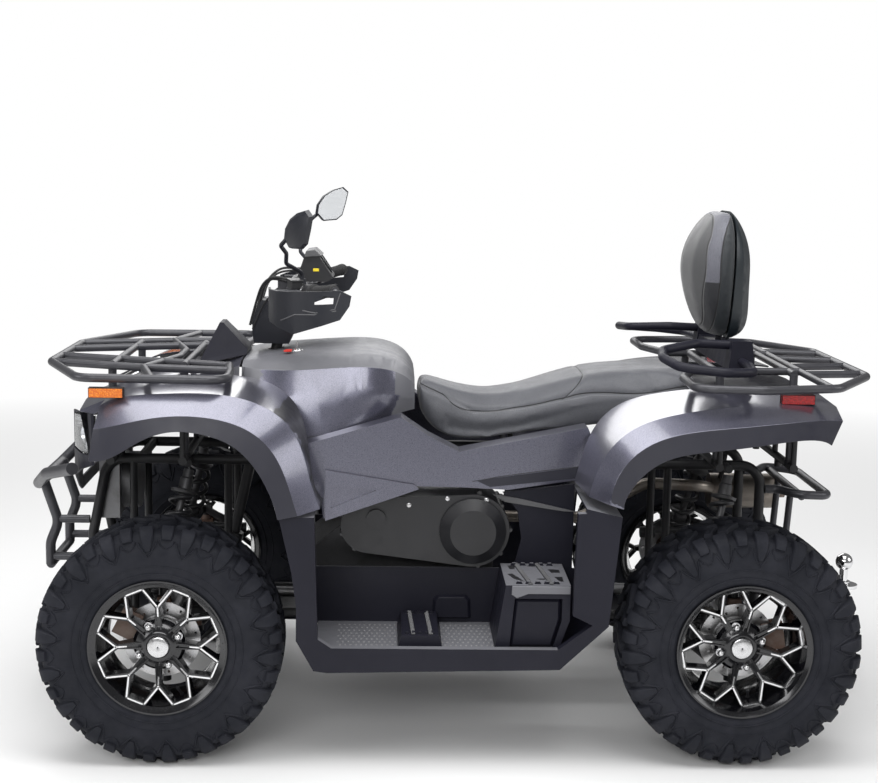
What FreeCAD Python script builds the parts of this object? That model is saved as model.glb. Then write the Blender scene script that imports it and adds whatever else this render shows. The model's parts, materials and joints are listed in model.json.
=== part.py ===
"""A two-seat quad bike: tube frame, engine, four lugged tyres on alloy rims, moulded fenders and footwells,
racks, bars with hand guards, a long seat and a passenger backrest.

Millimetres. +X is forward, +Y is the rider's left, +Z is up. The origin is on the ground, halfway along the
whole length and on the centre plane. Left-hand pieces are modelled and mirrored to the right.
"""
import FreeCAD
import Part

import math
import os

# Driving dimensions
OVERALL_LENGTH = 2344.0
OVERALL_WIDTH = 1180.0
WHEELBASE = 1480.0
FRONT_OVERHANG = 401.0
TYRE_DIAMETER = 625.0
FRONT_TYRE_WIDTH = 205.0
REAR_TYRE_WIDTH = 254.0
RIM_DIAMETER = 349.0
DECK_HEIGHT = 950.0

# Shared small sizes
OVERRUN = 5.0
SEAT_GAP = 0.3
PANEL_WALL = 5.0
RUNNING_GAP = 0.3

FRONT_AXLE_X = OVERALL_LENGTH / 2 - FRONT_OVERHANG
REAR_AXLE_X = FRONT_AXLE_X - WHEELBASE
TYRE_RADIUS = TYRE_DIAMETER / 2
RIM_RADIUS = RIM_DIAMETER / 2
AXLE_Z = TYRE_RADIUS
FRONT_WHEEL_Y = (OVERALL_WIDTH - FRONT_TYRE_WIDTH) / 2
REAR_WHEEL_Y = (OVERALL_WIDTH - REAR_TYRE_WIDTH) / 2

X_AXIS = FreeCAD.Vector(1, 0, 0)
Y_AXIS = FreeCAD.Vector(0, 1, 0)
Z_AXIS = FreeCAD.Vector(0, 0, 1)
ORIGIN = FreeCAD.Vector(0, 0, 0)
FULL_TURN = 360.0


def vec(x, y, z):
    """A point or direction."""
    return FreeCAD.Vector(x, y, z)


def mirrored(shape):
    """The right-hand copy of a left-hand shape."""
    return shape.mirror(ORIGIN, Y_AXIS)


def both_sides(shape):
    """A left-hand shape and its mirror image, as a list."""
    return [shape, mirrored(shape)]


def moved(shape, x=0.0, y=0.0, z=0.0):
    """A shifted copy of a shape."""
    copy = shape.copy()
    copy.translate(vec(x, y, z))
    return copy


def turned(shape, centre, axis, angle):
    """A copy of a shape turned about an axis through a centre, in degrees."""
    copy = shape.copy()
    copy.rotate(centre, axis, angle)
    return copy


def fused(shapes):
    """One shape from several that touch or overlap."""
    shapes = list(shapes)
    if len(shapes) == 1:
        return shapes[0]
    return shapes[0].multiFuse(shapes[1:]).removeSplitter()


def closed_wire(points):
    """A closed polygon through points."""
    return Part.makePolygon(list(points) + [points[0]])


def prism_y(outline, y_low, y_high):
    """A side outline of (x, z) points, given depth across the vehicle."""
    face = Part.Face(closed_wire([vec(x, y_low, z) for x, z in outline]))
    return face.extrude(vec(0, y_high - y_low, 0))


def prism_x(outline, x_low, x_high):
    """A front outline of (y, z) points, given depth along the vehicle."""
    face = Part.Face(closed_wire([vec(x_low, y, z) for y, z in outline]))
    return face.extrude(vec(x_high - x_low, 0, 0))


def prism_z(outline, z_low, z_high):
    """A plan outline of (x, y) points, given height."""
    face = Part.Face(closed_wire([vec(x, y, z_low) for x, y in outline]))
    return face.extrude(vec(0, 0, z_high - z_low))


def block(x_low, x_high, y_low, y_high, z_low, z_high):
    """A plain block between two corners."""
    return Part.makeBox(x_high - x_low, y_high - y_low, z_high - z_low, vec(x_low, y_low, z_low))


def bar_between(start, end, radius):
    """A straight round bar."""
    return Part.makeCylinder(radius, (end - start).Length, start, end - start)


def spun_y(profile, x=0.0, y=0.0, z=0.0):
    """A (radius, y) profile turned all round an axis along Y through a place."""
    face = Part.Face(closed_wire([vec(x, y + across, z + radius) for radius, across in profile]))
    return face.revolve(vec(x, y, z), Y_AXIS, FULL_TURN)


def bent_tube(points, radius, bend):
    """A round tube along straight runs, with each corner bent to the given centreline radius."""
    edges = []
    start = points[0]
    for before, corner, after in zip(points, points[1:], points[2:]):
        inward = (before - corner).normalize()
        outward = (after - corner).normalize()
        half = math.acos(max(-1.0, min(1.0, inward.dot(outward)))) / 2
        reach = min(bend / math.tan(half), (before - corner).Length / 2.05, (after - corner).Length / 2.05)
        sag = reach / math.cos(half) - reach * math.tan(half)
        first = corner + inward * reach
        last = corner + outward * reach
        middle = corner + (inward + outward).normalize() * sag
        edges.append(Part.LineSegment(start, first).toShape())
        edges.append(Part.Arc(first, middle, last).toShape())
        start = last
    edges.append(Part.LineSegment(start, points[-1]).toShape())
    path = Part.Wire(edges)
    ring = Part.Wire(Part.makeCircle(radius, points[0], points[1] - points[0]))
    return path.makePipeShell([ring], True, False)


def skin(stations, ruled=False):
    """A solid lofted through closed polygons that each have the same number of points."""
    return Part.makeLoft([closed_wire(points) for points in stations], True, ruled, False)


def strip_section(place, outer, wall):
    """A thin closed section: outer points and the same points pushed back by a wall.

    place turns (across, up) into a point, and outer is a list of (across, up).
    """
    inner = []
    for index, (across, up) in enumerate(outer):
        before = outer[max(index - 1, 0)]
        after = outer[min(index + 1, len(outer) - 1)]
        run_across, run_up = after[0] - before[0], after[1] - before[1]
        length = math.hypot(run_across, run_up)
        inner.append((across - run_up / length * wall, up + run_across / length * wall))
    return [place(*point) for point in outer + inner[::-1]]


# Wheels
RIM_HALF_SHARE = 0.9
RIM_WALL = 6.0
RIM_SEAT_RADIUS = 160.0
RIM_WELL_RADIUS = 146.0
HUB_PAD_RADIUS = 62.0
HUB_PAD_INNER_Y = 22.0
SPOKE_FACE_Y = 80.0
SPOKE_DEPTH = 26.0
SPOKE_COUNT = 8
SPOKE_RIB = 9.0
SPOKE_STEM = 22.0
SPOKE_FORK_RADIUS = 104.0
WHEEL_NUT_CIRCLE = 110.0
WHEEL_NUT_COUNT = 4
WHEEL_NUT_RADIUS = 9.0
NUT_GAP = 3.0
NUT_TOP_Y = 70.0
CENTRE_CAP_RADIUS = 26.0
CENTRE_CAP_RISE = 8.0
LUG_REPEATS = 12
TYRE_FACETS = 24
LUG_DEPTH = 13.0
SIDEWALL_RADIUS = 228.0


def tyre_carcass(width):
    """The faceted casing of a tyre about the wheel's centre, without its lugs."""
    half = width / 2
    crown = TYRE_RADIUS - LUG_DEPTH
    lip = half * RIM_HALF_SHARE - RIM_WALL
    outer = [(RIM_SEAT_RADIUS + SEAT_GAP, lip - RIM_WALL), (RIM_RADIUS, lip - SEAT_GAP)]
    across_shares = [0.97, 0.93, 0.55]
    radii = [SIDEWALL_RADIUS, crown - LUG_DEPTH * 2.4, crown - LUG_DEPTH * 0.2]
    outer += [(radius, share * half) for radius, share in zip(radii, across_shares)]
    profile = outer + [(radius, -across) for radius, across in reversed(outer)]
    step = 2 * math.pi / TYRE_FACETS
    stretch = 1 / math.cos(step / 2)
    rings = []
    for index in range(TYRE_FACETS):
        angle = step * (index + 0.5)
        rings.append([vec(radius * stretch * math.sin(angle), across, -radius * stretch * math.cos(angle))
                      for radius, across in profile])
    faces = []
    for this, following in zip(rings, rings[1:] + rings[:1]):
        for index in range(len(profile)):
            after = (index + 1) % len(profile)
            faces.append(Part.Face(closed_wire([this[index], following[index], following[after],
                                                this[after]])))
    shell = Part.Shell(faces)
    shell.sewShape()
    solid = Part.Solid(shell)
    if solid.Volume < 0:
        solid.reverse()
    return solid


def lug_block(along, across_in, across_out, skew, base_radius, tip_radius, drop):
    """One tapered lug at the foot of the tyre, with its inner and outer ends across the tread.

    skew is how far apart its ends are along the tread, and drop is how far its outer end falls.
    """
    taper = 0.82
    base = []
    tip = []
    for across, shift, fall in ((across_in, -skew / 2, 0.0), (across_out, skew / 2, drop)):
        for side in (-1, 1):
            base.append(vec(shift + side * along / 2, across, -(base_radius - fall)))
            tip.append(vec(shift + side * along * taper / 2, across, -(tip_radius - fall)))
    order = (0, 1, 3, 2)
    return skin([[base[index] for index in order], [tip[index] for index in order]], True)


LUG_LENGTH = 46.0
LUG_SKEW = 20.0
LUG_FOOT = 34.0
SHOULDER_DROP = 12.0
LUG_START_SHARE = 0.05


def tyre(width):
    """A lugged tyre about the wheel's centre: slanted lugs from the middle to each shoulder."""
    half = width / 2
    crown = TYRE_RADIUS - LUG_DEPTH
    step = FULL_TURN / LUG_REPEATS
    lug = lug_block(LUG_LENGTH, LUG_START_SHARE * half, half, LUG_SKEW, crown - LUG_FOOT, TYRE_RADIUS,
                    SHOULDER_DROP)
    lugs = []
    for index in range(LUG_REPEATS):
        angle = step * index
        lugs.append(turned(lug, ORIGIN, Y_AXIS, angle))
        lugs.append(turned(mirrored(lug), ORIGIN, Y_AXIS, angle + step / 2))
    return tyre_carcass(width).multiFuse(lugs).removeSplitter()


def rim(width):
    """An alloy rim about the wheel's centre, outer face towards +Y: barrel, forked spokes and hub pad."""
    lip = width / 2 * RIM_HALF_SHARE
    seat = lip - RIM_WALL * 2
    well = seat * 0.55
    barrel = spun_y([
        (RIM_RADIUS, lip), (RIM_RADIUS, lip - RIM_WALL), (RIM_SEAT_RADIUS, seat), (RIM_SEAT_RADIUS, well),
        (RIM_WELL_RADIUS, well * 0.7), (RIM_WELL_RADIUS, -well * 0.7), (RIM_SEAT_RADIUS, -well),
        (RIM_SEAT_RADIUS, -seat), (RIM_RADIUS, -lip + RIM_WALL), (RIM_RADIUS, -lip),
        (RIM_SEAT_RADIUS - RIM_WALL, -lip), (RIM_WELL_RADIUS - RIM_WALL, -well * 0.7),
        (RIM_WELL_RADIUS - RIM_WALL, well * 0.7), (RIM_SEAT_RADIUS - RIM_WALL, lip)])
    pad = spun_y([(0, HUB_PAD_INNER_Y), (HUB_PAD_RADIUS, HUB_PAD_INNER_Y),
                  (HUB_PAD_RADIUS, SPOKE_FACE_Y - SPOKE_DEPTH),
                  (HUB_PAD_RADIUS * 0.75, SPOKE_FACE_Y - SPOKE_DEPTH * 0.5),
                  (0, SPOKE_FACE_Y - SPOKE_DEPTH * 0.5)])
    spokes = []
    reach = RIM_SEAT_RADIUS - RIM_WALL * 0.5
    spread = math.pi / SPOKE_COUNT * 0.72
    foot = vec(reach * math.sin(spread), 0, reach * math.cos(spread))
    fork = vec(0, 0, SPOKE_FORK_RADIUS)
    for index in range(SPOKE_COUNT):
        angle = FULL_TURN / SPOKE_COUNT * index
        arms = [flat_rib(fork, foot, SPOKE_RIB), flat_rib(fork, vec(-foot.x, 0, foot.z), SPOKE_RIB)]
        stem = prism_y([(-SPOKE_STEM / 2, HUB_PAD_RADIUS * 0.9), (SPOKE_STEM / 2, HUB_PAD_RADIUS * 0.9),
                        (SPOKE_RIB / 2, SPOKE_FORK_RADIUS), (-SPOKE_RIB / 2, SPOKE_FORK_RADIUS)],
                       SPOKE_FACE_Y - SPOKE_DEPTH, SPOKE_FACE_Y)
        for piece in arms + [stem]:
            spokes.append(turned(piece, ORIGIN, Y_AXIS, angle))
    cap_y = SPOKE_FACE_Y - SPOKE_DEPTH * 0.5
    cap = spun_y([(0, cap_y - OVERRUN), (CENTRE_CAP_RADIUS, cap_y - OVERRUN),
                  (CENTRE_CAP_RADIUS, cap_y + CENTRE_CAP_RISE * 0.7),
                  (CENTRE_CAP_RADIUS * 0.9, cap_y + CENTRE_CAP_RISE), (0, cap_y + CENTRE_CAP_RISE)])
    face = fused([barrel, pad, cap] + spokes)
    cutters = []
    for place in nut_places(HUB_PAD_INNER_Y - OVERRUN):
        cutters.append(Part.makeCylinder(WHEEL_NUT_RADIUS + NUT_GAP, SPOKE_FACE_Y, place, Y_AXIS))
    return face.cut(Part.makeCompound(cutters))


def nut_places(y):
    """Where the wheel nuts stand on their circle."""
    radius = WHEEL_NUT_CIRCLE / 2
    angles = [2 * math.pi * (index + 0.5) / WHEEL_NUT_COUNT for index in range(WHEEL_NUT_COUNT)]
    return [vec(radius * math.sin(angle), y, radius * math.cos(angle)) for angle in angles]


def flat_rib(start, end, width):
    """A straight rib of the rim's face between two points of the wheel's plane."""
    run = (end - start).normalize()
    side = vec(run.z, 0, -run.x) * (width / 2)
    outline = [start - side, start + side, end + side, end - side]
    return prism_y([(point.x, point.z) for point in outline], SPOKE_FACE_Y - SPOKE_DEPTH, SPOKE_FACE_Y)


# Hubs, brake discs and the front knuckles
KINGPIN_OFFSET = 45.0
HUB_SHAFT_RADIUS = 21.0
HUB_SHAFT_INNER_Y = -8.0
HUB_FLANGE_RADIUS = 56.0
HUB_FLANGE_Y = 12.0
DISC_RADIUS = 98.0
DISC_WALL = 4.0
DISC_HOLE_RADIUS = 5.0
DISC_HOLE_COUNT = 12
BEARING_WALL_Y = 5.0
KNUCKLE_RADIUS = 46.0
KNUCKLE_BORE = 37.0
KNUCKLE_INNER_Y = -75.0
KNUCKLE_CAVITY_Y = -10.0
BALL_JOINT_REACH = 100.0
BALL_JOINT_RADIUS = 15.0
KNUCKLE_ARM_HALF = 16.0
STEERING_ARM_REACH = 81.0
STEERING_ARM_RISE = 25.0
STEERING_ARM_IN = 10.0
STEERING_ARM_WIDTH = 24.0
STEERING_ARM_WALL = 12.0
CALIPER_INNER = 66.0
CALIPER_OUTER = 122.0
CALIPER_HALF_LENGTH = 36.0
CALIPER_LOW_Y = -8.0
CALIPER_HIGH_Y = 27.0
CALIPER_SLOT = 5.0
FRONT_CALIPER_TURN = 153.0
REAR_CALIPER_TURN = 10.0


def hub():
    """Stub shaft, flange, drilled brake disc and domed wheel nuts about the wheel's centre."""
    shaft = Part.makeCylinder(HUB_SHAFT_RADIUS, HUB_PAD_INNER_Y - HUB_SHAFT_INNER_Y,
                              vec(0, HUB_SHAFT_INNER_Y, 0), Y_AXIS)
    flange = Part.makeCylinder(HUB_FLANGE_RADIUS, HUB_PAD_INNER_Y - HUB_FLANGE_Y, vec(0, HUB_FLANGE_Y, 0),
                               Y_AXIS)
    disc = Part.makeCylinder(DISC_RADIUS, DISC_WALL, vec(0, HUB_FLANGE_Y - DISC_WALL * 0.5, 0), Y_AXIS)
    holes = []
    for index in range(DISC_HOLE_COUNT):
        angle = 2 * math.pi * index / DISC_HOLE_COUNT
        radius = (DISC_RADIUS + HUB_FLANGE_RADIUS) / 2 + (DISC_HOLE_RADIUS * 1.5 if index % 2
                                                          else -DISC_HOLE_RADIUS)
        holes.append(Part.makeCylinder(DISC_HOLE_RADIUS, DISC_WALL * 3,
                                       vec(radius * math.sin(angle), HUB_FLANGE_Y - DISC_WALL * 1.5,
                                           radius * math.cos(angle)),
                                       Y_AXIS))
    nuts = []
    for place in nut_places(HUB_FLANGE_Y):
        nuts.append(Part.makeCylinder(WHEEL_NUT_RADIUS, NUT_TOP_Y - HUB_FLANGE_Y - WHEEL_NUT_RADIUS, place,
                                      Y_AXIS))
        dome = Part.makeSphere(WHEEL_NUT_RADIUS, vec(place.x, NUT_TOP_Y - WHEEL_NUT_RADIUS, place.z))
        nuts.append(dome)
    return fused([shaft, flange, disc.cut(Part.makeCompound(holes))] + nuts)


def knuckle(caliper_turn):
    """A left hub carrier about the wheel's centre: bearing housing, ball joint arms, track arm and caliper.

    caliper_turn is how far round the axle the caliper stands from the rearward side, over the top.
    """
    housing = Part.makeCylinder(KNUCKLE_RADIUS, BEARING_WALL_Y - KNUCKLE_INNER_Y,
                                vec(0, KNUCKLE_INNER_Y, 0), Y_AXIS)
    arm_y = -KINGPIN_OFFSET
    reach = BALL_JOINT_REACH
    upright = prism_y([(-KNUCKLE_ARM_HALF, -reach), (KNUCKLE_ARM_HALF, -reach), (KNUCKLE_RADIUS * 0.7, 0),
                       (KNUCKLE_ARM_HALF, reach), (-KNUCKLE_ARM_HALF, reach), (-KNUCKLE_RADIUS * 0.7, 0)],
                      arm_y + KNUCKLE_ARM_HALF * 0.4, arm_y + KNUCKLE_ARM_HALF * 1.6)
    ears = []
    for side in (-1, 1):
        foot = reach - BALL_JOINT_RADIUS if side > 0 else -reach
        ears.append(Part.makeCylinder(BALL_JOINT_RADIUS, BALL_JOINT_RADIUS, vec(0, arm_y, foot), Z_AXIS))
        ears.append(block(-KNUCKLE_ARM_HALF, KNUCKLE_ARM_HALF, arm_y, arm_y + KNUCKLE_ARM_HALF,
                          min(foot, foot + BALL_JOINT_RADIUS), max(foot, foot + BALL_JOINT_RADIUS)))
    arm_z = STEERING_ARM_RISE
    tip = vec(-STEERING_ARM_REACH, -KINGPIN_OFFSET - STEERING_ARM_IN, arm_z)
    half = STEERING_ARM_WIDTH / 2
    arm = prism_z([(-KNUCKLE_RADIUS * 0.5, arm_y + half), (-KNUCKLE_RADIUS * 0.5, arm_y - half),
                   (tip.x, tip.y - half), (tip.x - half, tip.y), (tip.x - half, tip.y + half)],
                  arm_z - STEERING_ARM_WALL / 2, arm_z + STEERING_ARM_WALL / 2)
    caliper = block(-CALIPER_OUTER, -CALIPER_INNER, CALIPER_LOW_Y, CALIPER_HIGH_Y, -CALIPER_HALF_LENGTH,
                    CALIPER_HALF_LENGTH)
    slot = Part.makeCylinder(DISC_RADIUS + CALIPER_SLOT, DISC_WALL + CALIPER_SLOT * 2,
                             vec(0, HUB_FLANGE_Y - DISC_WALL * 0.5 - CALIPER_SLOT, 0), Y_AXIS)
    bracket = block(-CALIPER_INNER - OVERRUN, -KNUCKLE_RADIUS * 0.5, CALIPER_LOW_Y - OVERRUN, 0,
                    -CALIPER_HALF_LENGTH * 0.5,
                    CALIPER_HALF_LENGTH * 0.5)
    brake = turned(fused([caliper.cut(slot), bracket]), ORIGIN, Y_AXIS, caliper_turn)
    body = fused([housing, upright, arm, brake] + ears)
    cavity = Part.makeCylinder(KNUCKLE_BORE, KNUCKLE_CAVITY_Y - KNUCKLE_INNER_Y + OVERRUN,
                               vec(0, KNUCKLE_INNER_Y - OVERRUN, 0), Y_AXIS)
    bearing = Part.makeCylinder(HUB_SHAFT_RADIUS + RUNNING_GAP,
                                BEARING_WALL_Y - KNUCKLE_CAVITY_Y + OVERRUN * 2,
                                vec(0, KNUCKLE_CAVITY_Y - OVERRUN, 0), Y_AXIS)
    eye = Part.makeCylinder(TIE_PIN_RADIUS + RUNNING_GAP, STEERING_ARM_WALL * 2,
                            vec(tip.x, tip.y, arm_z - STEERING_ARM_WALL), Z_AXIS)
    return body.cut(Part.makeCompound([cavity, bearing, eye]))


# Steering column, pitman arm and tie rods
COLUMN_FOOT_BACK = 110.0
COLUMN_FOOT_Z = 360.0
COLUMN_TOP_BACK = 285.0
COLUMN_TOP_Z = 1150.0
COLUMN_RADIUS = 15.0
PITMAN_REACH = 65.0
PITMAN_WALL = 10.0
TIE_PIN_RADIUS = 5.0
TIE_ROD_RADIUS = 8.0
TIE_EYE_RADIUS = 16.5
TIE_EYE_BORE = 12.0
TIE_PIN_SPREAD = 20.0

COLUMN_FOOT = vec(FRONT_AXLE_X - COLUMN_FOOT_BACK, 0, COLUMN_FOOT_Z)
COLUMN_TOP = vec(FRONT_AXLE_X - COLUMN_TOP_BACK, 0, COLUMN_TOP_Z)
COLUMN_RUN = (COLUMN_TOP - COLUMN_FOOT).normalize()
COLUMN_REARWARD = vec(-COLUMN_RUN.z, 0, COLUMN_RUN.x)
TIE_ROD_Z = AXLE_Z + STEERING_ARM_RISE - STEERING_ARM_WALL / 2 - RUNNING_GAP - TIE_ROD_RADIUS


def steering_column():
    """The steering column, with the pitman arm and its two pins at its foot."""
    column = bar_between(COLUMN_FOOT, COLUMN_TOP, COLUMN_RADIUS)
    tip = COLUMN_FOOT + COLUMN_REARWARD * PITMAN_REACH
    front = COLUMN_FOOT - COLUMN_REARWARD * COLUMN_RADIUS
    back = tip + COLUMN_REARWARD * TIE_EYE_RADIUS
    reach = TIE_PIN_SPREAD + TIE_EYE_RADIUS
    outline = [front + Y_AXIS * COLUMN_RADIUS, front - Y_AXIS * COLUMN_RADIUS,
               back - Y_AXIS * reach, back + Y_AXIS * reach]
    plate = Part.Face(closed_wire(outline)).extrude(COLUMN_RUN * PITMAN_WALL)
    pins = []
    for side in (-1, 1):
        head = tip + COLUMN_RUN * (PITMAN_WALL / 2) + Y_AXIS * side * TIE_PIN_SPREAD
        length = (head.z - TIE_ROD_Z + TIE_ROD_RADIUS) / COLUMN_RUN.z
        pins.append(Part.makeCylinder(TIE_PIN_RADIUS, length, head, -COLUMN_RUN))
    return fused([column, plate] + pins)


def tie_rod():
    """The left tie rod: ball stud under the steering arm, rod, and an eye round the pitman pin."""
    outer = vec(FRONT_AXLE_X - STEERING_ARM_REACH, FRONT_WHEEL_Y - KINGPIN_OFFSET - STEERING_ARM_IN,
                TIE_ROD_Z)
    pitman_tip = COLUMN_FOOT + COLUMN_REARWARD * PITMAN_REACH
    inner = pitman_tip - COLUMN_RUN * ((pitman_tip.z - TIE_ROD_Z) / COLUMN_RUN.z) + Y_AXIS * TIE_PIN_SPREAD
    run = (inner - outer).normalize()
    drop = vec(0, 0, TIE_ROD_RADIUS)
    rod = bar_between(outer, inner - run * (TIE_EYE_RADIUS - TIE_ROD_RADIUS / 2), TIE_ROD_RADIUS)
    socket = Part.makeCylinder(TIE_EYE_RADIUS, TIE_ROD_RADIUS * 2, outer - drop, Z_AXIS)
    stud = Part.makeCylinder(TIE_PIN_RADIUS, STEERING_ARM_WALL + TIE_ROD_RADIUS, outer, Z_AXIS)
    eye = Part.makeCylinder(TIE_EYE_RADIUS, TIE_ROD_RADIUS * 2, inner - drop, Z_AXIS)
    bore = Part.makeCylinder(TIE_EYE_BORE, TIE_ROD_RADIUS * 4, inner - drop * 2, Z_AXIS)
    return fused([rod, socket, stud, eye]).cut(bore)


# Body: places are shares of the wheelbase behind the front axle, of the half width, and of the deck height
HALF_WIDTH = OVERALL_WIDTH / 2
FULL_LOCK = 29.0


def at(back_share, out_share, up_share):
    """A point behind the front axle, out from the centre plane and up from the ground, in shares."""
    return vec(FRONT_AXLE_X - back_share * WHEELBASE, out_share * HALF_WIDTH, up_share * DECK_HEIGHT)


def at_all(shares):
    """Several points placed by their shares."""
    return [at(*share) for share in shares]


def side_outline(shares):
    """Side points (x, z) from (back, up) shares."""
    return [(point.x, point.z) for point in (at(back, 0, up) for back, up in shares)]


def plan_strip(shares, wall):
    """An upright curved sheet on a plan line of (back, out) shares, thickened outwards, or inwards."""
    line = [(point.x, point.y) for point in (at(back, out, 0) for back, out in shares)]
    outline = strip_section(lambda x, y: (x, y), line, wall)
    return prism_z(outline, 0, DECK_HEIGHT + OVERALL_WIDTH)


def settled(shape, direction, target, gap=SEAT_GAP):
    """A shape moved along a direction until it lies a small gap from its seat."""
    settled_shape = shape.copy()
    for _ in range(40):
        rest = settled_shape.distToShape(target)[0] - gap
        if rest < gap / 20:
            break
        settled_shape.translate(direction * rest)
    return settled_shape


def stay(start, direction, radius, panel):
    """A round stay from a point in a frame tube up to the panel that it carries."""
    length = OVERALL_WIDTH
    probe = Part.makeCylinder(radius, length, start, direction)
    met = probe.common(panel)
    disc = Part.Face(Part.Wire(Part.makeCircle(radius, start, direction)))
    return Part.makeCylinder(radius, disc.distToShape(met)[0] - SEAT_GAP, start, direction)


# Fenders
FRONT_FENDER_SHARES = [
    [(0.201, 0.988, 0.681), (0.233, 0.966, 0.689), (0.268, 0.890, 0.697), (0.270, 0.690, 0.697)],
    [(0.174, 0.992, 0.793), (0.203, 0.978, 0.826), (0.235, 0.881, 0.858), (0.241, 0.680, 0.863)],
    [(0.135, 0.992, 0.865), (0.157, 0.978, 0.907), (0.181, 0.856, 0.953), (0.186, 0.460, 0.974)],
    [(0.072, 0.992, 0.905), (0.072, 0.978, 0.945), (0.074, 0.847, 0.992), (0.074, 0.432, 1.005)],
    [(-0.007, 0.992, 0.896), (-0.007, 0.978, 0.940), (-0.005, 0.847, 0.989), (-0.005, 0.432, 1.002)],
    [(-0.051, 0.986, 0.858), (-0.053, 0.973, 0.926), (-0.050, 0.844, 0.983), (-0.049, 0.432, 0.996)],
    [(-0.111, 0.958, 0.827), (-0.111, 0.936, 0.908), (-0.101, 0.831, 0.956), (-0.099, 0.432, 0.974)]]
REAR_FENDER_SHARES = [
    [(0.782, 0.988, 0.719), (0.765, 0.961, 0.737), (0.733, 0.864, 0.749), (0.720, 0.585, 0.737)],
    [(0.795, 0.992, 0.777), (0.778, 0.978, 0.816), (0.758, 0.873, 0.845), (0.747, 0.525, 0.858)],
    [(0.833, 0.992, 0.835), (0.821, 0.978, 0.884), (0.805, 0.868, 0.916), (0.797, 0.437, 0.932)],
    [(0.891, 0.992, 0.867), (0.884, 0.978, 0.918), (0.878, 0.861, 0.954), (0.876, 0.432, 0.971)],
    [(0.955, 0.992, 0.880), (0.955, 0.978, 0.932), (0.954, 0.847, 0.971), (0.954, 0.432, 0.985)],
    [(1.053, 0.986, 0.902), (1.053, 0.969, 0.947), (1.054, 0.822, 0.977), (1.054, 0.432, 0.987)],
    [(1.130, 0.953, 0.891), (1.149, 0.924, 0.951), (1.157, 0.763, 0.971), (1.159, 0.432, 0.979)]]


def fender(section_shares):
    """A thin fender lofted through bent strips, each in a plane square to the side view."""
    sections = []
    for shares in section_shares:
        points = at_all(shares)
        edge = points[0]
        upward = vec(points[-1].x - edge.x, 0, points[-1].z - edge.z).normalize()
        outer = [(point.y, (point - edge).dot(upward)) for point in points]
        sections.append(strip_section(lambda y, rise: vec(edge.x, y, edge.z) + upward * rise, outer,
                                      -PANEL_WALL))
    return skin(sections)


# Console, hood and fascia
CONSOLE_SHARES = [
    [(0.118, 0.000, 1.040), (0.118, 0.262, 1.038), (0.118, 0.338, 1.026), (0.118, 0.362, 0.979),
     (0.118, 0.362, 0.842)],
    [(0.203, 0.000, 1.059), (0.203, 0.314, 1.054), (0.203, 0.415, 1.023), (0.203, 0.466, 0.947),
     (0.203, 0.488, 0.842)],
    [(0.284, 0.000, 1.069), (0.284, 0.331, 1.062), (0.284, 0.449, 1.034), (0.284, 0.483, 0.947),
     (0.284, 0.500, 0.855)],
    [(0.372, 0.000, 1.065), (0.372, 0.314, 1.060), (0.372, 0.444, 1.034), (0.372, 0.471, 0.968),
     (0.372, 0.458, 0.891)],
    [(0.414, 0.000, 1.036), (0.414, 0.280, 1.032), (0.414, 0.386, 1.008), (0.414, 0.407, 0.953),
     (0.414, 0.381, 0.907)],
    [(0.432, 0.000, 0.995), (0.432, 0.246, 0.991), (0.432, 0.331, 0.974), (0.432, 0.347, 0.947),
     (0.432, 0.331, 0.909)]]
COLUMN_CLEARANCE = 7.0


def across_section(half_shares):
    """A closed section, alike on both sides, from one half given from the top centre down."""
    left = at_all(half_shares)
    right = [vec(point.x, -point.y, point.z) for point in left[1:]]
    return left + right[::-1]


def console():
    """The moulded console over the tank, with the clearance hole for the steering column."""
    body = skin([across_section(half) for half in CONSOLE_SHARES])
    bore = bar_between(COLUMN_FOOT, COLUMN_TOP, COLUMN_RADIUS + COLUMN_CLEARANCE)
    return body.cut(bore)


HOOD_SHARES = [
    [(-0.177, 0.000, 0.914), (-0.177, 0.170, 0.909), (-0.177, 0.310, 0.893), (-0.177, 0.347, 0.863)],
    [(-0.111, 0.000, 0.953), (-0.111, 0.250, 0.949), (-0.111, 0.350, 0.938), (-0.111, 0.386, 0.916)],
    [(-0.014, 0.000, 1.000), (-0.014, 0.250, 0.996), (-0.014, 0.360, 0.988), (-0.014, 0.388, 0.960)],
    [(0.045, 0.000, 1.012), (0.045, 0.250, 1.009), (0.045, 0.352, 1.004), (0.045, 0.388, 0.968)],
    [(0.114, 0.000, 1.040), (0.114, 0.260, 1.038), (0.114, 0.350, 1.028), (0.114, 0.380, 0.975)]]


def hood():
    """The front cover between the fenders, a thin bowed sheet that rises towards the bars."""
    sections = []
    for half in HOOD_SHARES:
        left = at_all(half)
        outer = [vec(point.x, -point.y, point.z) for point in left[:0:-1]] + left
        centre = vec(left[0].x, 0, left[-1].z - DECK_HEIGHT / 2)
        inner = [point + (centre - point).normalize() * PANEL_WALL for point in outer]
        sections.append(outer + inner[::-1])
    return skin(sections)


FASCIA_PLAN_SHARES = [(-0.104, 0.838), (-0.142, 0.690), (-0.168, 0.500), (-0.176, 0.330), (-0.177, 0.100),
                      (-0.177, -0.100), (-0.176, -0.330), (-0.168, -0.500), (-0.142, -0.690),
                      (-0.104, -0.838)]
FASCIA_FACE_SHARES = [(0.0, 0.660), (0.28, 0.660), (0.52, 0.735), (0.80, 0.795), (0.80, 0.935), (0.50, 0.915),
                      (0.35, 0.845), (0.0, 0.845)]
LAMP_FACE_SHARES = [(0.50, 0.808), (0.765, 0.818), (0.765, 0.932), (0.50, 0.908)]
GRILLE_HALF_SHARE = 0.27
GRILLE_LOW_SHARE = 0.685
GRILLE_HIGH_SHARE = 0.830
GRILLE_SLATS = 5
GRILLE_SLAT = 9.0
FASCIA_WALL = 6.0
LAMP_DEPTH = 52.0


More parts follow.
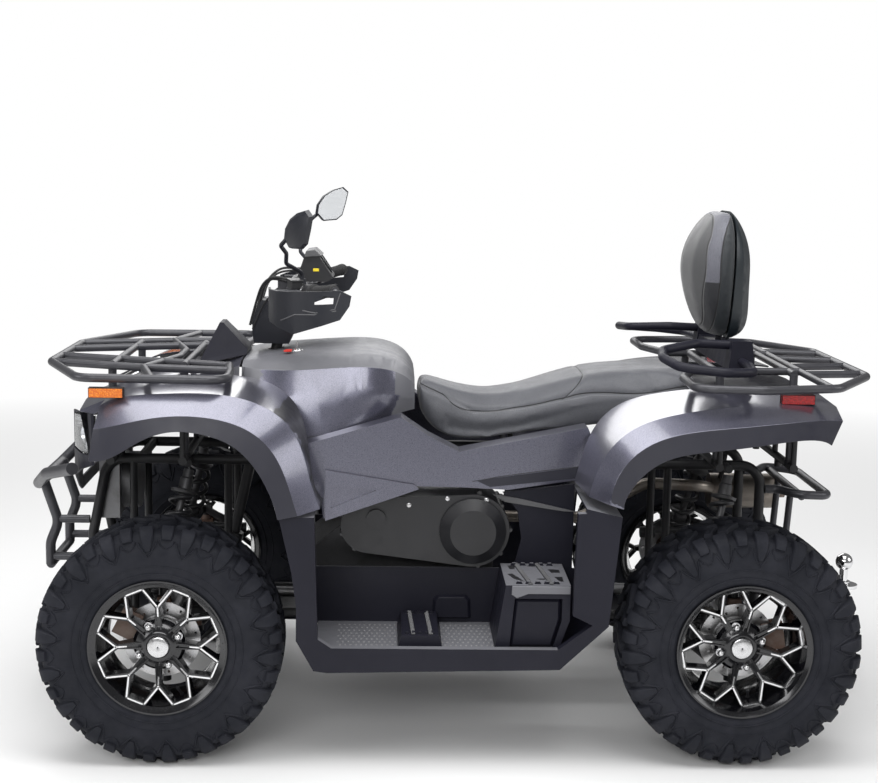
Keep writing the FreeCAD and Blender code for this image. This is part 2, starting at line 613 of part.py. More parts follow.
def face_outline(shares):
    """Front points (y, z) from (out, up) shares."""
    return [(point.y, point.z) for point in (at(0, out, up) for out, up in shares)]


def front_fascia():
    """The black nose panel, with the grille slots and the two lamp openings."""
    sheet = plan_strip(FASCIA_PLAN_SHARES, FASCIA_WALL)
    half = face_outline(FASCIA_FACE_SHARES)
    outline = half + [(-y, z) for y, z in half[::-1] if y > 0]
    body = sheet.common(prism_x(outline, 0, OVERALL_LENGTH / 2))
    low = GRILLE_LOW_SHARE * DECK_HEIGHT
    pitch = (GRILLE_HIGH_SHARE * DECK_HEIGHT - low) / GRILLE_SLATS
    half_width = GRILLE_HALF_SHARE * HALF_WIDTH
    cutters = []
    for index in range(GRILLE_SLATS):
        base = low + pitch * index
        cutters.append(block(0, OVERALL_LENGTH / 2, -half_width, half_width, base + GRILLE_SLAT,
                             base + pitch))
    lamp = prism_x(face_outline(LAMP_FACE_SHARES), 0, OVERALL_LENGTH / 2)
    return body.cut(Part.makeCompound(cutters + both_sides(lamp)))


def headlamp():
    """The left headlamp: a body behind the fascia's opening, its face flush with the panel."""
    outline = face_outline(LAMP_FACE_SHARES)
    centre_y = sum(y for y, z in outline) / len(outline)
    centre_z = sum(z for y, z in outline) / len(outline)
    span = max(y for y, z in outline) - min(y for y, z in outline)
    shrink = 1 - 2 * SEAT_GAP / span
    inset = [(centre_y + (y - centre_y) * shrink, centre_z + (z - centre_z) * shrink) for y, z in outline]
    face = plan_strip(FASCIA_PLAN_SHARES, FASCIA_WALL)
    sheet = face.fuse(plan_strip(FASCIA_PLAN_SHARES, FASCIA_WALL - LAMP_DEPTH)).removeSplitter()
    return sheet.common(prism_x(inset, 0, OVERALL_LENGTH / 2))


# Side panels
SIDE_PANEL_SHARES = [(0.203, 0.690), (0.200, 0.810), (0.222, 0.836), (0.317, 0.876), (0.407, 0.915),
                     (0.455, 0.862), (0.512, 0.815), (0.618, 0.845), (0.742, 0.882), (0.754, 0.840),
                     (0.755, 0.800),
                     (0.740, 0.736), (0.600, 0.706), (0.520, 0.714), (0.425, 0.722), (0.272, 0.636),
                     (0.268, 0.690)]
SIDE_PANEL_PLAN_SHARES = [(0.760, 0.500), (0.600, 0.535), (0.512, 0.552), (0.415, 0.600), (0.275, 0.655),
                          (0.190, 0.640)]
SIDE_LIP_SHARES = [(0.222, 0.836), (0.317, 0.876), (0.407, 0.915), (0.455, 0.862), (0.512, 0.815),
                   (0.618, 0.845),
                   (0.742, 0.882), (0.742, 0.874), (0.618, 0.837), (0.512, 0.807), (0.455, 0.854),
                   (0.407, 0.907),
                   (0.317, 0.868), (0.222, 0.828)]
SIDE_LIP = 70.0
SIDE_RAIL_SHARES = [(0.276, 0.774), (0.433, 0.727), (0.440, 0.714), (0.276, 0.632)]
SIDE_RAIL_RAISE = 8.0
SIDE_RECESS_SHARES = [(0.286, 0.729), (0.365, 0.714), (0.286, 0.668)]


def side_panel():
    """The left side panel under the console and seat, with its inward lip and a raised three-cornered rim."""
    sheet = plan_strip(SIDE_PANEL_PLAN_SHARES, PANEL_WALL)
    panel = sheet.common(prism_y(side_outline(SIDE_PANEL_SHARES), 0, HALF_WIDTH))
    shelf = moved(plan_strip(SIDE_PANEL_PLAN_SHARES, -SIDE_LIP), 0, PANEL_WALL / 2)
    lip = shelf.common(prism_y(side_outline(SIDE_LIP_SHARES), 0, HALF_WIDTH))
    raised = plan_strip(SIDE_PANEL_PLAN_SHARES, PANEL_WALL + SIDE_RAIL_RAISE)
    recess = prism_y(side_outline(SIDE_RECESS_SHARES), 0, HALF_WIDTH)
    rail = raised.common(prism_y(side_outline(SIDE_RAIL_SHARES), 0, HALF_WIDTH)).cut(recess)
    return fused([panel, lip, rail])


# Seat and backrest
SEAT_STATION_SHARES = [
    (0.439, 0.17, 0.977, 0.889), (0.486, 0.23, 0.953, 0.821), (0.551, 0.27, 0.932, 0.811),
    (0.608, 0.29, 0.937, 0.826),
    (0.757, 0.315, 0.998, 0.858), (0.878, 0.325, 1.017, 0.895), (0.946, 0.315, 1.017, 0.947),
    (0.959, 0.29, 1.005, 0.953)]
SEAT_SECTION_SHARES = [(0.0, 1.0), (0.55, 0.985), (0.86, 0.86), (1.0, 0.50), (0.93, 0.0)]


def seat():
    """The long two-level seat, a closed cushion."""
    sections = []
    for back, out, top, low in SEAT_STATION_SHARES:
        half = [(back, across * out, low + rise * (top - low)) for across, rise in SEAT_SECTION_SHARES]
        sections.append(across_section(half))
    return skin(sections)


BACKREST_STATION_SHARES = [
    (1.112, 0.994, 1.041, 0.13), (1.149, 0.966, 1.062, 0.20), (1.221, 0.946, 1.065, 0.255),
    (1.310, 0.936, 1.064, 0.29),
    (1.400, 0.950, 1.054, 0.28), (1.458, 0.976, 1.034, 0.22), (1.479, 0.992, 1.022, 0.14)]
BACKREST_SPLIT_SHARE = 1.018
BACKREST_SIDES = 12


def backrest():
    """The egg-shaped backrest as one closed form."""
    sections = []
    for up, front, rear, out in BACKREST_STATION_SHARES:
        middle = at((front + rear) / 2, 0, up)
        half_depth = (rear - front) / 2 * WHEELBASE
        ring = []
        for index in range(BACKREST_SIDES):
            angle = 2 * math.pi * index / BACKREST_SIDES
            ring.append(middle + vec(half_depth * math.cos(angle), out * HALF_WIDTH * math.sin(angle), 0))
        sections.append(ring)
    return skin(sections)


def backrest_halves():
    """The padded front and the moulded rear shell, split across at one plane."""
    body = backrest()
    split = at(BACKREST_SPLIT_SHARE, 0, 0).x
    front = block(split, split + WHEELBASE, -HALF_WIDTH, HALF_WIDTH, 0, DECK_HEIGHT * 2)
    return body.common(front), body.cut(front)


# Footwells
FOOTWELL_OUTER_Y = 556.0
FOOTWELL_INNER_Y = 250.0
FOOTWELL_WALL = 6.0
FOOTWELL_RIM = 22.0
FOOTWELL_TYRE_GAP = 8.0
FOOTWELL_FLOOR_SHARE = 0.315
INNER_SKIRT_Y = 296.0
INNER_SKIRT_TOP_SHARE = 0.475
INNER_PANEL_SHARES = [(0.614, 0.470), (0.628, 0.560), (0.620, 0.640), (0.592, 0.694), (0.722, 0.720),
                      (0.722, 0.470)]
FOOTWELL_OUTER_SHARES = [(0.262, 0.681), (0.202, 0.681), (0.224, 0.530), (0.232, 0.440), (0.232, 0.345),
                         (0.262, 0.262),
                         (0.285, 0.257), (0.684, 0.270), (0.766, 0.391), (0.783, 0.690), (0.722, 0.712)]
FOOTWELL_OPENING_SHARES = [(0.262, 0.685), (0.269, 0.350), (0.292, 0.326), (0.680, 0.326), (0.738, 0.394),
                           (0.704, 0.420), (0.708, 0.716)]
DRIVER_PEG_SHARES = [(0.405, 0.312), (0.412, 0.350), (0.476, 0.350), (0.483, 0.312)]
STEP_SHARES = [(0.573, 0.312), (0.590, 0.492), (0.702, 0.492), (0.702, 0.395), (0.683, 0.312)]
STEP_HOLLOW_SHARES = [(0.598, 0.312), (0.606, 0.455), (0.688, 0.455), (0.688, 0.395), (0.673, 0.312)]
PEG_INNER_Y = 310.0
PEG_OUTER_Y = 520.0
PEG_TEETH = 5
PEG_TOOTH = 7.0
STEERED_SHOULDER = TYRE_RADIUS - LUG_DEPTH
TYRE_REACH = (STEERED_SHOULDER * math.cos(math.radians(FULL_LOCK))
              + (KINGPIN_OFFSET + FRONT_TYRE_WIDTH / 2) * math.sin(math.radians(FULL_LOCK)))


def toothed_ribs(shares, top_share):
    """Two lengthways rails of teeth on top of a peg, each across the whole peg's length."""
    outline = side_outline(shares)
    low_x = min(x for x, z in outline)
    high_x = max(x for x, z in outline)
    top = top_share * DECK_HEIGHT
    inset = (high_x - low_x) * 0.14
    pitch = (high_x - low_x - inset * 2) / PEG_TEETH
    teeth = []
    for y in (PEG_INNER_Y + PEG_TOOTH * 2, PEG_OUTER_Y - PEG_TOOTH * 3):
        for index in range(PEG_TEETH):
            start = low_x + inset + pitch * index
            profile = [(start, top - PEG_TOOTH), (start + pitch * 0.3, top + PEG_TOOTH),
                       (start + pitch * 0.7, top + PEG_TOOTH),
                       (start + pitch, top - PEG_TOOTH)]
            teeth.append(prism_y(profile, y, y + PEG_TOOTH * 1.2))
    return teeth


def footwell():
    """The left footwell: mudguard walls, floor, outer rim, both pegs and the inner skirt."""
    boot_front = FRONT_AXLE_X - TYRE_REACH - FOOTWELL_TYRE_GAP
    outer = [(min(x, boot_front) if z < DECK_HEIGHT / 2 else x, z)
             for x, z in side_outline(FOOTWELL_OUTER_SHARES)]
    shell = prism_y(outer, FOOTWELL_INNER_Y, FOOTWELL_OUTER_Y)
    opening = side_outline(FOOTWELL_OPENING_SHARES)
    hollow = []
    for index, (x, z) in enumerate(outer):
        before = outer[index - 1]
        after = outer[(index + 1) % len(outer)]
        hollow.append(pushed_in((x, z), before, after, FOOTWELL_WALL))
    floor_top = FOOTWELL_FLOOR_SHARE * DECK_HEIGHT
    top = outer[0][1] + OVERRUN
    inner_space = prism_y([hollow[0], hollow[1], hollow[2], hollow[3], hollow[4], hollow[5], hollow[6],
                           hollow[7], hollow[8],
                           hollow[9], hollow[10]], FOOTWELL_INNER_Y - OVERRUN,
                           FOOTWELL_OUTER_Y - FOOTWELL_RIM)
    through = prism_y(opening, FOOTWELL_INNER_Y - OVERRUN, FOOTWELL_OUTER_Y + OVERRUN)
    mouth = prism_y([(outer[0][0], top), (outer[0][0], outer[0][1] - FOOTWELL_WALL * 2),
                     (outer[10][0], outer[10][1] - FOOTWELL_WALL * 2),
                     (outer[10][0], outer[10][1] + OVERRUN)],
                    FOOTWELL_INNER_Y - OVERRUN, FOOTWELL_OUTER_Y + OVERRUN)
    shell = shell.cut(Part.makeCompound([inner_space])).cut(through).cut(mouth)
    floor = block(outer[7][0], outer[5][0], INNER_SKIRT_Y, FOOTWELL_OUTER_Y - FOOTWELL_WALL,
                  floor_top - FOOTWELL_WALL, floor_top)
    skirt = block(hollow[8][0], hollow[4][0], INNER_SKIRT_Y - FOOTWELL_WALL, INNER_SKIRT_Y,
                  floor_top - FOOTWELL_WALL,
                  INNER_SKIRT_TOP_SHARE * DECK_HEIGHT)
    rear_panel = prism_y(side_outline(INNER_PANEL_SHARES), INNER_SKIRT_Y - FOOTWELL_WALL, INNER_SKIRT_Y)
    peg = prism_y(side_outline(DRIVER_PEG_SHARES), PEG_INNER_Y, PEG_OUTER_Y)
    step = prism_y(side_outline(STEP_SHARES), PEG_INNER_Y, PEG_OUTER_Y)
    step_hollow = prism_y(side_outline(STEP_HOLLOW_SHARES), PEG_INNER_Y - OVERRUN, PEG_OUTER_Y + OVERRUN)
    teeth = toothed_ribs(DRIVER_PEG_SHARES, DRIVER_PEG_SHARES[1][1]) + toothed_ribs(STEP_SHARES[1:3],
        STEP_SHARES[1][1])
    return fused([shell, floor, skirt, rear_panel, peg, step.cut(step_hollow)] + teeth)


def pushed_in(corner, before, after, wall):
    """A corner of a clockwise or anticlockwise outline moved inwards by a wall."""
    first = (corner[0] - before[0], corner[1] - before[1])
    second = (after[0] - corner[0], after[1] - corner[1])
    first_length = math.hypot(*first)
    second_length = math.hypot(*second)
    first_normal = (-first[1] / first_length, first[0] / first_length)
    second_normal = (-second[1] / second_length, second[0] / second_length)
    along = (first_normal[0] + second_normal[0], first_normal[1] + second_normal[1])
    scale = wall / (1 + first_normal[0] * second_normal[0] + first_normal[1] * second_normal[1])
    return corner[0] - along[0] * scale, corner[1] - along[1] * scale


# Racks, bumper and handles
RACK_TUBE = 11.0
RACK_BAR_TUBE = 10.2
RACK_CROSS_TUBE = 9.6
RACK_BEND = 55.0
RACK_LEG_Y = 240.0
FRONT_RACK_SHARE = 1.032
FRONT_RACK_RAIL_SHARES = [(0.098, 0.395), (0.108, 0.610), (0.112, 0.852), (-0.139, 0.822), (-0.224, 0.339)]
FRONT_RACK_BAR_SHARES = [[(0.104, 0.560), (-0.049, 0.492), (-0.224, 0.345)],
                         [(0.098, 0.395), (-0.011, 0.305), (-0.224, 0.127)]]
FRONT_RACK_CROSS_SHARES = [(-0.049, 0.490), (-0.006, 0.120), (-0.006, -0.120), (-0.049, -0.490)]
FRONT_RACK_BRACE_SHARES = [(-0.049, 0.492), (-0.014, 0.838)]
FRONT_LEG_SHARES = [-0.110, 0.018]
REAR_RACK_SHARE = 1.030
REAR_RACK_RAIL_SHARES = [(0.940, 0.310), (0.906, 0.560), (0.904, 0.880), (1.020, 0.910), (1.156, 0.820),
                         (1.250, 0.440)]
REAR_RACK_CROSS_SHARE = 1.142
REAR_RACK_BAR_SHARES = [[(1.250, 0.100), (1.142, 0.150)], [(1.250, 0.360), (1.142, 0.400)],
                        [(1.142, 0.310), (0.940, 0.310)]]
REAR_LEG_SHARES = [0.985, 1.120]
FRAME_PAD_Z = 742.0
FRAME_PAD = 5.0


def flat_tube(shares, up_share, bend=RACK_BEND, radius=RACK_TUBE):
    """A bent tube lying level, through (back, out) shares."""
    return bent_tube([at(back, out, up_share) for back, out in shares], radius, bend)


def rack_legs(leg_shares, up_share):
    """Upright legs from the rack's bars down to the pads on the frame."""
    legs = []
    for back in leg_shares:
        top = at(back, 0, up_share)
        foot = vec(top.x, RACK_LEG_Y, FRAME_PAD_Z + FRAME_PAD)
        legs += both_sides(Part.makeCylinder(RACK_TUBE, top.z - foot.z, foot, Z_AXIS))
        legs.append(bar_between(vec(top.x, RACK_LEG_Y, top.z), vec(top.x, -RACK_LEG_Y, top.z),
                                RACK_TUBE * 0.9))
    return legs


def front_rack():
    """The front carrier: one outer rail, four fanned bars, a bowed cross bar, two braces and four legs."""
    ring = FRONT_RACK_RAIL_SHARES + [(back, -out) for back, out in FRONT_RACK_RAIL_SHARES[::-1]]
    pieces = [flat_tube(ring, FRONT_RACK_SHARE)]
    for shares in FRONT_RACK_BAR_SHARES + [FRONT_RACK_BRACE_SHARES]:
        pieces += both_sides(flat_tube(shares, FRONT_RACK_SHARE, radius=RACK_BAR_TUBE))
    pieces.append(flat_tube(FRONT_RACK_CROSS_SHARES, FRONT_RACK_SHARE, radius=RACK_CROSS_TUBE))
    return fused(pieces + rack_legs(FRONT_LEG_SHARES, FRONT_RACK_SHARE))


def rear_rack():
    """The rear carrier: one outer rail with cut corners, a cross bar, lengthways bars and four legs."""
    ring = REAR_RACK_RAIL_SHARES + [(back, -out) for back, out in REAR_RACK_RAIL_SHARES[::-1]]
    pieces = [flat_tube(ring, REAR_RACK_SHARE)]
    cross = at(REAR_RACK_CROSS_SHARE, 0.82, REAR_RACK_SHARE)
    pieces.append(bar_between(cross, vec(cross.x, -cross.y, cross.z), RACK_CROSS_TUBE))
    for shares in REAR_RACK_BAR_SHARES:
        pieces += both_sides(flat_tube(shares, REAR_RACK_SHARE, radius=RACK_BAR_TUBE))
    return fused(pieces + rack_legs(REAR_LEG_SHARES, REAR_RACK_SHARE))


BUMPER_TUBE = 16.0
BUMPER_BEND = 60.0
BUMPER_HOOP_SHARES = [(-0.160, 0.705, 0.773), (-0.225, 0.470, 0.728), (-0.2603, 0.250, 0.670)]
BUMPER_POST_SHARES = [(-0.255, 0.212, 0.680), (-0.228, 0.212, 0.551), (-0.244, 0.212, 0.490),
                      (-0.244, 0.212, 0.425)]
BUMPER_STRUT_HEIGHT_SHARES = [0.560, 0.448]


def front_bumper(rails):
    """The bull bar: a swept hoop, two posts with a low cross bar, and struts back to the frame's rails."""
    half = at_all(BUMPER_HOOP_SHARES)
    half[-1].x = OVERALL_LENGTH / 2 - BUMPER_TUBE
    hoop = bent_tube(half + [vec(point.x, -point.y, point.z) for point in half[::-1]], BUMPER_TUBE,
                     BUMPER_BEND)
    posts = both_sides(bent_tube(at_all(BUMPER_POST_SHARES), BUMPER_TUBE * 0.85, BUMPER_BEND))
    struts = []
    for up in BUMPER_STRUT_HEIGHT_SHARES:
        root = at(BUMPER_POST_SHARES[2][0], 0, up)
        struts.append(stay(vec(root.x - BUMPER_TUBE * 0.6, FRAME_RAIL_Y, root.z), -X_AXIS,
                           BUMPER_TUBE * 0.7, rails))
    struts = [piece for strut in struts for piece in both_sides(strut)]
    low = at(*BUMPER_POST_SHARES[3])
    cross = bar_between(low, vec(low.x, -low.y, low.z), BUMPER_TUBE * 0.8)
    return fused([hoop, cross] + posts + struts)


HANDLE_TUBE = 12.0
HANDLE_SHARES = [(1.016, 0.360, 1.108), (0.945, 0.360, 1.112), (0.872, 0.480, 1.100), (0.862, 0.640, 1.092),
                 (0.880, 0.800, 1.080),
                 (0.960, 0.850, 1.070), (1.010, 0.780, 1.066), (1.022, 0.560, 1.066)]
HANDLE_BEND = 45.0
HANDLE_BEAM_SHARES = [(0.998, 0.0), (1.004, 1.0), (1.040, 1.0), (1.046, 0.0)]
HANDLE_BEAM_RISE = 46.0
HANDLE_HORN_RISE = 78.0
HANDLE_BEAM_Y = 250.0
HANDLE_HORN_Y = 190.0
BACKREST_STEM_Y = 45.0
BACKREST_STEM_RADIUS = 10.0


def grab_handles(seat_back):
    """The two grab loops, the cast beam that joins them, and the two stems that carry the backrest."""
    loops = both_sides(bent_tube(at_all(HANDLE_SHARES), HANDLE_TUBE, HANDLE_BEND))
    foot = REAR_RACK_SHARE * DECK_HEIGHT + RACK_BAR_TUBE + SEAT_GAP
    line = [(at(back, 0, 0).x, rise) for back, rise in HANDLE_BEAM_SHARES]
    beam = prism_y([(x, foot + rise * HANDLE_BEAM_RISE) for x, rise in line], -HANDLE_BEAM_Y, HANDLE_BEAM_Y)
    horns = both_sides(prism_y([(x, foot + rise * HANDLE_HORN_RISE) for x, rise in line], HANDLE_HORN_Y,
                               HANDLE_BEAM_Y))
    last = at(*HANDLE_SHARES[-1])
    spurs = both_sides(bar_between(vec(last.x, HANDLE_HORN_Y, foot + HANDLE_BEAM_RISE / 2), last,
                                   HANDLE_TUBE * 0.9))
    root = vec(last.x, 0, foot + HANDLE_BEAM_RISE / 2)
    stems = []
    for side in (-1, 1):
        start = vec(root.x, side * BACKREST_STEM_Y, root.z)
        stems.append(stay(start, Z_AXIS, BACKREST_STEM_RADIUS, seat_back))
    return fused(loops + [beam] + horns + spurs + stems)


# Engine, covers and exhaust
ENGINE_SHARES = [(0.237, 0.310), (0.237, 0.480), (0.300, 0.560), (0.330, 0.690), (0.560, 0.700),
                 (0.585, 0.560),
                 (0.585, 0.420), (0.560, 0.310)]
ENGINE_HALF_WIDTH = 150.0
BELT_COVER_OUT = 175.0
BELT_DOME_SHARES = (0.5385, 0.589)
BELT_DOME_RADIUS = 98.0
BELT_DOME_RISE = 26.0
BELT_DOME_STEP = 8.0
BELT_NOSE_SHARES = (0.352, 0.600)
BELT_NOSE_RADIUS = 74.0
BELT_LEVER_SHARES = (0.365, 0.621)
BELT_LEVER_RADIUS = 26.0
BELT_BOLT_COUNT = 9
BELT_BOLT_RADIUS = 8.0


def engine():
    """The crankcase and leaning cylinder as one plain block."""
    return prism_y(side_outline(ENGINE_SHARES), -ENGINE_HALF_WIDTH, ENGINE_HALF_WIDTH)


def belt_cover():
    """The belt drive's cover: an outline round two pulleys, a stepped dome, a lever boss and screw bosses."""
    dome = at(BELT_DOME_SHARES[0], 0, BELT_DOME_SHARES[1])
    nose = at(BELT_NOSE_SHARES[0], 0, BELT_NOSE_SHARES[1])
    low_y = ENGINE_HALF_WIDTH
    high_y = low_y + BELT_COVER_OUT
    run = nose - dome
    tilt = math.atan2(run.z, run.x)
    lean = math.acos((BELT_DOME_RADIUS - BELT_NOSE_RADIUS) / run.Length)
    flank = []
    for angle in (tilt + lean, tilt - lean):
        normal = vec(math.cos(angle), 0, math.sin(angle))
        flank.append((dome + normal * BELT_DOME_RADIUS, nose + normal * BELT_NOSE_RADIUS))
    body = prism_y([(flank[0][0].x, flank[0][0].z), (flank[0][1].x, flank[0][1].z),
                    (flank[1][1].x, flank[1][1].z), (flank[1][0].x, flank[1][0].z)], low_y, high_y)
    rounds = [Part.makeCylinder(BELT_DOME_RADIUS, BELT_COVER_OUT, vec(dome.x, low_y, dome.z), Y_AXIS),
              Part.makeCylinder(BELT_NOSE_RADIUS, BELT_COVER_OUT, vec(nose.x, low_y, nose.z), Y_AXIS)]
    cap = spun_y([(0, high_y - OVERRUN), (BELT_DOME_RADIUS * 0.9, high_y - OVERRUN),
                  (BELT_DOME_RADIUS * 0.9, high_y + BELT_DOME_STEP),
                  (BELT_DOME_RADIUS * 0.62, high_y + BELT_DOME_RISE), (0, high_y + BELT_DOME_RISE)], dome.x,
                  0, dome.z)
    bolts = []
    for index in range(BELT_BOLT_COUNT):
        angle = 2 * math.pi * (index + 0.5) / BELT_BOLT_COUNT
        side = vec(math.cos(angle), 0, math.sin(angle))
        along = dome if side.dot(run) < 0 else nose
        radius = BELT_DOME_RADIUS if along is dome else BELT_NOSE_RADIUS
        place = along + side * (radius - BELT_BOLT_RADIUS * 0.2)
        bolts.append(Part.makeCylinder(BELT_BOLT_RADIUS, BELT_COVER_OUT * 0.92,
                                       vec(place.x, low_y, place.z), Y_AXIS))
    lever = at(BELT_LEVER_SHARES[0], 0, BELT_LEVER_SHARES[1])
    boss = Part.makeCylinder(BELT_LEVER_RADIUS, BELT_DOME_STEP + OVERRUN,
                             vec(lever.x, high_y - OVERRUN, lever.z), Y_AXIS)
    return fused([body, cap, boss] + rounds + bolts)


EXHAUST_PIPE = 17.0
EXHAUST_BEND = 70.0
EXHAUST_SHARES = [(0.330, -0.180, 0.640), (0.330, -0.310, 0.640), (0.450, -0.330, 0.500),
                  (0.780, -0.330, 0.500),
                  (0.905, -0.275, 0.620), (1.015, -0.224, 0.620), (1.060, -0.345, 0.590)]
MUFFLER_RADIUS = 52.0
MUFFLER_SHARES = [(1.040, -0.347, 0.590), (1.172, -0.347, 0.590)]
TAILPIPE_REACH = 34.0
TAILPIPE_RADIUS = 20.0


def exhaust():
    """The exhaust pipe along the right side and its round silencer with an open tailpipe."""
    start = vec(at(*EXHAUST_SHARES[0]).x, -ENGINE_HALF_WIDTH, at(*EXHAUST_SHARES[0]).z)
    pipe = bent_tube([start] + at_all(EXHAUST_SHARES[1:]), EXHAUST_PIPE, EXHAUST_BEND)
    front, back = at_all(MUFFLER_SHARES)
    can = bar_between(front, back, MUFFLER_RADIUS)
    end = back - X_AXIS * TAILPIPE_REACH
    tail = bar_between(back, end, TAILPIPE_RADIUS)
    hollow = bar_between(back + X_AXIS * TAILPIPE_REACH, end - X_AXIS * OVERRUN, TAILPIPE_RADIUS * 0.8)
    return fused([pipe, can, tail]).cut(hollow)


# Suspension and driveline
ARM_TUBE = 11.0
ARM_SPREAD = 130.0
LOWER_ARM_LIFT = 50.0
UPPER_ARM_LIFT = 28.0
ARM_DROP = 5.0
LOWER_BRACE_SHARE = 0.42
UPPER_BRACE_SHARE = 0.12
ARM_BUSH = 16.5
FRAME_RAIL_Y = 125.0
FRAME_TUBE = 14.0
ARM_INNER_Y = FRAME_RAIL_Y + FRAME_TUBE + ARM_BUSH + SEAT_GAP
LOWER_RAIL_Z = 270.0
UPPER_RAIL_Z = 705.0
SHOCK_BODY = 15.0
SHOCK_LEG_SHARE = 0.49
SHOCK_BACK = 27.0
SHOCK_HIGH_Y = 172.0
SHOCK_LUG_TUBE = 11.0
SHOCK_SPRING = 28.0
SHOCK_WIRE = 5.0
SHOCK_COILS = 6
SHOCK_SHARES = (0.26, 0.88)
CV_BALL_RADIUS = 28.0
SHAFT_RADIUS = 12.0
DIFF_HALF_WIDTH = 84.0
DIFF_RADIUS = 54.0
PROP_SHAFT_RADIUS = 14.0
PROP_SHAFT_Z = 292.0


def suspension_arms(axle_x, kingpin_y):
    """Upper and lower A-arms of one left wheel, from the ball joints in to the frame's rails."""
    pieces = []
    for side, lift, share in ((-1, LOWER_ARM_LIFT, LOWER_BRACE_SHARE),
                              (1, UPPER_ARM_LIFT, UPPER_BRACE_SHARE)):
        joint_z = AXLE_Z + side * BALL_JOINT_REACH
        ball = vec(axle_x, kingpin_y, joint_z + side * (SEAT_GAP + ARM_DROP + ARM_TUBE))
        inner_z = joint_z + lift
        feet = [vec(axle_x + end * ARM_SPREAD, ARM_INNER_Y, inner_z) for end in (-1, 1)]
        pieces += [bar_between(foot, ball, ARM_TUBE) for foot in feet]
        far = ball + Z_AXIS * side * ARM_TUBE
        pieces.append(Part.makeCylinder(BALL_JOINT_RADIUS, ARM_TUBE * 2 + ARM_DROP, far, -Z_AXIS * side))
        pieces.append(bar_between(feet[0] + (ball - feet[0]) * share, feet[1] + (ball - feet[1]) * share,
                                  ARM_TUBE * 0.9))
        pieces += [Part.makeCylinder(ARM_BUSH, ARM_TUBE * 4, foot - vec(ARM_TUBE * 2, 0, 0), X_AXIS)
                   for foot in feet]
    return fused(pieces)


def shock(axle_x, kingpin_y, arms):
    """A left coil-over shock on an arm's front leg: damper, spring seats and a ribbed spring."""
    leg = vec(axle_x + ARM_SPREAD, ARM_INNER_Y, AXLE_Z)
    leg += (vec(axle_x, kingpin_y, AXLE_Z) - leg) * SHOCK_LEG_SHARE
    eye = Part.makeCylinder(SHOCK_BODY, SHOCK_BODY * 2, leg - X_AXIS * SHOCK_BODY, X_AXIS)
    low = settled(eye, -Z_AXIS, arms).CenterOfMass
    high = vec(axle_x - SHOCK_BACK, SHOCK_HIGH_Y, UPPER_RAIL_Z - SHOCK_LUG_TUBE - SEAT_GAP - SHOCK_BODY)
    run = high - low
    direction = vec(run.x, run.y, run.z).normalize()
    pieces = [bar_between(low, high, SHOCK_BODY * 0.7)]
    for place in (low, high):
        pieces.append(Part.makeCylinder(SHOCK_BODY, SHOCK_BODY * 2, place - X_AXIS * SHOCK_BODY, X_AXIS))
    first = low + run * SHOCK_SHARES[0]
    length = run.Length * (SHOCK_SHARES[1] - SHOCK_SHARES[0])
    pitch = length / SHOCK_COILS
    valley = SHOCK_SPRING - SHOCK_WIRE
    profile = [vec(0, 0, 0)]
    for index in range(SHOCK_COILS):
        base = pitch * index
        profile += [vec(SHOCK_SPRING, 0, base), vec(SHOCK_SPRING, 0, base + pitch * 0.4),
                    vec(valley, 0, base + pitch * 0.55),
                    vec(valley, 0, base + pitch * 0.85)]
    profile += [vec(SHOCK_SPRING, 0, length), vec(0, 0, length)]
    spring = Part.Face(closed_wire(profile)).revolve(ORIGIN, Z_AXIS, FULL_TURN)
    spring.Placement = FreeCAD.Placement(first, FreeCAD.Rotation(Z_AXIS, direction))
    return fused(pieces + [spring])


def driveline(engine_block):
    """Gear cases, propeller shafts and four half shafts, each with a ball in its hub carrier."""
    pieces = []
    for axle_x, wheel_y in ((FRONT_AXLE_X, FRONT_WHEEL_Y), (REAR_AXLE_X, REAR_WHEEL_Y)):
        inner = DIFF_HALF_WIDTH
        pieces.append(Part.makeCylinder(DIFF_RADIUS, inner * 2, vec(axle_x, -inner, AXLE_Z), Y_AXIS))
        for side in (-1, 1):
            ball = vec(axle_x, side * (wheel_y - KINGPIN_OFFSET), AXLE_Z)
            pieces.append(bar_between(vec(axle_x, 0, AXLE_Z), ball, SHAFT_RADIUS))
            pieces.append(Part.makeSphere(CV_BALL_RADIUS, ball))
            boot = vec(axle_x, side * inner, AXLE_Z)
            pieces.append(Part.makeCone(SHAFT_RADIUS * 2.6, SHAFT_RADIUS * 1.3, SHAFT_RADIUS * 4, boot,
                                        Y_AXIS * side))
    front = stay(vec(FRONT_AXLE_X, 0, PROP_SHAFT_Z), -X_AXIS, PROP_SHAFT_RADIUS, engine_block)
    rear = stay(vec(REAR_AXLE_X, 0, AXLE_Z), X_AXIS, PROP_SHAFT_RADIUS, engine_block)
    return fused(pieces + [front, rear])


# Frame, skid plate, hitch and rear guard
FRAME_BEND = 60.0
FRAME_FRONT_SHARE = -0.135
FRAME_NOSE_SHARE = -0.165
FRAME_REAR_X = REAR_AXLE_X - ARM_SPREAD
FRAME_HIGH_CROSS_SHARES = [-0.075, 0.300, 0.620, 0.860]
FRAME_LOW_CROSS_SHARES = [-0.135, 0.300, 0.520]
PEG_BAR_SHARES = [0.400, 0.600]
PEG_BAR_Y = 480.0
PEG_BAR_TUBE = 10.0
SKID_WALL = 4.0
SKID_HALF_WIDTH = 136.0
SKID_REAR_SHARE = 0.850
STAY_RADIUS = 8.0
OUTRIGGER_Y = 292.0
COLUMN_BEARING_RADIUS = 26.0
COLUMN_BEARING_LENGTH = 40.0


def rail_point(back_share, y, z):
    """A point of the frame at a share of the wheelbase behind the front axle."""
    return vec(at(back_share, 0, 0).x, y, z)


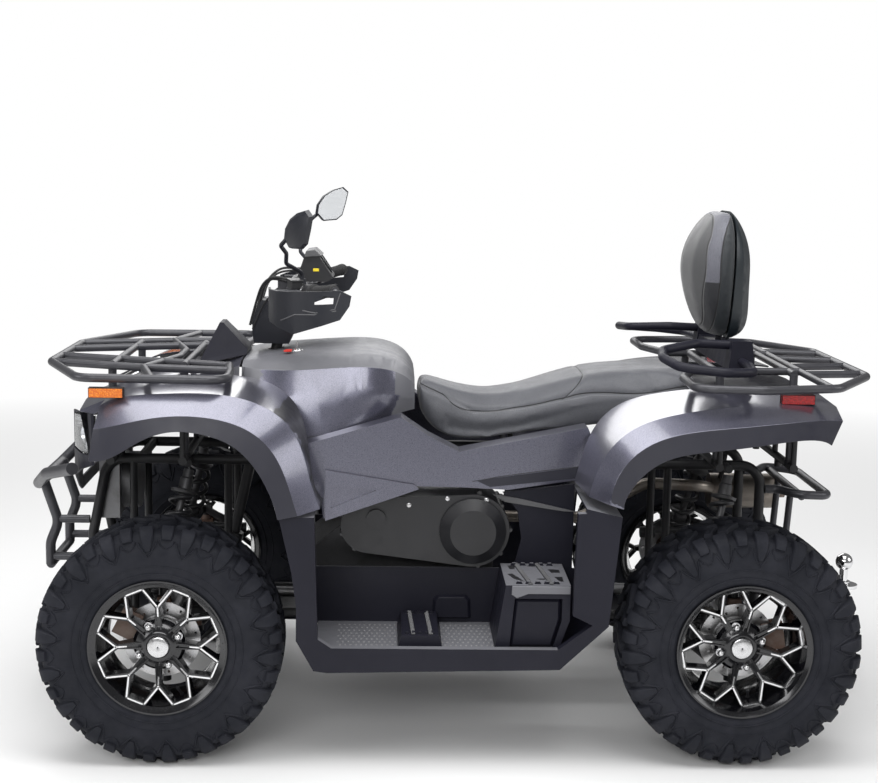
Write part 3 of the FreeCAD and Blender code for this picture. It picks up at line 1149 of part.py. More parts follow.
def across(point, radius):
    """A cross tube through a point's height and station, from rail to rail."""
    return bar_between(vec(point.x, FRAME_RAIL_Y, point.z), vec(point.x, -FRAME_RAIL_Y, point.z), radius)


def frame_rails():
    """The two side loops of the frame with their top rails."""
    y = FRAME_RAIL_Y
    front_top = rail_point(FRAME_FRONT_SHARE, y, UPPER_RAIL_Z)
    front_low = rail_point(FRAME_FRONT_SHARE, y, LOWER_RAIL_Z)
    nose = rail_point(FRAME_NOSE_SHARE, y, (UPPER_RAIL_Z + LOWER_RAIL_Z) / 2)
    rear_low = vec(FRAME_REAR_X, y, LOWER_RAIL_Z)
    rear_top = vec(FRAME_REAR_X, y, UPPER_RAIL_Z)
    tail = X_AXIS * (FRAME_BEND * 2)
    loop = bent_tube([front_top - tail, front_top, nose, front_low, rear_low, rear_top, rear_top + tail],
                     FRAME_TUBE, FRAME_BEND)
    overlap = tail * 0.9
    top = bar_between(front_top - overlap, rear_top + overlap, FRAME_TUBE)
    return both_sides(loop) + both_sides(top)


def column_point_at(x):
    """The point of the steering column's axis at a station along the vehicle."""
    return COLUMN_FOOT + COLUMN_RUN * ((x - COLUMN_FOOT.x) / COLUMN_RUN.x)


def frame(carried):
    """The welded tube frame, with its rack pads, column bearings and the stays of the panels it carries."""
    y = FRAME_RAIL_Y
    pieces = frame_rails()
    pieces += [across(rail_point(share, y, UPPER_RAIL_Z), FRAME_TUBE * 0.9)
               for share in FRAME_HIGH_CROSS_SHARES]
    pieces += [across(rail_point(share, y, LOWER_RAIL_Z), FRAME_TUBE * 0.9)
               for share in FRAME_LOW_CROSS_SHARES]
    pieces.append(across(vec(FRAME_REAR_X, 0, HITCH_BAR_Z), FRAME_TUBE))
    rod_way = TIE_ROD_Z + FRAME_TUBE + TIE_ROD_RADIUS * 4
    for post_x, post_low in ((FRONT_AXLE_X - ARM_SPREAD, rod_way), (FRONT_AXLE_X + ARM_SPREAD, LOWER_RAIL_Z),
                             (REAR_AXLE_X + ARM_SPREAD, LOWER_RAIL_Z)):
        pieces += both_sides(bar_between(vec(post_x, y, post_low), vec(post_x, y, UPPER_RAIL_Z),
                                         FRAME_TUBE * 0.8))
    low_bearing = column_point_at(FRONT_AXLE_X - ARM_SPREAD)
    high_bearing = COLUMN_FOOT + COLUMN_RUN * ((UPPER_RAIL_Z - COLUMN_FOOT.z) / COLUMN_RUN.z)
    for bearing in (low_bearing, high_bearing):
        half = COLUMN_RUN * (COLUMN_BEARING_LENGTH / 2)
        pieces.append(across(bearing, FRAME_TUBE * 0.75))
        pieces.append(bar_between(bearing - half, bearing + half, COLUMN_BEARING_RADIUS))
    bar_z = FRAME_PAD_Z - RACK_TUBE
    for share in FRONT_LEG_SHARES + REAR_LEG_SHARES:
        pieces.append(bar_between(rail_point(share, OUTRIGGER_Y, bar_z),
                                  rail_point(share, -OUTRIGGER_Y, bar_z), RACK_TUBE))
        foot = rail_point(share, y, UPPER_RAIL_Z)
        pieces += both_sides(bar_between(foot, vec(foot.x, y, bar_z), RACK_TUBE * 0.9))
        pieces += both_sides(Part.makeCylinder(RACK_TUBE * 1.3, RACK_TUBE + FRAME_PAD,
                                               rail_point(share, RACK_LEG_Y, bar_z), Z_AXIS))
    for axle_x in (FRONT_AXLE_X, REAR_AXLE_X):
        root = vec(axle_x - SHOCK_BACK, y, UPPER_RAIL_Z)
        pieces += both_sides(bar_between(root, vec(root.x, SHOCK_HIGH_Y + SHOCK_BODY, UPPER_RAIL_Z),
                                         SHOCK_LUG_TUBE))
    for share in PEG_BAR_SHARES:
        pieces.append(bar_between(rail_point(share, PEG_BAR_Y, LOWER_RAIL_Z),
                                  rail_point(share, -PEG_BAR_Y, LOWER_RAIL_Z),
                                  PEG_BAR_TUBE))
    for share, direction, panel in carried:
        pieces.append(stay(at(*share), direction, STAY_RADIUS, panel))
    bore = bar_between(COLUMN_FOOT, COLUMN_TOP, COLUMN_RADIUS + RUNNING_GAP)
    return fused(pieces).cut(bore)


def skid_plate():
    """The bent plate under the frame's rails, turned up at its nose."""
    top = LOWER_RAIL_Z - FRAME_TUBE
    nose = rail_point(FRAME_NOSE_SHARE, 0, top)
    back = rail_point(SKID_REAR_SHARE, 0, top)
    start = nose.x - FRAME_TUBE
    lip = nose.x + FRAME_TUBE * 2
    rise = top + FRAME_TUBE * 3
    outline = [(back.x, top), (start, top), (lip, rise), (lip + SKID_WALL, rise - SKID_WALL),
               (start, top - SKID_WALL),
               (back.x, top - SKID_WALL)]
    return prism_y(outline, -SKID_HALF_WIDTH, SKID_HALF_WIDTH)


HITCH_TUBE_HALF = 24.0
HITCH_Z = 326.0
HITCH_TONGUE_WALL = 10.0
HITCH_TONGUE_HALF = 34.0
HITCH_BALL_RADIUS = 25.0
HITCH_BALL_BACK = 41.0
HITCH_NECK_RADIUS = 12.0
HITCH_NECK_RISE = 46.0
HITCH_COLLAR_RADIUS = 20.0
HITCH_COLLAR_RISE = 9.0
HITCH_SOCKET_SHARE = 1.190
HITCH_BAR_Z = 430.0
GUARD_TUBE = 12.0
GUARD_BEND = 40.0
GUARD_SHARES = [(1.150, 0.330, 0.672), (1.212, 0.290, 0.664)]
GUARD_POST_SHARES = [(1.158, 0.120, 0.664), (1.150, 0.120, 0.450)]


def tow_hitch():
    """The square receiver, the flat tongue and the tow ball."""
    tail_x = -OVERALL_LENGTH / 2
    front = FRAME_REAR_X + FRAME_TUBE
    socket_x = rail_point(HITCH_SOCKET_SHARE, 0, 0).x
    half = HITCH_TUBE_HALF
    tube = block(socket_x, front, -half, half, HITCH_Z - half, HITCH_Z + half)
    tongue = block(tail_x + HITCH_TONGUE_HALF, socket_x + half, -HITCH_TONGUE_HALF, HITCH_TONGUE_HALF,
                   HITCH_Z - HITCH_TONGUE_WALL / 2, HITCH_Z + HITCH_TONGUE_WALL / 2)
    end = Part.makeCylinder(HITCH_TONGUE_HALF, HITCH_TONGUE_WALL,
                            vec(tail_x + HITCH_TONGUE_HALF, 0, HITCH_Z - HITCH_TONGUE_WALL / 2), Z_AXIS)
    foot = vec(tail_x + HITCH_BALL_BACK, 0, HITCH_Z)
    neck = Part.makeCylinder(HITCH_NECK_RADIUS, HITCH_TONGUE_WALL / 2 + HITCH_NECK_RISE, foot, Z_AXIS)
    collar = Part.makeCylinder(HITCH_COLLAR_RADIUS, HITCH_TONGUE_WALL / 2 + HITCH_COLLAR_RISE, foot, Z_AXIS)
    centre = foot + vec(0, 0, HITCH_TONGUE_WALL / 2 + HITCH_NECK_RISE + HITCH_BALL_RADIUS * 0.8)
    nut = Part.makeCylinder(HITCH_NECK_RADIUS * 1.4, HITCH_COLLAR_RADIUS, foot, -Z_AXIS)
    hanger = block(FRAME_REAR_X - FRAME_TUBE, front, -half * 0.8, half * 0.8, HITCH_Z,
                   HITCH_BAR_Z - FRAME_TUBE - SEAT_GAP)
    return fused([tube, tongue, end, neck, collar, nut, hanger, Part.makeSphere(HITCH_BALL_RADIUS, centre)])


def rear_guard():
    """The rear guard: a tapered hoop on the frame's posts, and two posts to a bar on the hitch tube."""
    half = at_all(GUARD_SHARES)
    seat_x = FRAME_REAR_X - FRAME_TUBE - SEAT_GAP
    start = vec(seat_x, FRAME_RAIL_Y, half[0].z)
    line = [start, start - X_AXIS * GUARD_BEND, half[0], half[1]]
    hoop = bent_tube(line + [vec(point.x, -point.y, point.z) for point in line[::-1]], GUARD_TUBE, GUARD_BEND)
    foot = vec(at(*GUARD_POST_SHARES[1]).x, at(*GUARD_POST_SHARES[1]).y,
               HITCH_Z + HITCH_TUBE_HALF + GUARD_TUBE * 0.9 + SEAT_GAP)
    posts = both_sides(bent_tube(at_all(GUARD_POST_SHARES) + [foot], GUARD_TUBE * 0.8, GUARD_BEND))
    top = at(GUARD_POST_SHARES[0][0], 0.310, GUARD_POST_SHARES[0][2])
    bars = [bar_between(place, vec(place.x, -place.y, place.z), GUARD_TUBE * 0.9) for place in (top, foot)]
    return fused([hoop] + bars + posts)


# Tail, lamps, radiator and air intake
TAIL_SHARES = [(0.962, 0.953), (0.962, 0.960), (1.158, 0.968), (1.190, 0.950), (1.190, 0.840),
               (1.183, 0.840), (1.183, 0.940),
               (1.155, 0.958)]
TAIL_HALF_SHARE = 0.378
TAIL_LAMP_SHARES = [(1.190, 0.935), (1.199, 0.930), (1.199, 0.885), (1.190, 0.880)]
TAIL_LAMP_INNER_SHARE = 0.20
TAIL_LAMP_OUTER_SHARE = 0.36
CORNER_SHARES = [(1.120, 0.780), (1.150, 0.905), (1.175, 0.935), (1.196, 0.893), (1.191, 0.866),
                 (1.171, 0.812)]
CORNER_INNER_SHARE = 0.42
CORNER_OUTER_SHARE = 0.80
RADIATOR_DEPTH = 46.0
RADIATOR_SHARES = (-0.150, 0.560, 0.745)
INTAKE_SHARES = [(0.031, 1.014), (0.070, 1.135), (0.119, 1.062), (0.119, 1.046)]
INTAKE_HALF_WIDTH = 72.0
REFLECTOR_SIZE = (82.0, 20.0, 22.0)
FRONT_REFLECTOR_SHARES = (-0.088, 0.860, 1.080)
REAR_REFLECTOR_SHARES = (1.088, 0.780, 1.080)


def tail_panel():
    """The rear deck sheet between the fenders, turned down at the back."""
    half = TAIL_HALF_SHARE * HALF_WIDTH
    return prism_y(side_outline(TAIL_SHARES), -half, half)


def tail_lamp():
    """The left tail lamp on the face of the tail panel."""
    outline = [(x, z) for x, z in side_outline(TAIL_LAMP_SHARES)]
    lamp = prism_y(outline, TAIL_LAMP_INNER_SHARE * HALF_WIDTH, TAIL_LAMP_OUTER_SHARE * HALF_WIDTH)
    return moved(lamp, -SEAT_GAP)


def tail_corner(fender_shape):
    """The black lower corner behind the left rear fender."""
    blank = prism_y(side_outline(CORNER_SHARES), CORNER_INNER_SHARE * HALF_WIDTH,
                    CORNER_OUTER_SHARE * HALF_WIDTH)
    return settled(moved(blank, -HALF_WIDTH / 2), X_AXIS, fender_shape)


def radiator():
    """The radiator core behind the grille, with its side tanks and fan ring."""
    back, low, high = RADIATOR_SHARES
    x = at(back, 0, 0).x
    half = FRAME_RAIL_Y - FRAME_TUBE - SEAT_GAP
    core = block(x - RADIATOR_DEPTH, x, -half * 0.82, half * 0.82, low * DECK_HEIGHT, high * DECK_HEIGHT)
    tanks = both_sides(block(x - RADIATOR_DEPTH - OVERRUN, x + OVERRUN, half * 0.80, half,
                             low * DECK_HEIGHT, high * DECK_HEIGHT))
    middle = (low + high) / 2 * DECK_HEIGHT
    fan = Part.makeCylinder((high - low) * DECK_HEIGHT * 0.45, RADIATOR_DEPTH,
                            vec(x - RADIATOR_DEPTH, 0, middle), -X_AXIS)
    return fused([core, fan] + tanks)


def air_intake(hood_shape):
    """The tapered intake pod in front of the bars."""
    half = INTAKE_HALF_WIDTH
    outline = side_outline(INTAKE_SHARES)
    low = [vec(outline[index][0], y, outline[index][1]) for index,
           y in ((0, -half), (0, half), (3, half), (3, -half))]
    mid = [vec(outline[0][0], -half * 0.9, outline[0][1] + OVERRUN * 2),
           vec(outline[0][0], half * 0.9, outline[0][1] + OVERRUN * 2),
           vec(outline[2][0], half * 0.9, outline[2][1]), vec(outline[2][0], -half * 0.9, outline[2][1])]
    crest_front = outline[1][0] + OVERRUN
    crest_back = outline[1][0] - OVERRUN
    top = [vec(crest_front, -half * 0.6, outline[1][1]), vec(crest_front, half * 0.6, outline[1][1]),
           vec(crest_back, half * 0.6, outline[1][1]), vec(crest_back, -half * 0.6, outline[1][1])]
    pod = fused([skin([low, mid], True), skin([mid, top], True)])
    return settled(moved(pod, 0, 0, OVERALL_WIDTH / 4), -Z_AXIS, hood_shape)


def reflector(shares, panel):
    """A small side lamp that sits on a fender's shoulder."""
    place = at(*shares)
    length, width, height = REFLECTOR_SIZE
    lamp = block(place.x - length / 2, place.x + length / 2, place.y - width / 2, place.y + width / 2,
                 place.z, place.z + height)
    return settled(lamp, -Z_AXIS, panel)


# Handlebar and what turns with it
BAR_RADIUS = 11.0
BAR_BEND = 50.0
BAR_SHARES = [(0.196, 0.000, 1.232), (0.198, 0.130, 1.233), (0.222, 0.290, 1.246), (0.240, 0.455, 1.243),
              (0.290, 0.655, 1.260)]
GRIP_RADIUS = 16.5
CLAMP_HALF = (26.0, 48.0)
COVER_LOW_SHARES = [(0.131, 0.075), (0.131, -0.075), (0.196, -0.085), (0.196, 0.085)]
COVER_MID_SHARES = [(0.130, 0.095), (0.130, -0.095), (0.206, -0.110), (0.206, 0.110)]
COVER_TOP_SHARES = [(0.146, 0.105), (0.146, -0.105), (0.190, -0.115), (0.190, 0.115)]
COVER_HEIGHT_SHARES = (1.072, 1.145, 1.200)
GUARD_FACE_SHARES = [(0.164, 1.252), (0.300, 1.266), (0.319, 1.252), (0.316, 1.225), (0.300, 1.188),
                     (0.218, 1.143), (0.164, 1.168)]
GUARD_PLAN_SHARES = [(0.330, 0.735), (0.312, 0.738), (0.270, 0.728), (0.224, 0.675), (0.192, 0.590),
                     (0.176, 0.480), (0.170, 0.360)]
GUARD_SLOT_SHARES = [(0.256, 1.226), (0.256, 1.236), (0.268, 1.240), (0.270, 1.250), (0.289, 1.249),
                     (0.288, 1.230)]
GUARD_WALL = 5.0
GUARD_STAY = 6.0
GUARD_ROOT_SHARE = 0.85
MIRROR_OUTLINE_SHARES = [(-0.60, -1.00), (0.25, -0.96), (0.62, -0.68), (0.85, 0.07), (1.00, 0.70),
                         (0.66, 1.00), (0.05, 0.84),
                         (-0.52, 0.50), (-0.92, -0.04), (-1.00, -0.56)]
MIRROR_HALF = (74.0, 51.0)
MIRROR_DEPTH = 17.0
MIRROR_GLASS_WALL = 3.0
MIRROR_STALK = 5.5
MIRROR_ROOT_SHARE = 0.20
LEFT_MIRROR_SHARES = (0.2300, 0.690, 1.424)
LEFT_MIRROR_YAW = 30.0
LEFT_MIRROR_STALK_SHARES = [(0.200, 0.440, 1.322), (0.202, 0.490, 1.352)]
RIGHT_MIRROR_SHARES = (0.2650, 0.690, 1.466)
RIGHT_MIRROR_YAW = 38.0
RIGHT_MIRROR_STALK_SHARES = [(0.204, 0.440, 1.322), (0.210, 0.500, 1.372)]
DISPLAY_SHARES = [(0.212, 1.270), (0.228, 1.345), (0.244, 1.349), (0.279, 1.268), (0.268, 1.256),
                  (0.200, 1.256), (0.200, 1.264)]
DISPLAY_HALF_WIDTH = 62.0
LEVER_SHARES = [(0.222, 0.330, 1.232), (0.205, 0.440, 1.226), (0.232, 0.600, 1.240)]
LEVER_RADIUS = 5.0


def bar_points():
    """The left half of the handlebar's centre line."""
    return at_all(BAR_SHARES)


def handlebar():
    """The handlebar tube with its clamp and two brake levers."""
    half = bar_points()
    tube = bar_tube(BAR_RADIUS)
    centre = COLUMN_TOP
    depth, width = CLAMP_HALF
    low_z = centre.z + COLUMN_RADIUS * abs(COLUMN_RUN.x) + SEAT_GAP
    high_z = min(z for x, z in side_outline(DISPLAY_SHARES)) - SEAT_GAP
    clamp = block(centre.x - depth, centre.x + depth, -width, width, low_z, high_z)
    levers = both_sides(bent_tube(at_all(LEVER_SHARES), LEVER_RADIUS, BAR_BEND))
    perch = both_sides(bar_between(at(0.236, 0.330, 1.246), at(*LEVER_SHARES[0]), BAR_RADIUS))
    return fused([tube, clamp] + levers + perch)


def grip():
    """The left grip, a tapered sleeve on the bar."""
    inner, outer = bar_points()[-2:]
    run = outer - inner
    start = inner + run * 0.22
    length = run.Length * 0.74
    sleeve = Part.makeCylinder(GRIP_RADIUS, length, start, run)
    collar = Part.makeCylinder(GRIP_RADIUS * 1.3, GRIP_RADIUS * 0.3, start, run)
    bore = Part.makeCylinder(BAR_RADIUS + SEAT_GAP, length + OVERRUN * 2, start - run.normalize() * OVERRUN,
                             run)
    return fused([sleeve, collar]).cut(bore)


def column_cover():
    """The cover round the steering column, with its bore."""
    sections = []
    for shares, up in zip((COVER_LOW_SHARES, COVER_MID_SHARES, COVER_TOP_SHARES), COVER_HEIGHT_SHARES):
        sections.append([at(back, out, up) for back, out in shares])
    body = skin(sections)
    return body.cut(bar_between(COLUMN_FOOT, COLUMN_TOP, COLUMN_RADIUS + SEAT_GAP))


def bar_tube(radius):
    """The handlebar's tube at a given radius."""
    half = bar_points()
    return bent_tube([vec(point.x, -point.y, point.z) for point in half[:0:-1]] + half[1:], radius, BAR_BEND)


def hand_guard():
    """The left hand guard: a bowed shield with two stays that reach back to the bar."""
    sheet = plan_strip(GUARD_PLAN_SHARES, GUARD_WALL)
    slot = prism_y(side_outline(GUARD_SLOT_SHARES), 0, HALF_WIDTH)
    shield = sheet.common(prism_y(side_outline(GUARD_FACE_SHARES), 0, HALF_WIDTH)).cut(slot)
    bend, knee, tip = bar_points()[-3:]
    root = bend + (knee - bend) * GUARD_ROOT_SHARE
    pieces = [shield]
    for start, direction in ((root, X_AXIS), (tip, Y_AXIS)):
        reach = stay(start, direction, GUARD_STAY, shield).BoundBox.DiagonalLength
        pieces.append(Part.makeCylinder(GUARD_STAY, reach + GUARD_WALL / 2, start, direction))
    return fused(pieces).cut(bar_tube(BAR_RADIUS + SEAT_GAP))


def mirror_parts(centre_shares, yaw, stalk_shares):
    """A left mirror: housing with stalk, and the glass in its rear face, turned in to the rider."""
    centre = at(*centre_shares)
    width, height = MIRROR_HALF

    def ring(x, scale):
        """The mirror's outline at a depth, scaled about its middle."""
        return [centre + vec(x, out * width * scale, up * height * scale)
                for out, up in MIRROR_OUTLINE_SHARES]

    housing = skin([ring(0, 1.0), ring(MIRROR_DEPTH * 0.6, 0.94), ring(MIRROR_DEPTH, 0.70)], True)
    depth = MIRROR_DEPTH + MIRROR_GLASS_WALL + SEAT_GAP
    pocket = Part.Face(closed_wire(ring(-MIRROR_DEPTH, 0.93))).extrude(vec(depth, 0, 0))
    glass = Part.Face(closed_wire(ring(0, 0.92))).extrude(vec(MIRROR_GLASS_WALL, 0, 0))
    housing, pocket, glass = [turned(form, centre, Z_AXIS, yaw) for form in (housing, pocket, glass)]
    bend, knee = bar_points()[2:4]
    root = bend + (knee - bend) * MIRROR_ROOT_SHARE + Z_AXIS * (BAR_RADIUS * 1.06 + SEAT_GAP)
    lift = Z_AXIS * (MIRROR_STALK * 3)
    entry = [vec(MIRROR_DEPTH * 0.6, -width * 1.2, -height * 0.9),
             vec(MIRROR_DEPTH * 0.6, -width * 0.45, -height * 0.3)]
    arm = [turned(Part.Vertex(centre + place), centre, Z_AXIS, yaw).Point for place in entry]
    line = [root + lift * 0.5, root + lift * 2] + at_all(stalk_shares) + arm
    nut = Part.makeCylinder(MIRROR_STALK * 2, MIRROR_STALK * 3, root, Z_AXIS)
    return fused([housing, bent_tube(line, MIRROR_STALK, BAR_BEND / 2), nut]).cut(pocket), glass


def display():
    """The instrument pod above the bar's clamp."""
    return prism_y(side_outline(DISPLAY_SHARES), -DISPLAY_HALF_WIDTH, DISPLAY_HALF_WIDTH)


def save(name, shapes):
    """Write one sub-part's solids to its own file."""
    solids = []
    for shape in shapes:
        solids += shape.Solids
    body = solids[0] if len(solids) == 1 else Part.makeCompound(solids)
    body.exportStep("parts/" + name + ".step")


def main():
    """Build every sub-part and write it."""
    os.makedirs("parts", exist_ok=True)
    front_fender = fender(FRONT_FENDER_SHARES)
    rear_fender = fender(REAR_FENDER_SHARES)
    console_body = console()
    hood_sheet = hood()
    side = side_panel()
    cushion = seat()
    pad, shell = backrest_halves()
    well = footwell()
    tail = tail_panel()
    fascia = front_fascia()
    engine_block = engine()
    exhaust_pipe = exhaust()
    line = driveline(engine_block)
    rails = Part.makeCompound(frame_rails())
    carried = [((FRONT_LEG_SHARES[0], 0, 0.770), Z_AXIS, hood_sheet),
               ((FRONT_LEG_SHARES[1], 0, 0.770), Z_AXIS, hood_sheet),
               ((0.300, 0, 0.742), Z_AXIS, console_body), ((0.620, 0, 0.742), Z_AXIS, cushion),
               ((0.860, 0, 0.742), Z_AXIS, cushion), ((0.300, 0.08, 0.284), Z_AXIS, engine_block),
               ((0.520, -0.08, 0.284), Z_AXIS, engine_block)]
    for side_sign, turn in ((1, Y_AXIS), (-1, -Y_AXIS)):
        panels = [front_fender, rear_fender, side, well]
        if side_sign < 0:
            panels = [mirrored(panel) for panel in panels]
        front_wing, rear_wing, flank, tub = panels
        carried.append(((FRONT_LEG_SHARES[0], side_sign * 0.480, 0.770), vec(-0.2, 0, 1), front_wing))
        carried.append(((FRONT_LEG_SHARES[1], side_sign * 0.480, 0.770), Z_AXIS, front_wing))
        for share in REAR_LEG_SHARES:
            carried.append(((share, side_sign * 0.480, 0.770), Z_AXIS, rear_wing))
            carried.append(((share, side_sign * 0.150, 0.770), Z_AXIS, tail))
        for share in (0.350, 0.620):
            carried.append(((share, side_sign * 0.212, 0.742), turn, flank))
        for share in PEG_BAR_SHARES:
            carried.append(((share, side_sign * 0.600, 0.284), Z_AXIS, tub))
        carried.append(((FRONT_LEG_SHARES[0], side_sign * 0.400, 0.770), X_AXIS, fascia))
        carried.append(((0, side_sign * 0.212, 0.284), -turn, line))
        carried.append(((1, side_sign * 0.212, 0.284), -turn, line))
    carried.append(((1.060, -0.212, 0.742), vec(0, -0.48, -0.877), exhaust_pipe))
    save("frame", [frame(carried)])
    save("front_fenders", both_sides(front_fender))
    save("rear_fenders", both_sides(rear_fender))
    save("console", [console_body])
    save("hood", [hood_sheet])
    save("side_panels", both_sides(side))
    save("seat", [cushion])
    save("backrest_pad", [pad])
    save("backrest_shell", [shell])
    save("footwell_left", [well])
    save("footwell_right", [mirrored(well)])
    save("tail_panel", [tail])
    save("grab_handles", [grab_handles(Part.makeCompound([pad, shell]))])
    save("front_fascia", [fascia])
    save("headlamps", both_sides(headlamp()))
    save("tail_lamps", both_sides(tail_lamp()))
    save("tail_corners", both_sides(tail_corner(rear_fender)))
    save("front_reflectors", both_sides(reflector(FRONT_REFLECTOR_SHARES, front_fender)))
    save("rear_reflectors", both_sides(reflector(REAR_REFLECTOR_SHARES, rear_fender)))
    save("air_intake", [air_intake(hood_sheet)])
    save("radiator", [radiator()])
    save("front_rack", [front_rack()])
    save("rear_rack", [rear_rack()])
    save("front_bumper", [front_bumper(rails)])
    save("engine", [engine_block])
    save("belt_cover", [belt_cover()])
    save("exhaust", [exhaust_pipe])
    save("driveline", [line])
    save("skid_plate", [skid_plate()])
    save("tow_hitch", [tow_hitch()])
    save("rear_guard", [rear_guard()])
    shocks = []
    for name, axle_x, wheel_y, width in (("front", FRONT_AXLE_X, FRONT_WHEEL_Y, FRONT_TYRE_WIDTH),
                                         ("rear", REAR_AXLE_X, REAR_WHEEL_Y, REAR_TYRE_WIDTH)):
        arms = suspension_arms(axle_x, wheel_y - KINGPIN_OFFSET)
        save(name + "_arms", both_sides(arms))
        for part_name, shape in (("tyre", tyre(width)), ("rim", rim(width)), ("hub", hub())):
            left = moved(shape, axle_x, wheel_y, AXLE_Z)
            save(name + "_left_" + part_name, [left])
            save(name + "_right_" + part_name, [mirrored(left)])
        shocks += both_sides(shock(axle_x, wheel_y - KINGPIN_OFFSET, arms))
    save("shock_absorbers", shocks)
    left = moved(knuckle(FRONT_CALIPER_TURN), FRONT_AXLE_X, FRONT_WHEEL_Y, AXLE_Z)
    save("knuckle_left", [left])
    save("knuckle_right", [mirrored(left)])
    rear_left = moved(knuckle(REAR_CALIPER_TURN), REAR_AXLE_X, REAR_WHEEL_Y, AXLE_Z)
    save("rear_uprights", both_sides(rear_left))
    rod = tie_rod()
    save("tie_rod_left", [rod])
    save("tie_rod_right", [mirrored(rod)])
    save("steering_column", [steering_column()])
    save("column_cover", [column_cover()])
    save("handlebar", [handlebar()])
    save("grips", both_sides(grip()))
    save("hand_guards", both_sides(hand_guard()))
    left_housing, left_glass = mirror_parts(LEFT_MIRROR_SHARES, LEFT_MIRROR_YAW, LEFT_MIRROR_STALK_SHARES)
    right_housing, right_glass = mirror_parts(RIGHT_MIRROR_SHARES, RIGHT_MIRROR_YAW,
                                              RIGHT_MIRROR_STALK_SHARES)
    save("mirrors", [left_housing, mirrored(right_housing)])
    save("mirror_glasses", [left_glass, mirrored(right_glass)])
    save("display", [display()])


main()
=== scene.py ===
"""Studio scene of a two-seat utility quad bike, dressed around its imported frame."""

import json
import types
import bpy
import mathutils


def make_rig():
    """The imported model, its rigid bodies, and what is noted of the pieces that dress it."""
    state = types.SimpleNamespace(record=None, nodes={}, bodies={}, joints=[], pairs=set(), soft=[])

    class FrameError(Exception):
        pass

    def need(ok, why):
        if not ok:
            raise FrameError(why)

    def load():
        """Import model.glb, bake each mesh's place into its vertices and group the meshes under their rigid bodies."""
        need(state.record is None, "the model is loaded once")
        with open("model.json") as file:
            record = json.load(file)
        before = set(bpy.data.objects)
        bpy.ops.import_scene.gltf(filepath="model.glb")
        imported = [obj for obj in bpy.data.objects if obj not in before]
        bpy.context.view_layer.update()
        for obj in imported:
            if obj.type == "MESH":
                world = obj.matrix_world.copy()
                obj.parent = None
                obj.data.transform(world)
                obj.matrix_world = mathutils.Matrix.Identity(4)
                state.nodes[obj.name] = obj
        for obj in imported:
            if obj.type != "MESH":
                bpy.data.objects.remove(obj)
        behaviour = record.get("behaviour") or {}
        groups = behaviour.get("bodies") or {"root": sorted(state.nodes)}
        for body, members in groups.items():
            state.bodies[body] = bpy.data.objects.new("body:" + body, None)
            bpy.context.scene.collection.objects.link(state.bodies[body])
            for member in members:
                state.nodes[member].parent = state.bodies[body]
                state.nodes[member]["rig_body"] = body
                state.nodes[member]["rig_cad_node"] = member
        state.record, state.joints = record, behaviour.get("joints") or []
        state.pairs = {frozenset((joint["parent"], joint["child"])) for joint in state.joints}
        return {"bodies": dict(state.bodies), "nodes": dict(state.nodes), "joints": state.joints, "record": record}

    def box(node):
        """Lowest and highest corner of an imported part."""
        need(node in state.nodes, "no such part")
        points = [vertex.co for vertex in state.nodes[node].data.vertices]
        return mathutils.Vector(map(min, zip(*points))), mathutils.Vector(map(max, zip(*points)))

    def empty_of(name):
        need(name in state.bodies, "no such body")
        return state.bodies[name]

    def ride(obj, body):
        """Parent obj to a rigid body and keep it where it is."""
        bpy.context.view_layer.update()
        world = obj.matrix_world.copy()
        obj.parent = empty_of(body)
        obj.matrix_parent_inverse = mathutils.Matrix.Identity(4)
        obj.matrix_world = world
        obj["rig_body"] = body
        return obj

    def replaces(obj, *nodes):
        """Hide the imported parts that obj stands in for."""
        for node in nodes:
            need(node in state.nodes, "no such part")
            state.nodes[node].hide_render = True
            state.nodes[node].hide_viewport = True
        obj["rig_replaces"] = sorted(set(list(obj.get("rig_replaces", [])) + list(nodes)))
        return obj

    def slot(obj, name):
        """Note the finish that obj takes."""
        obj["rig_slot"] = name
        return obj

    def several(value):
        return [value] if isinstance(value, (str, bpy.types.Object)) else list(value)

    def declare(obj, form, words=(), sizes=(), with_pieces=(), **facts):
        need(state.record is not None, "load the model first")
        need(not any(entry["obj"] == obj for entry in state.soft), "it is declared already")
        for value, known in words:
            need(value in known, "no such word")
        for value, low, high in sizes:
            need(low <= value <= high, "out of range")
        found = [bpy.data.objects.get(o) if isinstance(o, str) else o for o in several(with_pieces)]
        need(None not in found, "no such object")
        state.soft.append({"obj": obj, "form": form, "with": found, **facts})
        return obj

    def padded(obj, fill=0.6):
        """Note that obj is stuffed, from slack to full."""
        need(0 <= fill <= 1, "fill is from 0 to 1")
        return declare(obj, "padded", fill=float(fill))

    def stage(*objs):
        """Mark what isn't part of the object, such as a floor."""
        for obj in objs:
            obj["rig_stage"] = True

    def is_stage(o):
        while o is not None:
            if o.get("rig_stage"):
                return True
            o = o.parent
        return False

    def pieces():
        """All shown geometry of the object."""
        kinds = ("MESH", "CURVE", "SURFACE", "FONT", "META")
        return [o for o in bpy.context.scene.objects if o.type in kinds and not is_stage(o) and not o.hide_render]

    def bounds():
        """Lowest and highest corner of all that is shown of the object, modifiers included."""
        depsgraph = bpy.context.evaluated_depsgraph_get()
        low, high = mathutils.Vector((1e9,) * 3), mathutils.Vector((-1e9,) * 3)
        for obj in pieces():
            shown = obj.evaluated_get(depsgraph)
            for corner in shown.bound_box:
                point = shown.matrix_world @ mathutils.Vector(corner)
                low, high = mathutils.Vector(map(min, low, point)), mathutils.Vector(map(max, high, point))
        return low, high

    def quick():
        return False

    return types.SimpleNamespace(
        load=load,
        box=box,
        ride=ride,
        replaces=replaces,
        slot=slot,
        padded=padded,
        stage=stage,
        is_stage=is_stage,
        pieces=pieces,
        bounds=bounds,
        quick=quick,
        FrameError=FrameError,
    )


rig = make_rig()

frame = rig.load()
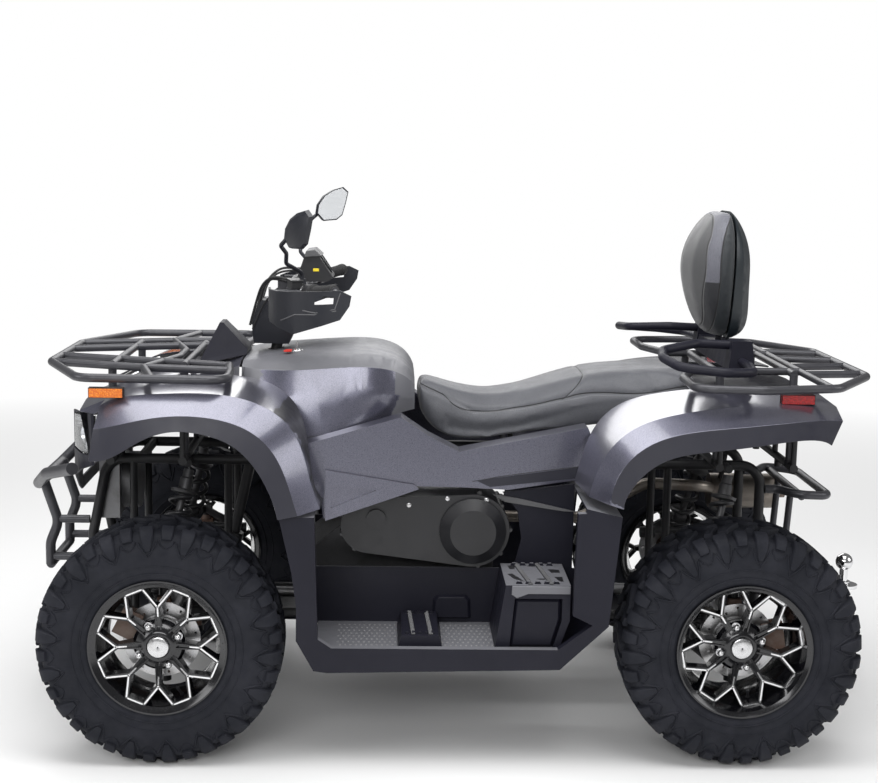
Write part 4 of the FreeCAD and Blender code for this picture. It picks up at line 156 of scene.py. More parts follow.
CAD_BOX = [list(corner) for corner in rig.bounds()]

import json
import logging
import math
from collections.abc import Callable
from dataclasses import dataclass, field
from enum import Enum

import bmesh
import bpy
from mathutils import Matrix, Vector
from mathutils.bvhtree import BVHTree

LOG = logging.getLogger("quad_bike")
SIZE_FILE = "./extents.json"
FRONT_AXLE, WHEELBASE, HALF_WIDTH, DECK_HEIGHT = 0.771, 1.480, 0.590, 0.950
REAR_AXLE = FRONT_AXLE - WHEELBASE
WHEEL_RADIUS = 0.3125
FRAME_SIZE = (878, 783)
Colour = tuple[float, float, float]


class Side(Enum):
    """The rider's left or right, with its sign along Y."""

    LEFT = 1
    RIGHT = -1

    @property
    def word(self) -> str:
        """The side's name as the frame's bodies and nodes spell it."""
        return self.name.lower()


class Edge(Enum):
    """How a carried-over form's edges are finished."""

    ROUNDED = "rounded"
    SMOOTH = "smooth"


class ShaderBuilder:
    """Builds one procedural material around a Principled shader."""

    def __init__(self, name: str) -> None:
        """Start a material.

        Args:
            name: the material's name.
        """
        self.material = bpy.data.materials.new(name)
        self.material.use_nodes = True
        self.tree = self.material.node_tree
        self.nodes = self.tree.nodes
        self.links = self.tree.links
        self.shader = self.nodes["Principled BSDF"]
        self.place = self.nodes.new("ShaderNodeTexCoord").outputs["Object"]

    def plain(self, **values: float | tuple) -> None:
        """Set shader inputs that are the same all over, by name with underscores for spaces."""
        for name, value in values.items():
            if isinstance(value, tuple):
                value = (*value, 1.0)
            self.shader.inputs[name.replace("_", " ")].default_value = value

    def wire(self, name: str, socket: bpy.types.NodeSocket) -> None:
        """Link a socket to a shader input."""
        self.links.new(socket, self.shader.inputs[name])

    def stretched(self, scale: tuple[float, float, float], turn: float = 0.0) -> bpy.types.NodeSocket:
        """Scale the object coordinates along each axis.

        Args:
            scale: the factor along X, Y and Z.
            turn: a turn about Y in radians.

        Returns:
            The scaled coordinates.
        """
        mapping = self.nodes.new("ShaderNodeMapping")
        mapping.inputs["Scale"].default_value = scale
        mapping.inputs["Rotation"].default_value = (0.0, turn, 0.0)
        self.links.new(self.place, mapping.inputs["Vector"])
        return mapping.outputs["Vector"]

    def noise(self, scale: float, detail: float = 3.0, rough: float = 0.55,
              place: bpy.types.NodeSocket | None = None) -> bpy.types.NodeSocket:
        """Add noise.

        Args:
            scale: its frequency.
            detail: its number of octaves.
            rough: how strong the finer octaves are.
            place: other coordinates than the object's.

        Returns:
            The noise value.
        """
        node = self.nodes.new("ShaderNodeTexNoise")
        node.inputs["Scale"].default_value = scale
        node.inputs["Detail"].default_value = detail
        node.inputs["Roughness"].default_value = rough
        self.links.new(place or self.place, node.inputs["Vector"])
        return node.outputs["Fac"]

    def cells(self, scale: float, feature: str = "DISTANCE_TO_EDGE",
              place: bpy.types.NodeSocket | None = None) -> bpy.types.NodeSocket:
        """Add a Voronoi pattern and return its distance."""
        node = self.nodes.new("ShaderNodeTexVoronoi")
        node.feature = feature
        node.inputs["Scale"].default_value = scale
        self.links.new(place or self.place, node.inputs["Vector"])
        return node.outputs["Distance"]

    def level(self, value: bpy.types.NodeSocket, low: float, high: float,
              to_low: float = 0.0, to_high: float = 1.0) -> bpy.types.NodeSocket:
        """Map a value from one range to another, clamped."""
        node = self.nodes.new("ShaderNodeMapRange")
        for name, number in (("From Min", low), ("From Max", high), ("To Min", to_low), ("To Max", to_high)):
            node.inputs[name].default_value = number
        self.links.new(value, node.inputs["Value"])
        return node.outputs["Result"]

    def blend(self, share: bpy.types.NodeSocket, first: Colour | bpy.types.NodeSocket,
              second: Colour | bpy.types.NodeSocket) -> bpy.types.NodeSocket:
        """Mix two colours by a value and return the colour."""
        node = self.nodes.new("ShaderNodeMix")
        node.data_type = "RGBA"
        self.links.new(share, node.inputs["Factor"])
        for name, colour in (("A", first), ("B", second)):
            socket = next(s for s in node.inputs if s.name == name and s.type == "RGBA")
            if isinstance(colour, tuple):
                socket.default_value = (*colour, 1.0)
            else:
                self.links.new(colour, socket)
        return next(s for s in node.outputs if s.type == "RGBA")

    def product(self, first: bpy.types.NodeSocket, second: bpy.types.NodeSocket | float,
                operation: str = "MULTIPLY") -> bpy.types.NodeSocket:
        """Combine two values by a maths operation."""
        node = self.nodes.new("ShaderNodeMath")
        node.operation = operation
        self.links.new(first, node.inputs[0])
        if isinstance(second, (int, float)):
            node.inputs[1].default_value = second
        else:
            self.links.new(second, node.inputs[1])
        return node.outputs["Value"]

    def bump(self, height: bpy.types.NodeSocket, depth: float, strength: float = 1.0,
             below: bpy.types.NodeSocket | None = None) -> bpy.types.NodeSocket:
        """Turn a height into a normal.

        Args:
            height: the height's value.
            depth: what a height of one measures, in metres.
            strength: how much of it shows.
            below: a normal to add it to.

        Returns:
            The normal.
        """
        node = self.nodes.new("ShaderNodeBump")
        node.inputs["Distance"].default_value = depth
        node.inputs["Strength"].default_value = strength
        self.links.new(height, node.inputs["Height"])
        if below is not None:
            self.links.new(below, node.inputs["Normal"])
        self.links.new(node.outputs["Normal"], self.shader.inputs["Normal"])
        return node.outputs["Normal"]


@dataclass(frozen=True)
class MetallicPaint:
    """Clear-coated metallic body paint with fine flake, orange peel and a little dust."""

    name: str
    colour: Colour
    flake: Colour
    roughness: float = 0.30
    metallic: float = 0.72

    def material(self) -> bpy.types.Material:
        """Build the material."""
        build = ShaderBuilder(self.name)
        flakes = build.level(build.cells(900.0, "F1"), 0.10, 0.75)
        cloud = build.level(build.noise(2.2, 3.0), 0.35, 0.70, 0.0, 0.08)
        base = build.blend(flakes, self.flake, self.colour)
        build.wire("Base Color", build.blend(cloud, base, self.flake))
        wear = build.noise(26.0, 5.0, 0.65)
        build.wire("Roughness", build.level(wear, 0.3, 0.75, self.roughness - 0.02, self.roughness + 0.03))
        build.plain(Metallic=self.metallic, Coat_Weight=1.0, Coat_Roughness=0.13, Coat_IOR=1.5)
        peel = build.bump(build.noise(240.0, 2.0), 0.00003, 0.30)
        build.bump(build.cells(700.0, "F1"), 0.00004, 0.35, peel)
        return build.material


@dataclass(frozen=True)
class MouldedPlastic:
    """Injection-moulded plastic with a spark-eroded grain, faint flow marks and scuffs."""

    name: str
    colour: Colour
    roughness: float
    grain: float = 900.0
    depth: float = 0.00012
    lift: float = 1.5
    specular: float = 0.5

    def material(self) -> bpy.types.Material:
        """Build the material."""
        build = ShaderBuilder(self.name)
        paler = tuple(min(1.0, channel * self.lift + 0.004) for channel in self.colour)
        cloud = build.level(build.noise(4.0, 4.0), 0.38, 0.72, 0.0, 0.55)
        base = build.blend(cloud, self.colour, paler)
        scuff = build.level(build.noise(90.0, 6.0, 0.7, build.stretched((1.0, 0.25, 0.6), 0.5)), 0.62, 0.80,
                            0.0, 0.5)
        build.wire("Base Color", build.blend(scuff, base, paler))
        build.wire("Roughness",
                   build.level(build.noise(30.0, 4.0), 0.3, 0.7, self.roughness - 0.06,
                               self.roughness + 0.08))
        build.plain(Specular_IOR_Level=self.specular)
        grain = build.bump(build.cells(self.grain, "F1"), self.depth, 0.55)
        build.bump(build.noise(14.0, 2.0), 0.0006, 0.10, grain)
        return build.material


@dataclass(frozen=True)
class TyreRubber:
    """Matt tyre rubber with patches and specks of bloom and fine moulding texture."""

    name: str
    colour: Colour
    bloom: Colour

    def material(self) -> bpy.types.Material:
        """Build the material."""
        build = ShaderBuilder(self.name)
        patches = build.level(build.noise(9.0, 6.0, 0.65), 0.42, 0.68)
        specks = build.level(build.noise(160.0, 4.0, 0.7), 0.55, 0.80, 0.0, 0.5)
        base = build.blend(patches, self.colour, self.bloom)
        build.wire("Base Color", build.blend(specks, base, self.bloom))
        build.wire("Roughness", build.level(build.noise(40.0, 3.0), 0.3, 0.7, 0.62, 0.82))
        build.plain(Specular_IOR_Level=0.28)
        fine = build.bump(build.noise(420.0, 4.0, 0.6), 0.0005, 0.30)
        build.bump(build.noise(60.0, 3.0), 0.0009, 0.14, fine)
        return build.material


@dataclass(frozen=True)
class Metal:
    """Bare, plated or coated metal with directional marks and a little dulling."""

    name: str
    colour: Colour
    tarnish: Colour
    roughness: float
    metallic: float = 1.0
    marks: tuple[float, float, float] = (1.0, 1.0, 1.0)
    fineness: float = 180.0
    depth: float = 0.00006
    dulled: tuple[float, float] = (0.50, 0.78)
    coat: float = 0.0

    def material(self) -> bpy.types.Material:
        """Build the material."""
        build = ShaderBuilder(self.name)
        patches = build.level(build.noise(12.0, 6.0, 0.65), *self.dulled)
        build.wire("Base Color", build.blend(patches, self.colour, self.tarnish))
        marks = build.noise(self.fineness, 4.0, 0.6, build.stretched(self.marks))
        build.wire("Roughness",
                   build.level(marks, 0.25, 0.75, max(0.03, self.roughness - 0.07), self.roughness + 0.09))
        build.plain(Metallic=self.metallic, Coat_Weight=self.coat, Coat_Roughness=0.12)
        build.bump(marks, self.depth, 0.5)
        return build.material


@dataclass(frozen=True)
class ClearLens:
    """Clear moulded lens."""

    name: str
    colour: Colour
    roughness: float = 0.04

    def material(self) -> bpy.types.Material:
        """Build the material."""
        build = ShaderBuilder(self.name)
        haze = build.level(build.noise(30.0, 3.0), 0.45, 0.75, 0.0, 0.25)
        build.wire("Base Color", build.blend(haze, self.colour, tuple(c * 0.9 for c in self.colour)))
        build.wire("Roughness",
                   build.level(build.noise(60.0, 3.0), 0.3, 0.8, self.roughness, self.roughness + 0.05))
        build.plain(Transmission_Weight=1.0, IOR=1.45)
        build.bump(build.noise(90.0, 2.0), 0.0001, 0.15)
        return build.material


@dataclass(frozen=True)
class PrismReflector:
    """Coloured reflector: a clear face over a grid of small prisms."""

    name: str
    colour: Colour
    deep: Colour
    pitch: float = 260.0

    def material(self) -> bpy.types.Material:
        """Build the material."""
        build = ShaderBuilder(self.name)
        prisms = build.cells(self.pitch, "F1", build.stretched((1.0, 1.0, 1.0), 0.78))
        build.wire("Base Color", build.blend(build.level(prisms, 0.1, 0.6), self.colour, self.deep))
        build.wire("Roughness", build.level(build.noise(40.0, 2.0), 0.3, 0.7, 0.14, 0.24))
        build.plain(Coat_Weight=1.0, Coat_Roughness=0.03, Specular_IOR_Level=0.6)
        build.bump(prisms, 0.0009, 0.6)
        return build.material


class Palette:
    """Every finish of the quad bike, built once."""

    def __init__(self) -> None:
        """Build the materials by the record's slot names and by names of their own."""
        finishes = [
            MetallicPaint("body_paint", (0.072, 0.072, 0.098), (0.200, 0.199, 0.262)),
            MouldedPlastic("console_plastic", (0.120, 0.121, 0.134), 0.38, lift=1.18),
            MouldedPlastic("hood_side_plastic", (0.085, 0.085, 0.098), 0.36, lift=1.15),
            MouldedPlastic("arch_plastic", (0.020, 0.020, 0.029), 0.40, lift=1.3, specular=0.4),
            # pale step plastic; on the footwell floor and the step lips this paleness is painted light
            MouldedPlastic("step_plastic", (0.130, 0.131, 0.145), 0.46, lift=1.15),
            # grey of the visor and the step teeth; on the guard mouldings and the panel wedges it is a painted
            # highlight
            MouldedPlastic("visor_plastic", (0.085, 0.085, 0.090), 0.40, lift=1.3),
            MouldedPlastic("thread", (0.20, 0.20, 0.205), 0.60, lift=1.2),
            MouldedPlastic("boot_plastic", (0.009, 0.009, 0.016), 0.46, lift=1.3, specular=0.24),
            MouldedPlastic("guard_plastic", (0.010, 0.011, 0.016), 0.36, specular=0.45),
            MouldedPlastic("trim_plastic", (0.012, 0.012, 0.014), 0.36, grain=1500.0, depth=0.00006),
            MouldedPlastic("backrest_shell_plastic", (0.011, 0.016, 0.020), 0.34, lift=1.3),
            Metal("rack_powder_coat", (0.052, 0.052, 0.059), (0.075, 0.075, 0.082), 0.34, 0.35,
                  fineness=700.0,
                  depth=0.00018),
            Metal("frame_paint", (0.014, 0.014, 0.016), (0.028, 0.027, 0.027), 0.45, 0.10, fineness=300.0),
            TyreRubber("tyre_rubber", (0.0075, 0.0085, 0.0135), (0.016, 0.017, 0.024)),
            Metal("wheel_paint", (0.005, 0.005, 0.007), (0.009, 0.009, 0.012), 0.22, 0.35, coat=0.8),
            Metal("machined_metal", (0.80, 0.80, 0.81), (0.66, 0.66, 0.67), 0.22, marks=(1.0, 0.1, 1.0),
                  fineness=420.0),
            Metal("hub_metal", (0.66, 0.66, 0.67), (0.48, 0.47, 0.46), 0.26, fineness=320.0),
            Metal("disc_metal", (0.52, 0.52, 0.53), (0.36, 0.35, 0.34), 0.30, fineness=500.0),
            Metal("cast_metal", (0.30, 0.30, 0.31), (0.17, 0.16, 0.155), 0.52, fineness=240.0, depth=0.0003),
            Metal("engine_metal", (0.10, 0.10, 0.105), (0.055, 0.053, 0.050), 0.50, 0.8, fineness=260.0,
                  depth=0.0003),
            Metal("exhaust_metal", (0.30, 0.27, 0.24), (0.20, 0.14, 0.11), 0.42),
            Metal("rusty_iron", (0.150, 0.088, 0.065), (0.235, 0.185, 0.160), 0.72, 0.35, fineness=190.0,
                  depth=0.0005,
                  dulled=(0.40, 0.66)),
            Metal("chrome_metal", (0.78, 0.78, 0.79), (0.60, 0.60, 0.61), 0.10),
            MouldedPlastic("grip_rubber", (0.014, 0.014, 0.015), 0.66, grain=1800.0),
            ClearLens("lamp_lens", (0.93, 0.95, 0.97)),
            Metal("lamp_silver", (0.82, 0.83, 0.85), (0.70, 0.71, 0.73), 0.12),
            PrismReflector("red_lens", (0.62, 0.020, 0.020), (0.30, 0.008, 0.010)),
            PrismReflector("amber_lens", (0.90, 0.30, 0.020), (0.62, 0.13, 0.010)),
            # mostly diffuse near-white: a painted reflection of the white surround, with some metallic gloss
            Metal("mirror_glass", (0.88, 0.90, 0.92), (0.85, 0.87, 0.89), 0.06, 0.30, fineness=12.0,
                  depth=0.0),
            MouldedPlastic("display_glass", (0.008, 0.009, 0.011), 0.12, depth=0.00001, lift=1.2),
            MouldedPlastic("red_tag", (0.62, 0.035, 0.022), 0.42, lift=1.15),
            MouldedPlastic("yellow_mark", (0.80, 0.62, 0.02), 0.45, lift=1.1),
            MouldedPlastic("pale_plastic", (0.52, 0.53, 0.52), 0.55, lift=1.1),
        ]
        self.materials = {finish.name: finish.material() for finish in finishes}

    def dress(self, piece: bpy.types.Object, name: str) -> bpy.types.Object:
        """Give a piece one material.

        Args:
            piece: the object to dress.
            name: the finish's name.

        Returns:
            The same object.
        """
        piece.data.materials.clear()
        piece.data.materials.append(self.materials[name])
        return piece


PALETTE = Palette()
NODE_SLOT = {part["node"]: part["material_slot"] for part in frame["record"]["subparts"]}


def linked(name: str, data: bpy.types.ID) -> bpy.types.Object:
    """Make an object of some data and link it to the scene."""
    piece = bpy.data.objects.new(name, data)
    bpy.context.scene.collection.objects.link(piece)
    return piece


def add_mesh(name: str, points: list, faces: list) -> bpy.types.Object:
    """Make a mesh object at the origin.

    Args:
        name: the object's name.
        points: its vertices.
        faces: its faces as vertex numbers.

    Returns:
        The new object.
    """
    mesh = bpy.data.meshes.new(name)
    mesh.from_pydata([tuple(point) for point in points], [], faces)
    mesh.update()
    return linked(name, mesh)


def from_bmesh(name: str, form: bmesh.types.BMesh, outward: bool = True) -> bpy.types.Object:
    """Turn a bmesh into an object at the origin, its doubles merged and its faces turned outwards."""
    bmesh.ops.remove_doubles(form, verts=form.verts, dist=1e-6)
    if outward:
        bmesh.ops.recalc_face_normals(form, faces=form.faces)
    mesh = bpy.data.meshes.new(name)
    form.to_mesh(mesh)
    form.free()
    if "custom_normal" in mesh.attributes:
        mesh.attributes.remove(mesh.attributes["custom_normal"])
    return linked(name, mesh)


def soften(piece: bpy.types.Object, degrees: float = 32.0) -> bpy.types.Object:
    """Shade a piece smooth except across edges sharper than an angle."""
    for polygon in piece.data.polygons:
        polygon.use_smooth = True
    piece.data.set_sharp_from_angle(angle=math.radians(degrees))
    return piece


def bevel(piece: bpy.types.Object, width: float, steps: int = 2, degrees: float = 30.0) -> bpy.types.Object:
    """Round a piece's edges with a bevel modifier."""
    modifier = piece.modifiers.new("round", "BEVEL")
    modifier.width = width
    modifier.segments = steps
    modifier.limit_method = "ANGLE"
    modifier.angle_limit = math.radians(degrees)
    modifier.harden_normals = True
    modifier.use_clamp_overlap = True
    return piece


def fixed(piece: bpy.types.Object) -> bpy.types.Object:
    """Apply all of a piece's modifiers to its mesh."""
    graph = bpy.context.evaluated_depsgraph_get()
    mesh = bpy.data.meshes.new_from_object(piece.evaluated_get(graph), preserve_all_data_layers=True,
                                           depsgraph=graph)
    piece.modifiers.clear()
    piece.data = mesh
    return piece


def finished(piece: bpy.types.Object, body: str, finish: str, slot: str,
             replaced: tuple[str, ...] = ()) -> bpy.types.Object:
    """Dress a piece, let it ride on a body and name its slot.

    Args:
        piece: the piece.
        body: the frame's body that carries it.
        finish: the finish's name.
        slot: the record's slot.
        replaced: the frame's nodes that it stands for.

    Returns:
        The same piece.
    """
    PALETTE.dress(piece, finish)
    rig.ride(piece, body)
    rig.slot(piece, slot)
    if replaced:
        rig.replaces(piece, *replaced)
    return piece


def body_of(node: str) -> str:
    """The frame's body that a node belongs to."""
    return next(body for body, members in frame["record"]["behaviour"]["bodies"].items() if node in members)


@dataclass(frozen=True)
class Zone:
    """The faces of a form that take a finish of their own."""

    finish: str
    holds: Callable[[Vector, Vector], bool]


@dataclass
class CarriedForm:
    """A node of the frame carried over as a clean form, with finished edges and finishes by zone.

    It may keep its triangles apart, crease at an angle in degrees, and swell by a length in metres.
    """

    node: str
    edge: Edge
    finish: str = ""
    width: float = 0.0016
    zones: tuple[Zone, ...] = ()
    merge: bool = True
    crease: float = 32.0
    swell: float = 0.0

    def build(self) -> bpy.types.Object:
        """Copy the node, merge its loose triangles and finish its edges.

        Returns:
            The piece that stands for the node.
        """
        form = bmesh.new()
        form.from_mesh(frame["nodes"][self.node].data)
        bmesh.ops.remove_doubles(form, verts=form.verts, dist=1e-5)
        if self.merge and self.edge is not Edge.SMOOTH:
            bmesh.ops.dissolve_limit(form, angle_limit=math.radians(1.0), verts=form.verts, edges=form.edges)
        form.normal_update()
        for vertex in form.verts:
            vertex.co += vertex.normal * self.swell
        piece = from_bmesh(self.node + "_form", form, outward=False)
        soften(piece, self.crease if self.edge is Edge.ROUNDED else 40.0)
        if self.edge is Edge.ROUNDED:
            bevel(piece, self.width)
        slot = NODE_SLOT[self.node]
        finished(piece, body_of(self.node), self.finish or slot, slot, (self.node,))
        for number, zone in enumerate(self.zones, 1):
            piece.data.materials.append(PALETTE.materials[zone.finish])
            for polygon in piece.data.polygons:
                if zone.holds(polygon.center, polygon.normal):
                    polygon.material_index = number
        return piece


@dataclass
class PhotoCamera:
    """The camera at the photograph's place, fitted to the four wheels."""

    place: tuple[float, float, float] = (0.2066, 4.1964, 1.5344)
    yaw: float = 2.0134
    pitch: float = 8.8271
    roll: float = 1.0831
    focal_pixels: float = 1498.6
    sensor: float = 36.0
    axes: dict[str, Vector] = field(default_factory=dict)

    def build(self) -> bpy.types.Object:
        """Make the camera and set it as the scene's."""
        yaw, pitch, roll = (math.radians(angle) for angle in (self.yaw, self.pitch, self.roll))
        ahead = Vector((-math.sin(yaw) * math.cos(pitch), -math.cos(yaw) * math.cos(pitch), -math.sin(pitch)))
        level_right = ahead.cross(Vector((0, 0, 1))).normalized()
        level_up = level_right.cross(ahead)
        right = level_right * math.cos(roll) + level_up * math.sin(roll)
        up = level_up * math.cos(roll) - level_right * math.sin(roll)
        self.axes = {"ahead": ahead, "right": right, "up": up}
        data = bpy.data.cameras.new("photo_camera")
        data.sensor_width = self.sensor
        data.sensor_fit = "HORIZONTAL"
        data.lens = self.focal_pixels / FRAME_SIZE[0] * self.sensor
        data.clip_start = 0.1
        data.clip_end = 200.0
        camera = linked("photo_camera", data)
        turn = Matrix((right, up, -ahead)).transposed()
        camera.matrix_world = Matrix.Translation(self.place) @ turn.to_4x4()
        bpy.context.scene.camera = camera
        return camera

    def ray(self, across: float, down: float) -> tuple[Vector, Vector]:
        """The ray through a place of the photograph.

        Args:
            across: pixels from its left edge.
            down: pixels from its top edge.

        Returns:
            The camera's place and the ray's direction.
        """
        x = (across - FRAME_SIZE[0] / 2) / self.focal_pixels
        y = (FRAME_SIZE[1] / 2 - down) / self.focal_pixels
        direction = self.axes["ahead"] + self.axes["right"] * x + self.axes["up"] * y
        return Vector(self.place), direction.normalized()


@dataclass
class Studio:
    """A pale floor, a white surround and soft lamps."""

    floor_reach: float = 40.0
    fade_start: float = 2.2
    fade_end: float = 5.5
    floor_colour: Colour = (0.80, 0.80, 0.80)
    world_level: float = 0.46
    gloss_share: float = 0.42

    def build(self) -> None:
        """Set the world, the floor, the lamps and the view transform."""
        scene = bpy.context.scene
        scene.view_settings.view_transform = "Standard"
        self._world(scene)
        self._floor()
        self._lamp("overhead", (0.3, 0.6, 3.6), (0.0, 0.0, 0.5), (4.2, 2.4), 138.0)
        self._lamp("camera_side", (0.9, 4.6, 2.6), (0.0, 0.3, 0.5), (3.4, 1.6), 85.0)
        self._lamp("front_side", (4.2, 1.6, 2.2), (0.3, 0.2, 0.6), (2.0, 2.0), 45.0)
        self._lamp("rear_side", (-4.2, 1.4, 2.4), (-0.5, 0.2, 0.6), (2.0, 2.0), 40.0)
        self._lamp("far_side", (0.0, -4.2, 2.8), (0.0, 0.0, 0.7), (4.0, 1.6), 55.0)

    def _world(self, scene: bpy.types.Scene) -> None:
        """White where the camera or a lens sees it, dimmer for glosses, and a plain level for light."""
        world = bpy.data.worlds.new("studio_world")
        world.use_nodes = True
        scene.world = world
        nodes, links = world.node_tree.nodes, world.node_tree.links
        path = nodes.new("ShaderNodeLightPath")
        seen = nodes.new("ShaderNodeMath")
        seen.operation = "MAXIMUM"
        links.new(path.outputs["Is Camera Ray"], seen.inputs[0])
        links.new(path.outputs["Is Transmission Ray"], seen.inputs[1])
        strength = nodes.new("ShaderNodeMapRange")
        strength.inputs["To Min"].default_value = self.world_level
        strength.inputs["To Max"].default_value = 1.0
        links.new(seen.outputs[0], strength.inputs["Value"])
        dimmed = nodes.new("ShaderNodeMapRange")
        dimmed.inputs["To Min"].default_value = 1.0
        dimmed.inputs["To Max"].default_value = self.gloss_share
        links.new(path.outputs["Is Glossy Ray"], dimmed.inputs["Value"])
        level = nodes.new("ShaderNodeMath")
        level.operation = "MULTIPLY"
        links.new(strength.outputs["Result"], level.inputs[0])
        links.new(dimmed.outputs["Result"], level.inputs[1])
        links.new(level.outputs["Value"], nodes["Background"].inputs["Strength"])
        nodes["Background"].inputs["Color"].default_value = (1.0, 1.0, 1.0, 1.0)

    def _floor(self) -> None:
        """A floor that fades into the white surround away from the object."""
        reach = self.floor_reach
        floor = add_mesh("floor",
                         [(-reach, -reach, 0), (reach, -reach, 0), (reach, reach, 0), (-reach, reach, 0)],
                         [(0, 1, 2, 3)])
        build = ShaderBuilder("floor")
        build.plain(Roughness=0.55, Specular_IOR_Level=0.15)
        tone = build.level(build.noise(0.9, 3.0), 0.3, 0.7, 0.0, 0.35)
        build.wire("Base Color",
                   build.blend(tone, self.floor_colour, tuple(c * 0.97 for c in self.floor_colour)))
        nodes, links = build.nodes, build.links
        distance = nodes.new("ShaderNodeVectorMath")
        distance.operation = "LENGTH"
        links.new(build.stretched((0.72, 1.0, 1.0)), distance.inputs[0])
        fade = build.level(distance.outputs["Value"], self.fade_start, self.fade_end)
        path = nodes.new("ShaderNodeLightPath")
        seen = build.product(path.outputs["Is Camera Ray"], path.outputs["Is Transmission Ray"], "MAXIMUM")
        glow = nodes.new("ShaderNodeEmission")
        mix = nodes.new("ShaderNodeMixShader")
        links.new(build.product(fade, seen), mix.inputs["Fac"])
        links.new(build.shader.outputs[0], mix.inputs[1])
        links.new(glow.outputs[0], mix.inputs[2])
        links.new(mix.outputs[0], nodes["Material Output"].inputs["Surface"])
        floor.data.materials.append(build.material)
        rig.stage(floor)

    def _lamp(self, name: str, place: tuple, target: tuple, size: tuple, power: float) -> None:
        """Hang one soft rectangular lamp.

        Args:
            name: the lamp's name.
            place: where it hangs.
            target: where it points.
            size: its width and height.
            power: its power in watts.
        """
        data = bpy.data.lights.new(name, "AREA")
        data.shape = "RECTANGLE"
        data.size, data.size_y = size
        data.energy = power
        lamp = linked(name, data)
        lamp.location = place
        lamp.rotation_mode = "QUATERNION"
        lamp.rotation_quaternion = (Vector(target) - Vector(place)).to_track_quat("-Z", "Y")


def joined(pieces: list[bpy.types.Object], name: str) -> bpy.types.Object:
    """Join pieces into one plain mesh and remove them.

    Args:
        pieces: the pieces, their modifiers already applied.
        name: the new object's name.

    Returns:
        The joined piece, smooth where its parts were.
    """
    form = bmesh.new()
    for piece in pieces:
        form.from_mesh(piece.data)
        bpy.data.objects.remove(piece)
    mesh = bpy.data.meshes.new(name)
    form.to_mesh(mesh)
    form.free()
    return linked(name, mesh)


def geometry_tree(name: str, inputs: dict[str, str]) -> bpy.types.NodeTree:
    """Start a geometry node tree.

    Args:
        name: the tree's name.
        inputs: its named inputs after the geometry, each with its socket's kind.

    Returns:
        The tree with its inputs and its geometry output.
    """
    tree = bpy.data.node_groups.new(name, "GeometryNodeTree")
    for label, kind in {"Geometry": "Geometry", **inputs}.items():
        tree.interface.new_socket(label, in_out="INPUT", socket_type="NodeSocket" + kind)
    tree.interface.new_socket("Geometry", in_out="OUTPUT", socket_type="NodeSocketGeometry")
    return tree


def realize(tree: bpy.types.NodeTree, copies: bpy.types.Node, source: bpy.types.Node,
            result: bpy.types.Node) -> None:
    """End a tree: make its copies real, set their finish and hand them out."""
    real = tree.nodes.new("GeometryNodeRealizeInstances")
    coat = tree.nodes.new("GeometryNodeSetMaterial")
    tree.links.new(copies.outputs[0], real.inputs[0])
    tree.links.new(real.outputs[0], coat.inputs["Geometry"])
    tree.links.new(source.outputs["Finish"], coat.inputs["Material"])
    tree.links.new(coat.outputs[0], result.inputs[0])


def baked(piece: bpy.types.Object, tree: bpy.types.NodeTree, **values: object) -> bpy.types.Object:
    """Run a tree on a piece with its inputs set by name, and make the result a plain mesh.

    Args:
        piece: the piece.
        tree: the geometry node tree.
        values: the inputs' values, by name with underscores for spaces.

    Returns:
        The same object with the tree's result as its mesh.
    """
    modifier = piece.modifiers.new(tree.name, "NODES")
    modifier.node_group = tree
    for item in tree.interface.items_tree:
        key = item.name.replace(" ", "_")
        if item.in_out == "INPUT" and key in values:
            modifier[item.identifier] = values[key]
    return fixed(piece)


class RepeatAround:
    """Geometry nodes that repeat a form round the Y axis."""

    def __init__(self) -> None:
        """Build the tree with its repeats, its first turn and its finish as named inputs."""
        tree = geometry_tree("repeat_around", {"Repeats": "Int", "First Turn": "Float", "Finish": "Material"})
        nodes, link = tree.nodes, tree.links.new
        source, result = nodes.new("NodeGroupInput"), nodes.new("NodeGroupOutput")
        places = nodes.new("GeometryNodeMeshLine")
        places.inputs["Offset"].default_value = (0.0, 0.0, 0.0)
        link(source.outputs["Repeats"], places.inputs["Count"])
        number = nodes.new("GeometryNodeInputIndex")
        step = nodes.new("ShaderNodeMath")
        step.operation = "DIVIDE"
        step.inputs[0].default_value = 2 * math.pi
        link(source.outputs["Repeats"], step.inputs[1])
        turn = nodes.new("ShaderNodeMath")
        turn.operation = "MULTIPLY_ADD"
        link(number.outputs[0], turn.inputs[0])
        link(step.outputs[0], turn.inputs[1])
        link(source.outputs["First Turn"], turn.inputs[2])
        angles = nodes.new("ShaderNodeCombineXYZ")
        link(turn.outputs[0], angles.inputs["Y"])
        copies = nodes.new("GeometryNodeInstanceOnPoints")
        link(places.outputs[0], copies.inputs["Points"])
        link(source.outputs["Geometry"], copies.inputs["Instance"])
        link(angles.outputs[0], copies.inputs["Rotation"])
        realize(tree, copies, source, result)
        self.tree = tree

    def apply(self, piece: bpy.types.Object, repeats: int, first: float = 0.0,
              finish: str = "tyre_rubber") -> bpy.types.Object:
        """Repeat a piece round the Y axis and make the result a plain mesh.

        Args:
            piece: the form of one step, about the axis.
            repeats: how many copies stand round the axis.
            first: the first copy's turn in radians.
            finish: the finish's name.

        Returns:
            The same object with every copy in its mesh.
        """
        return baked(piece, self.tree, Repeats=repeats, First_Turn=first, Finish=PALETTE.materials[finish])


AROUND = RepeatAround()


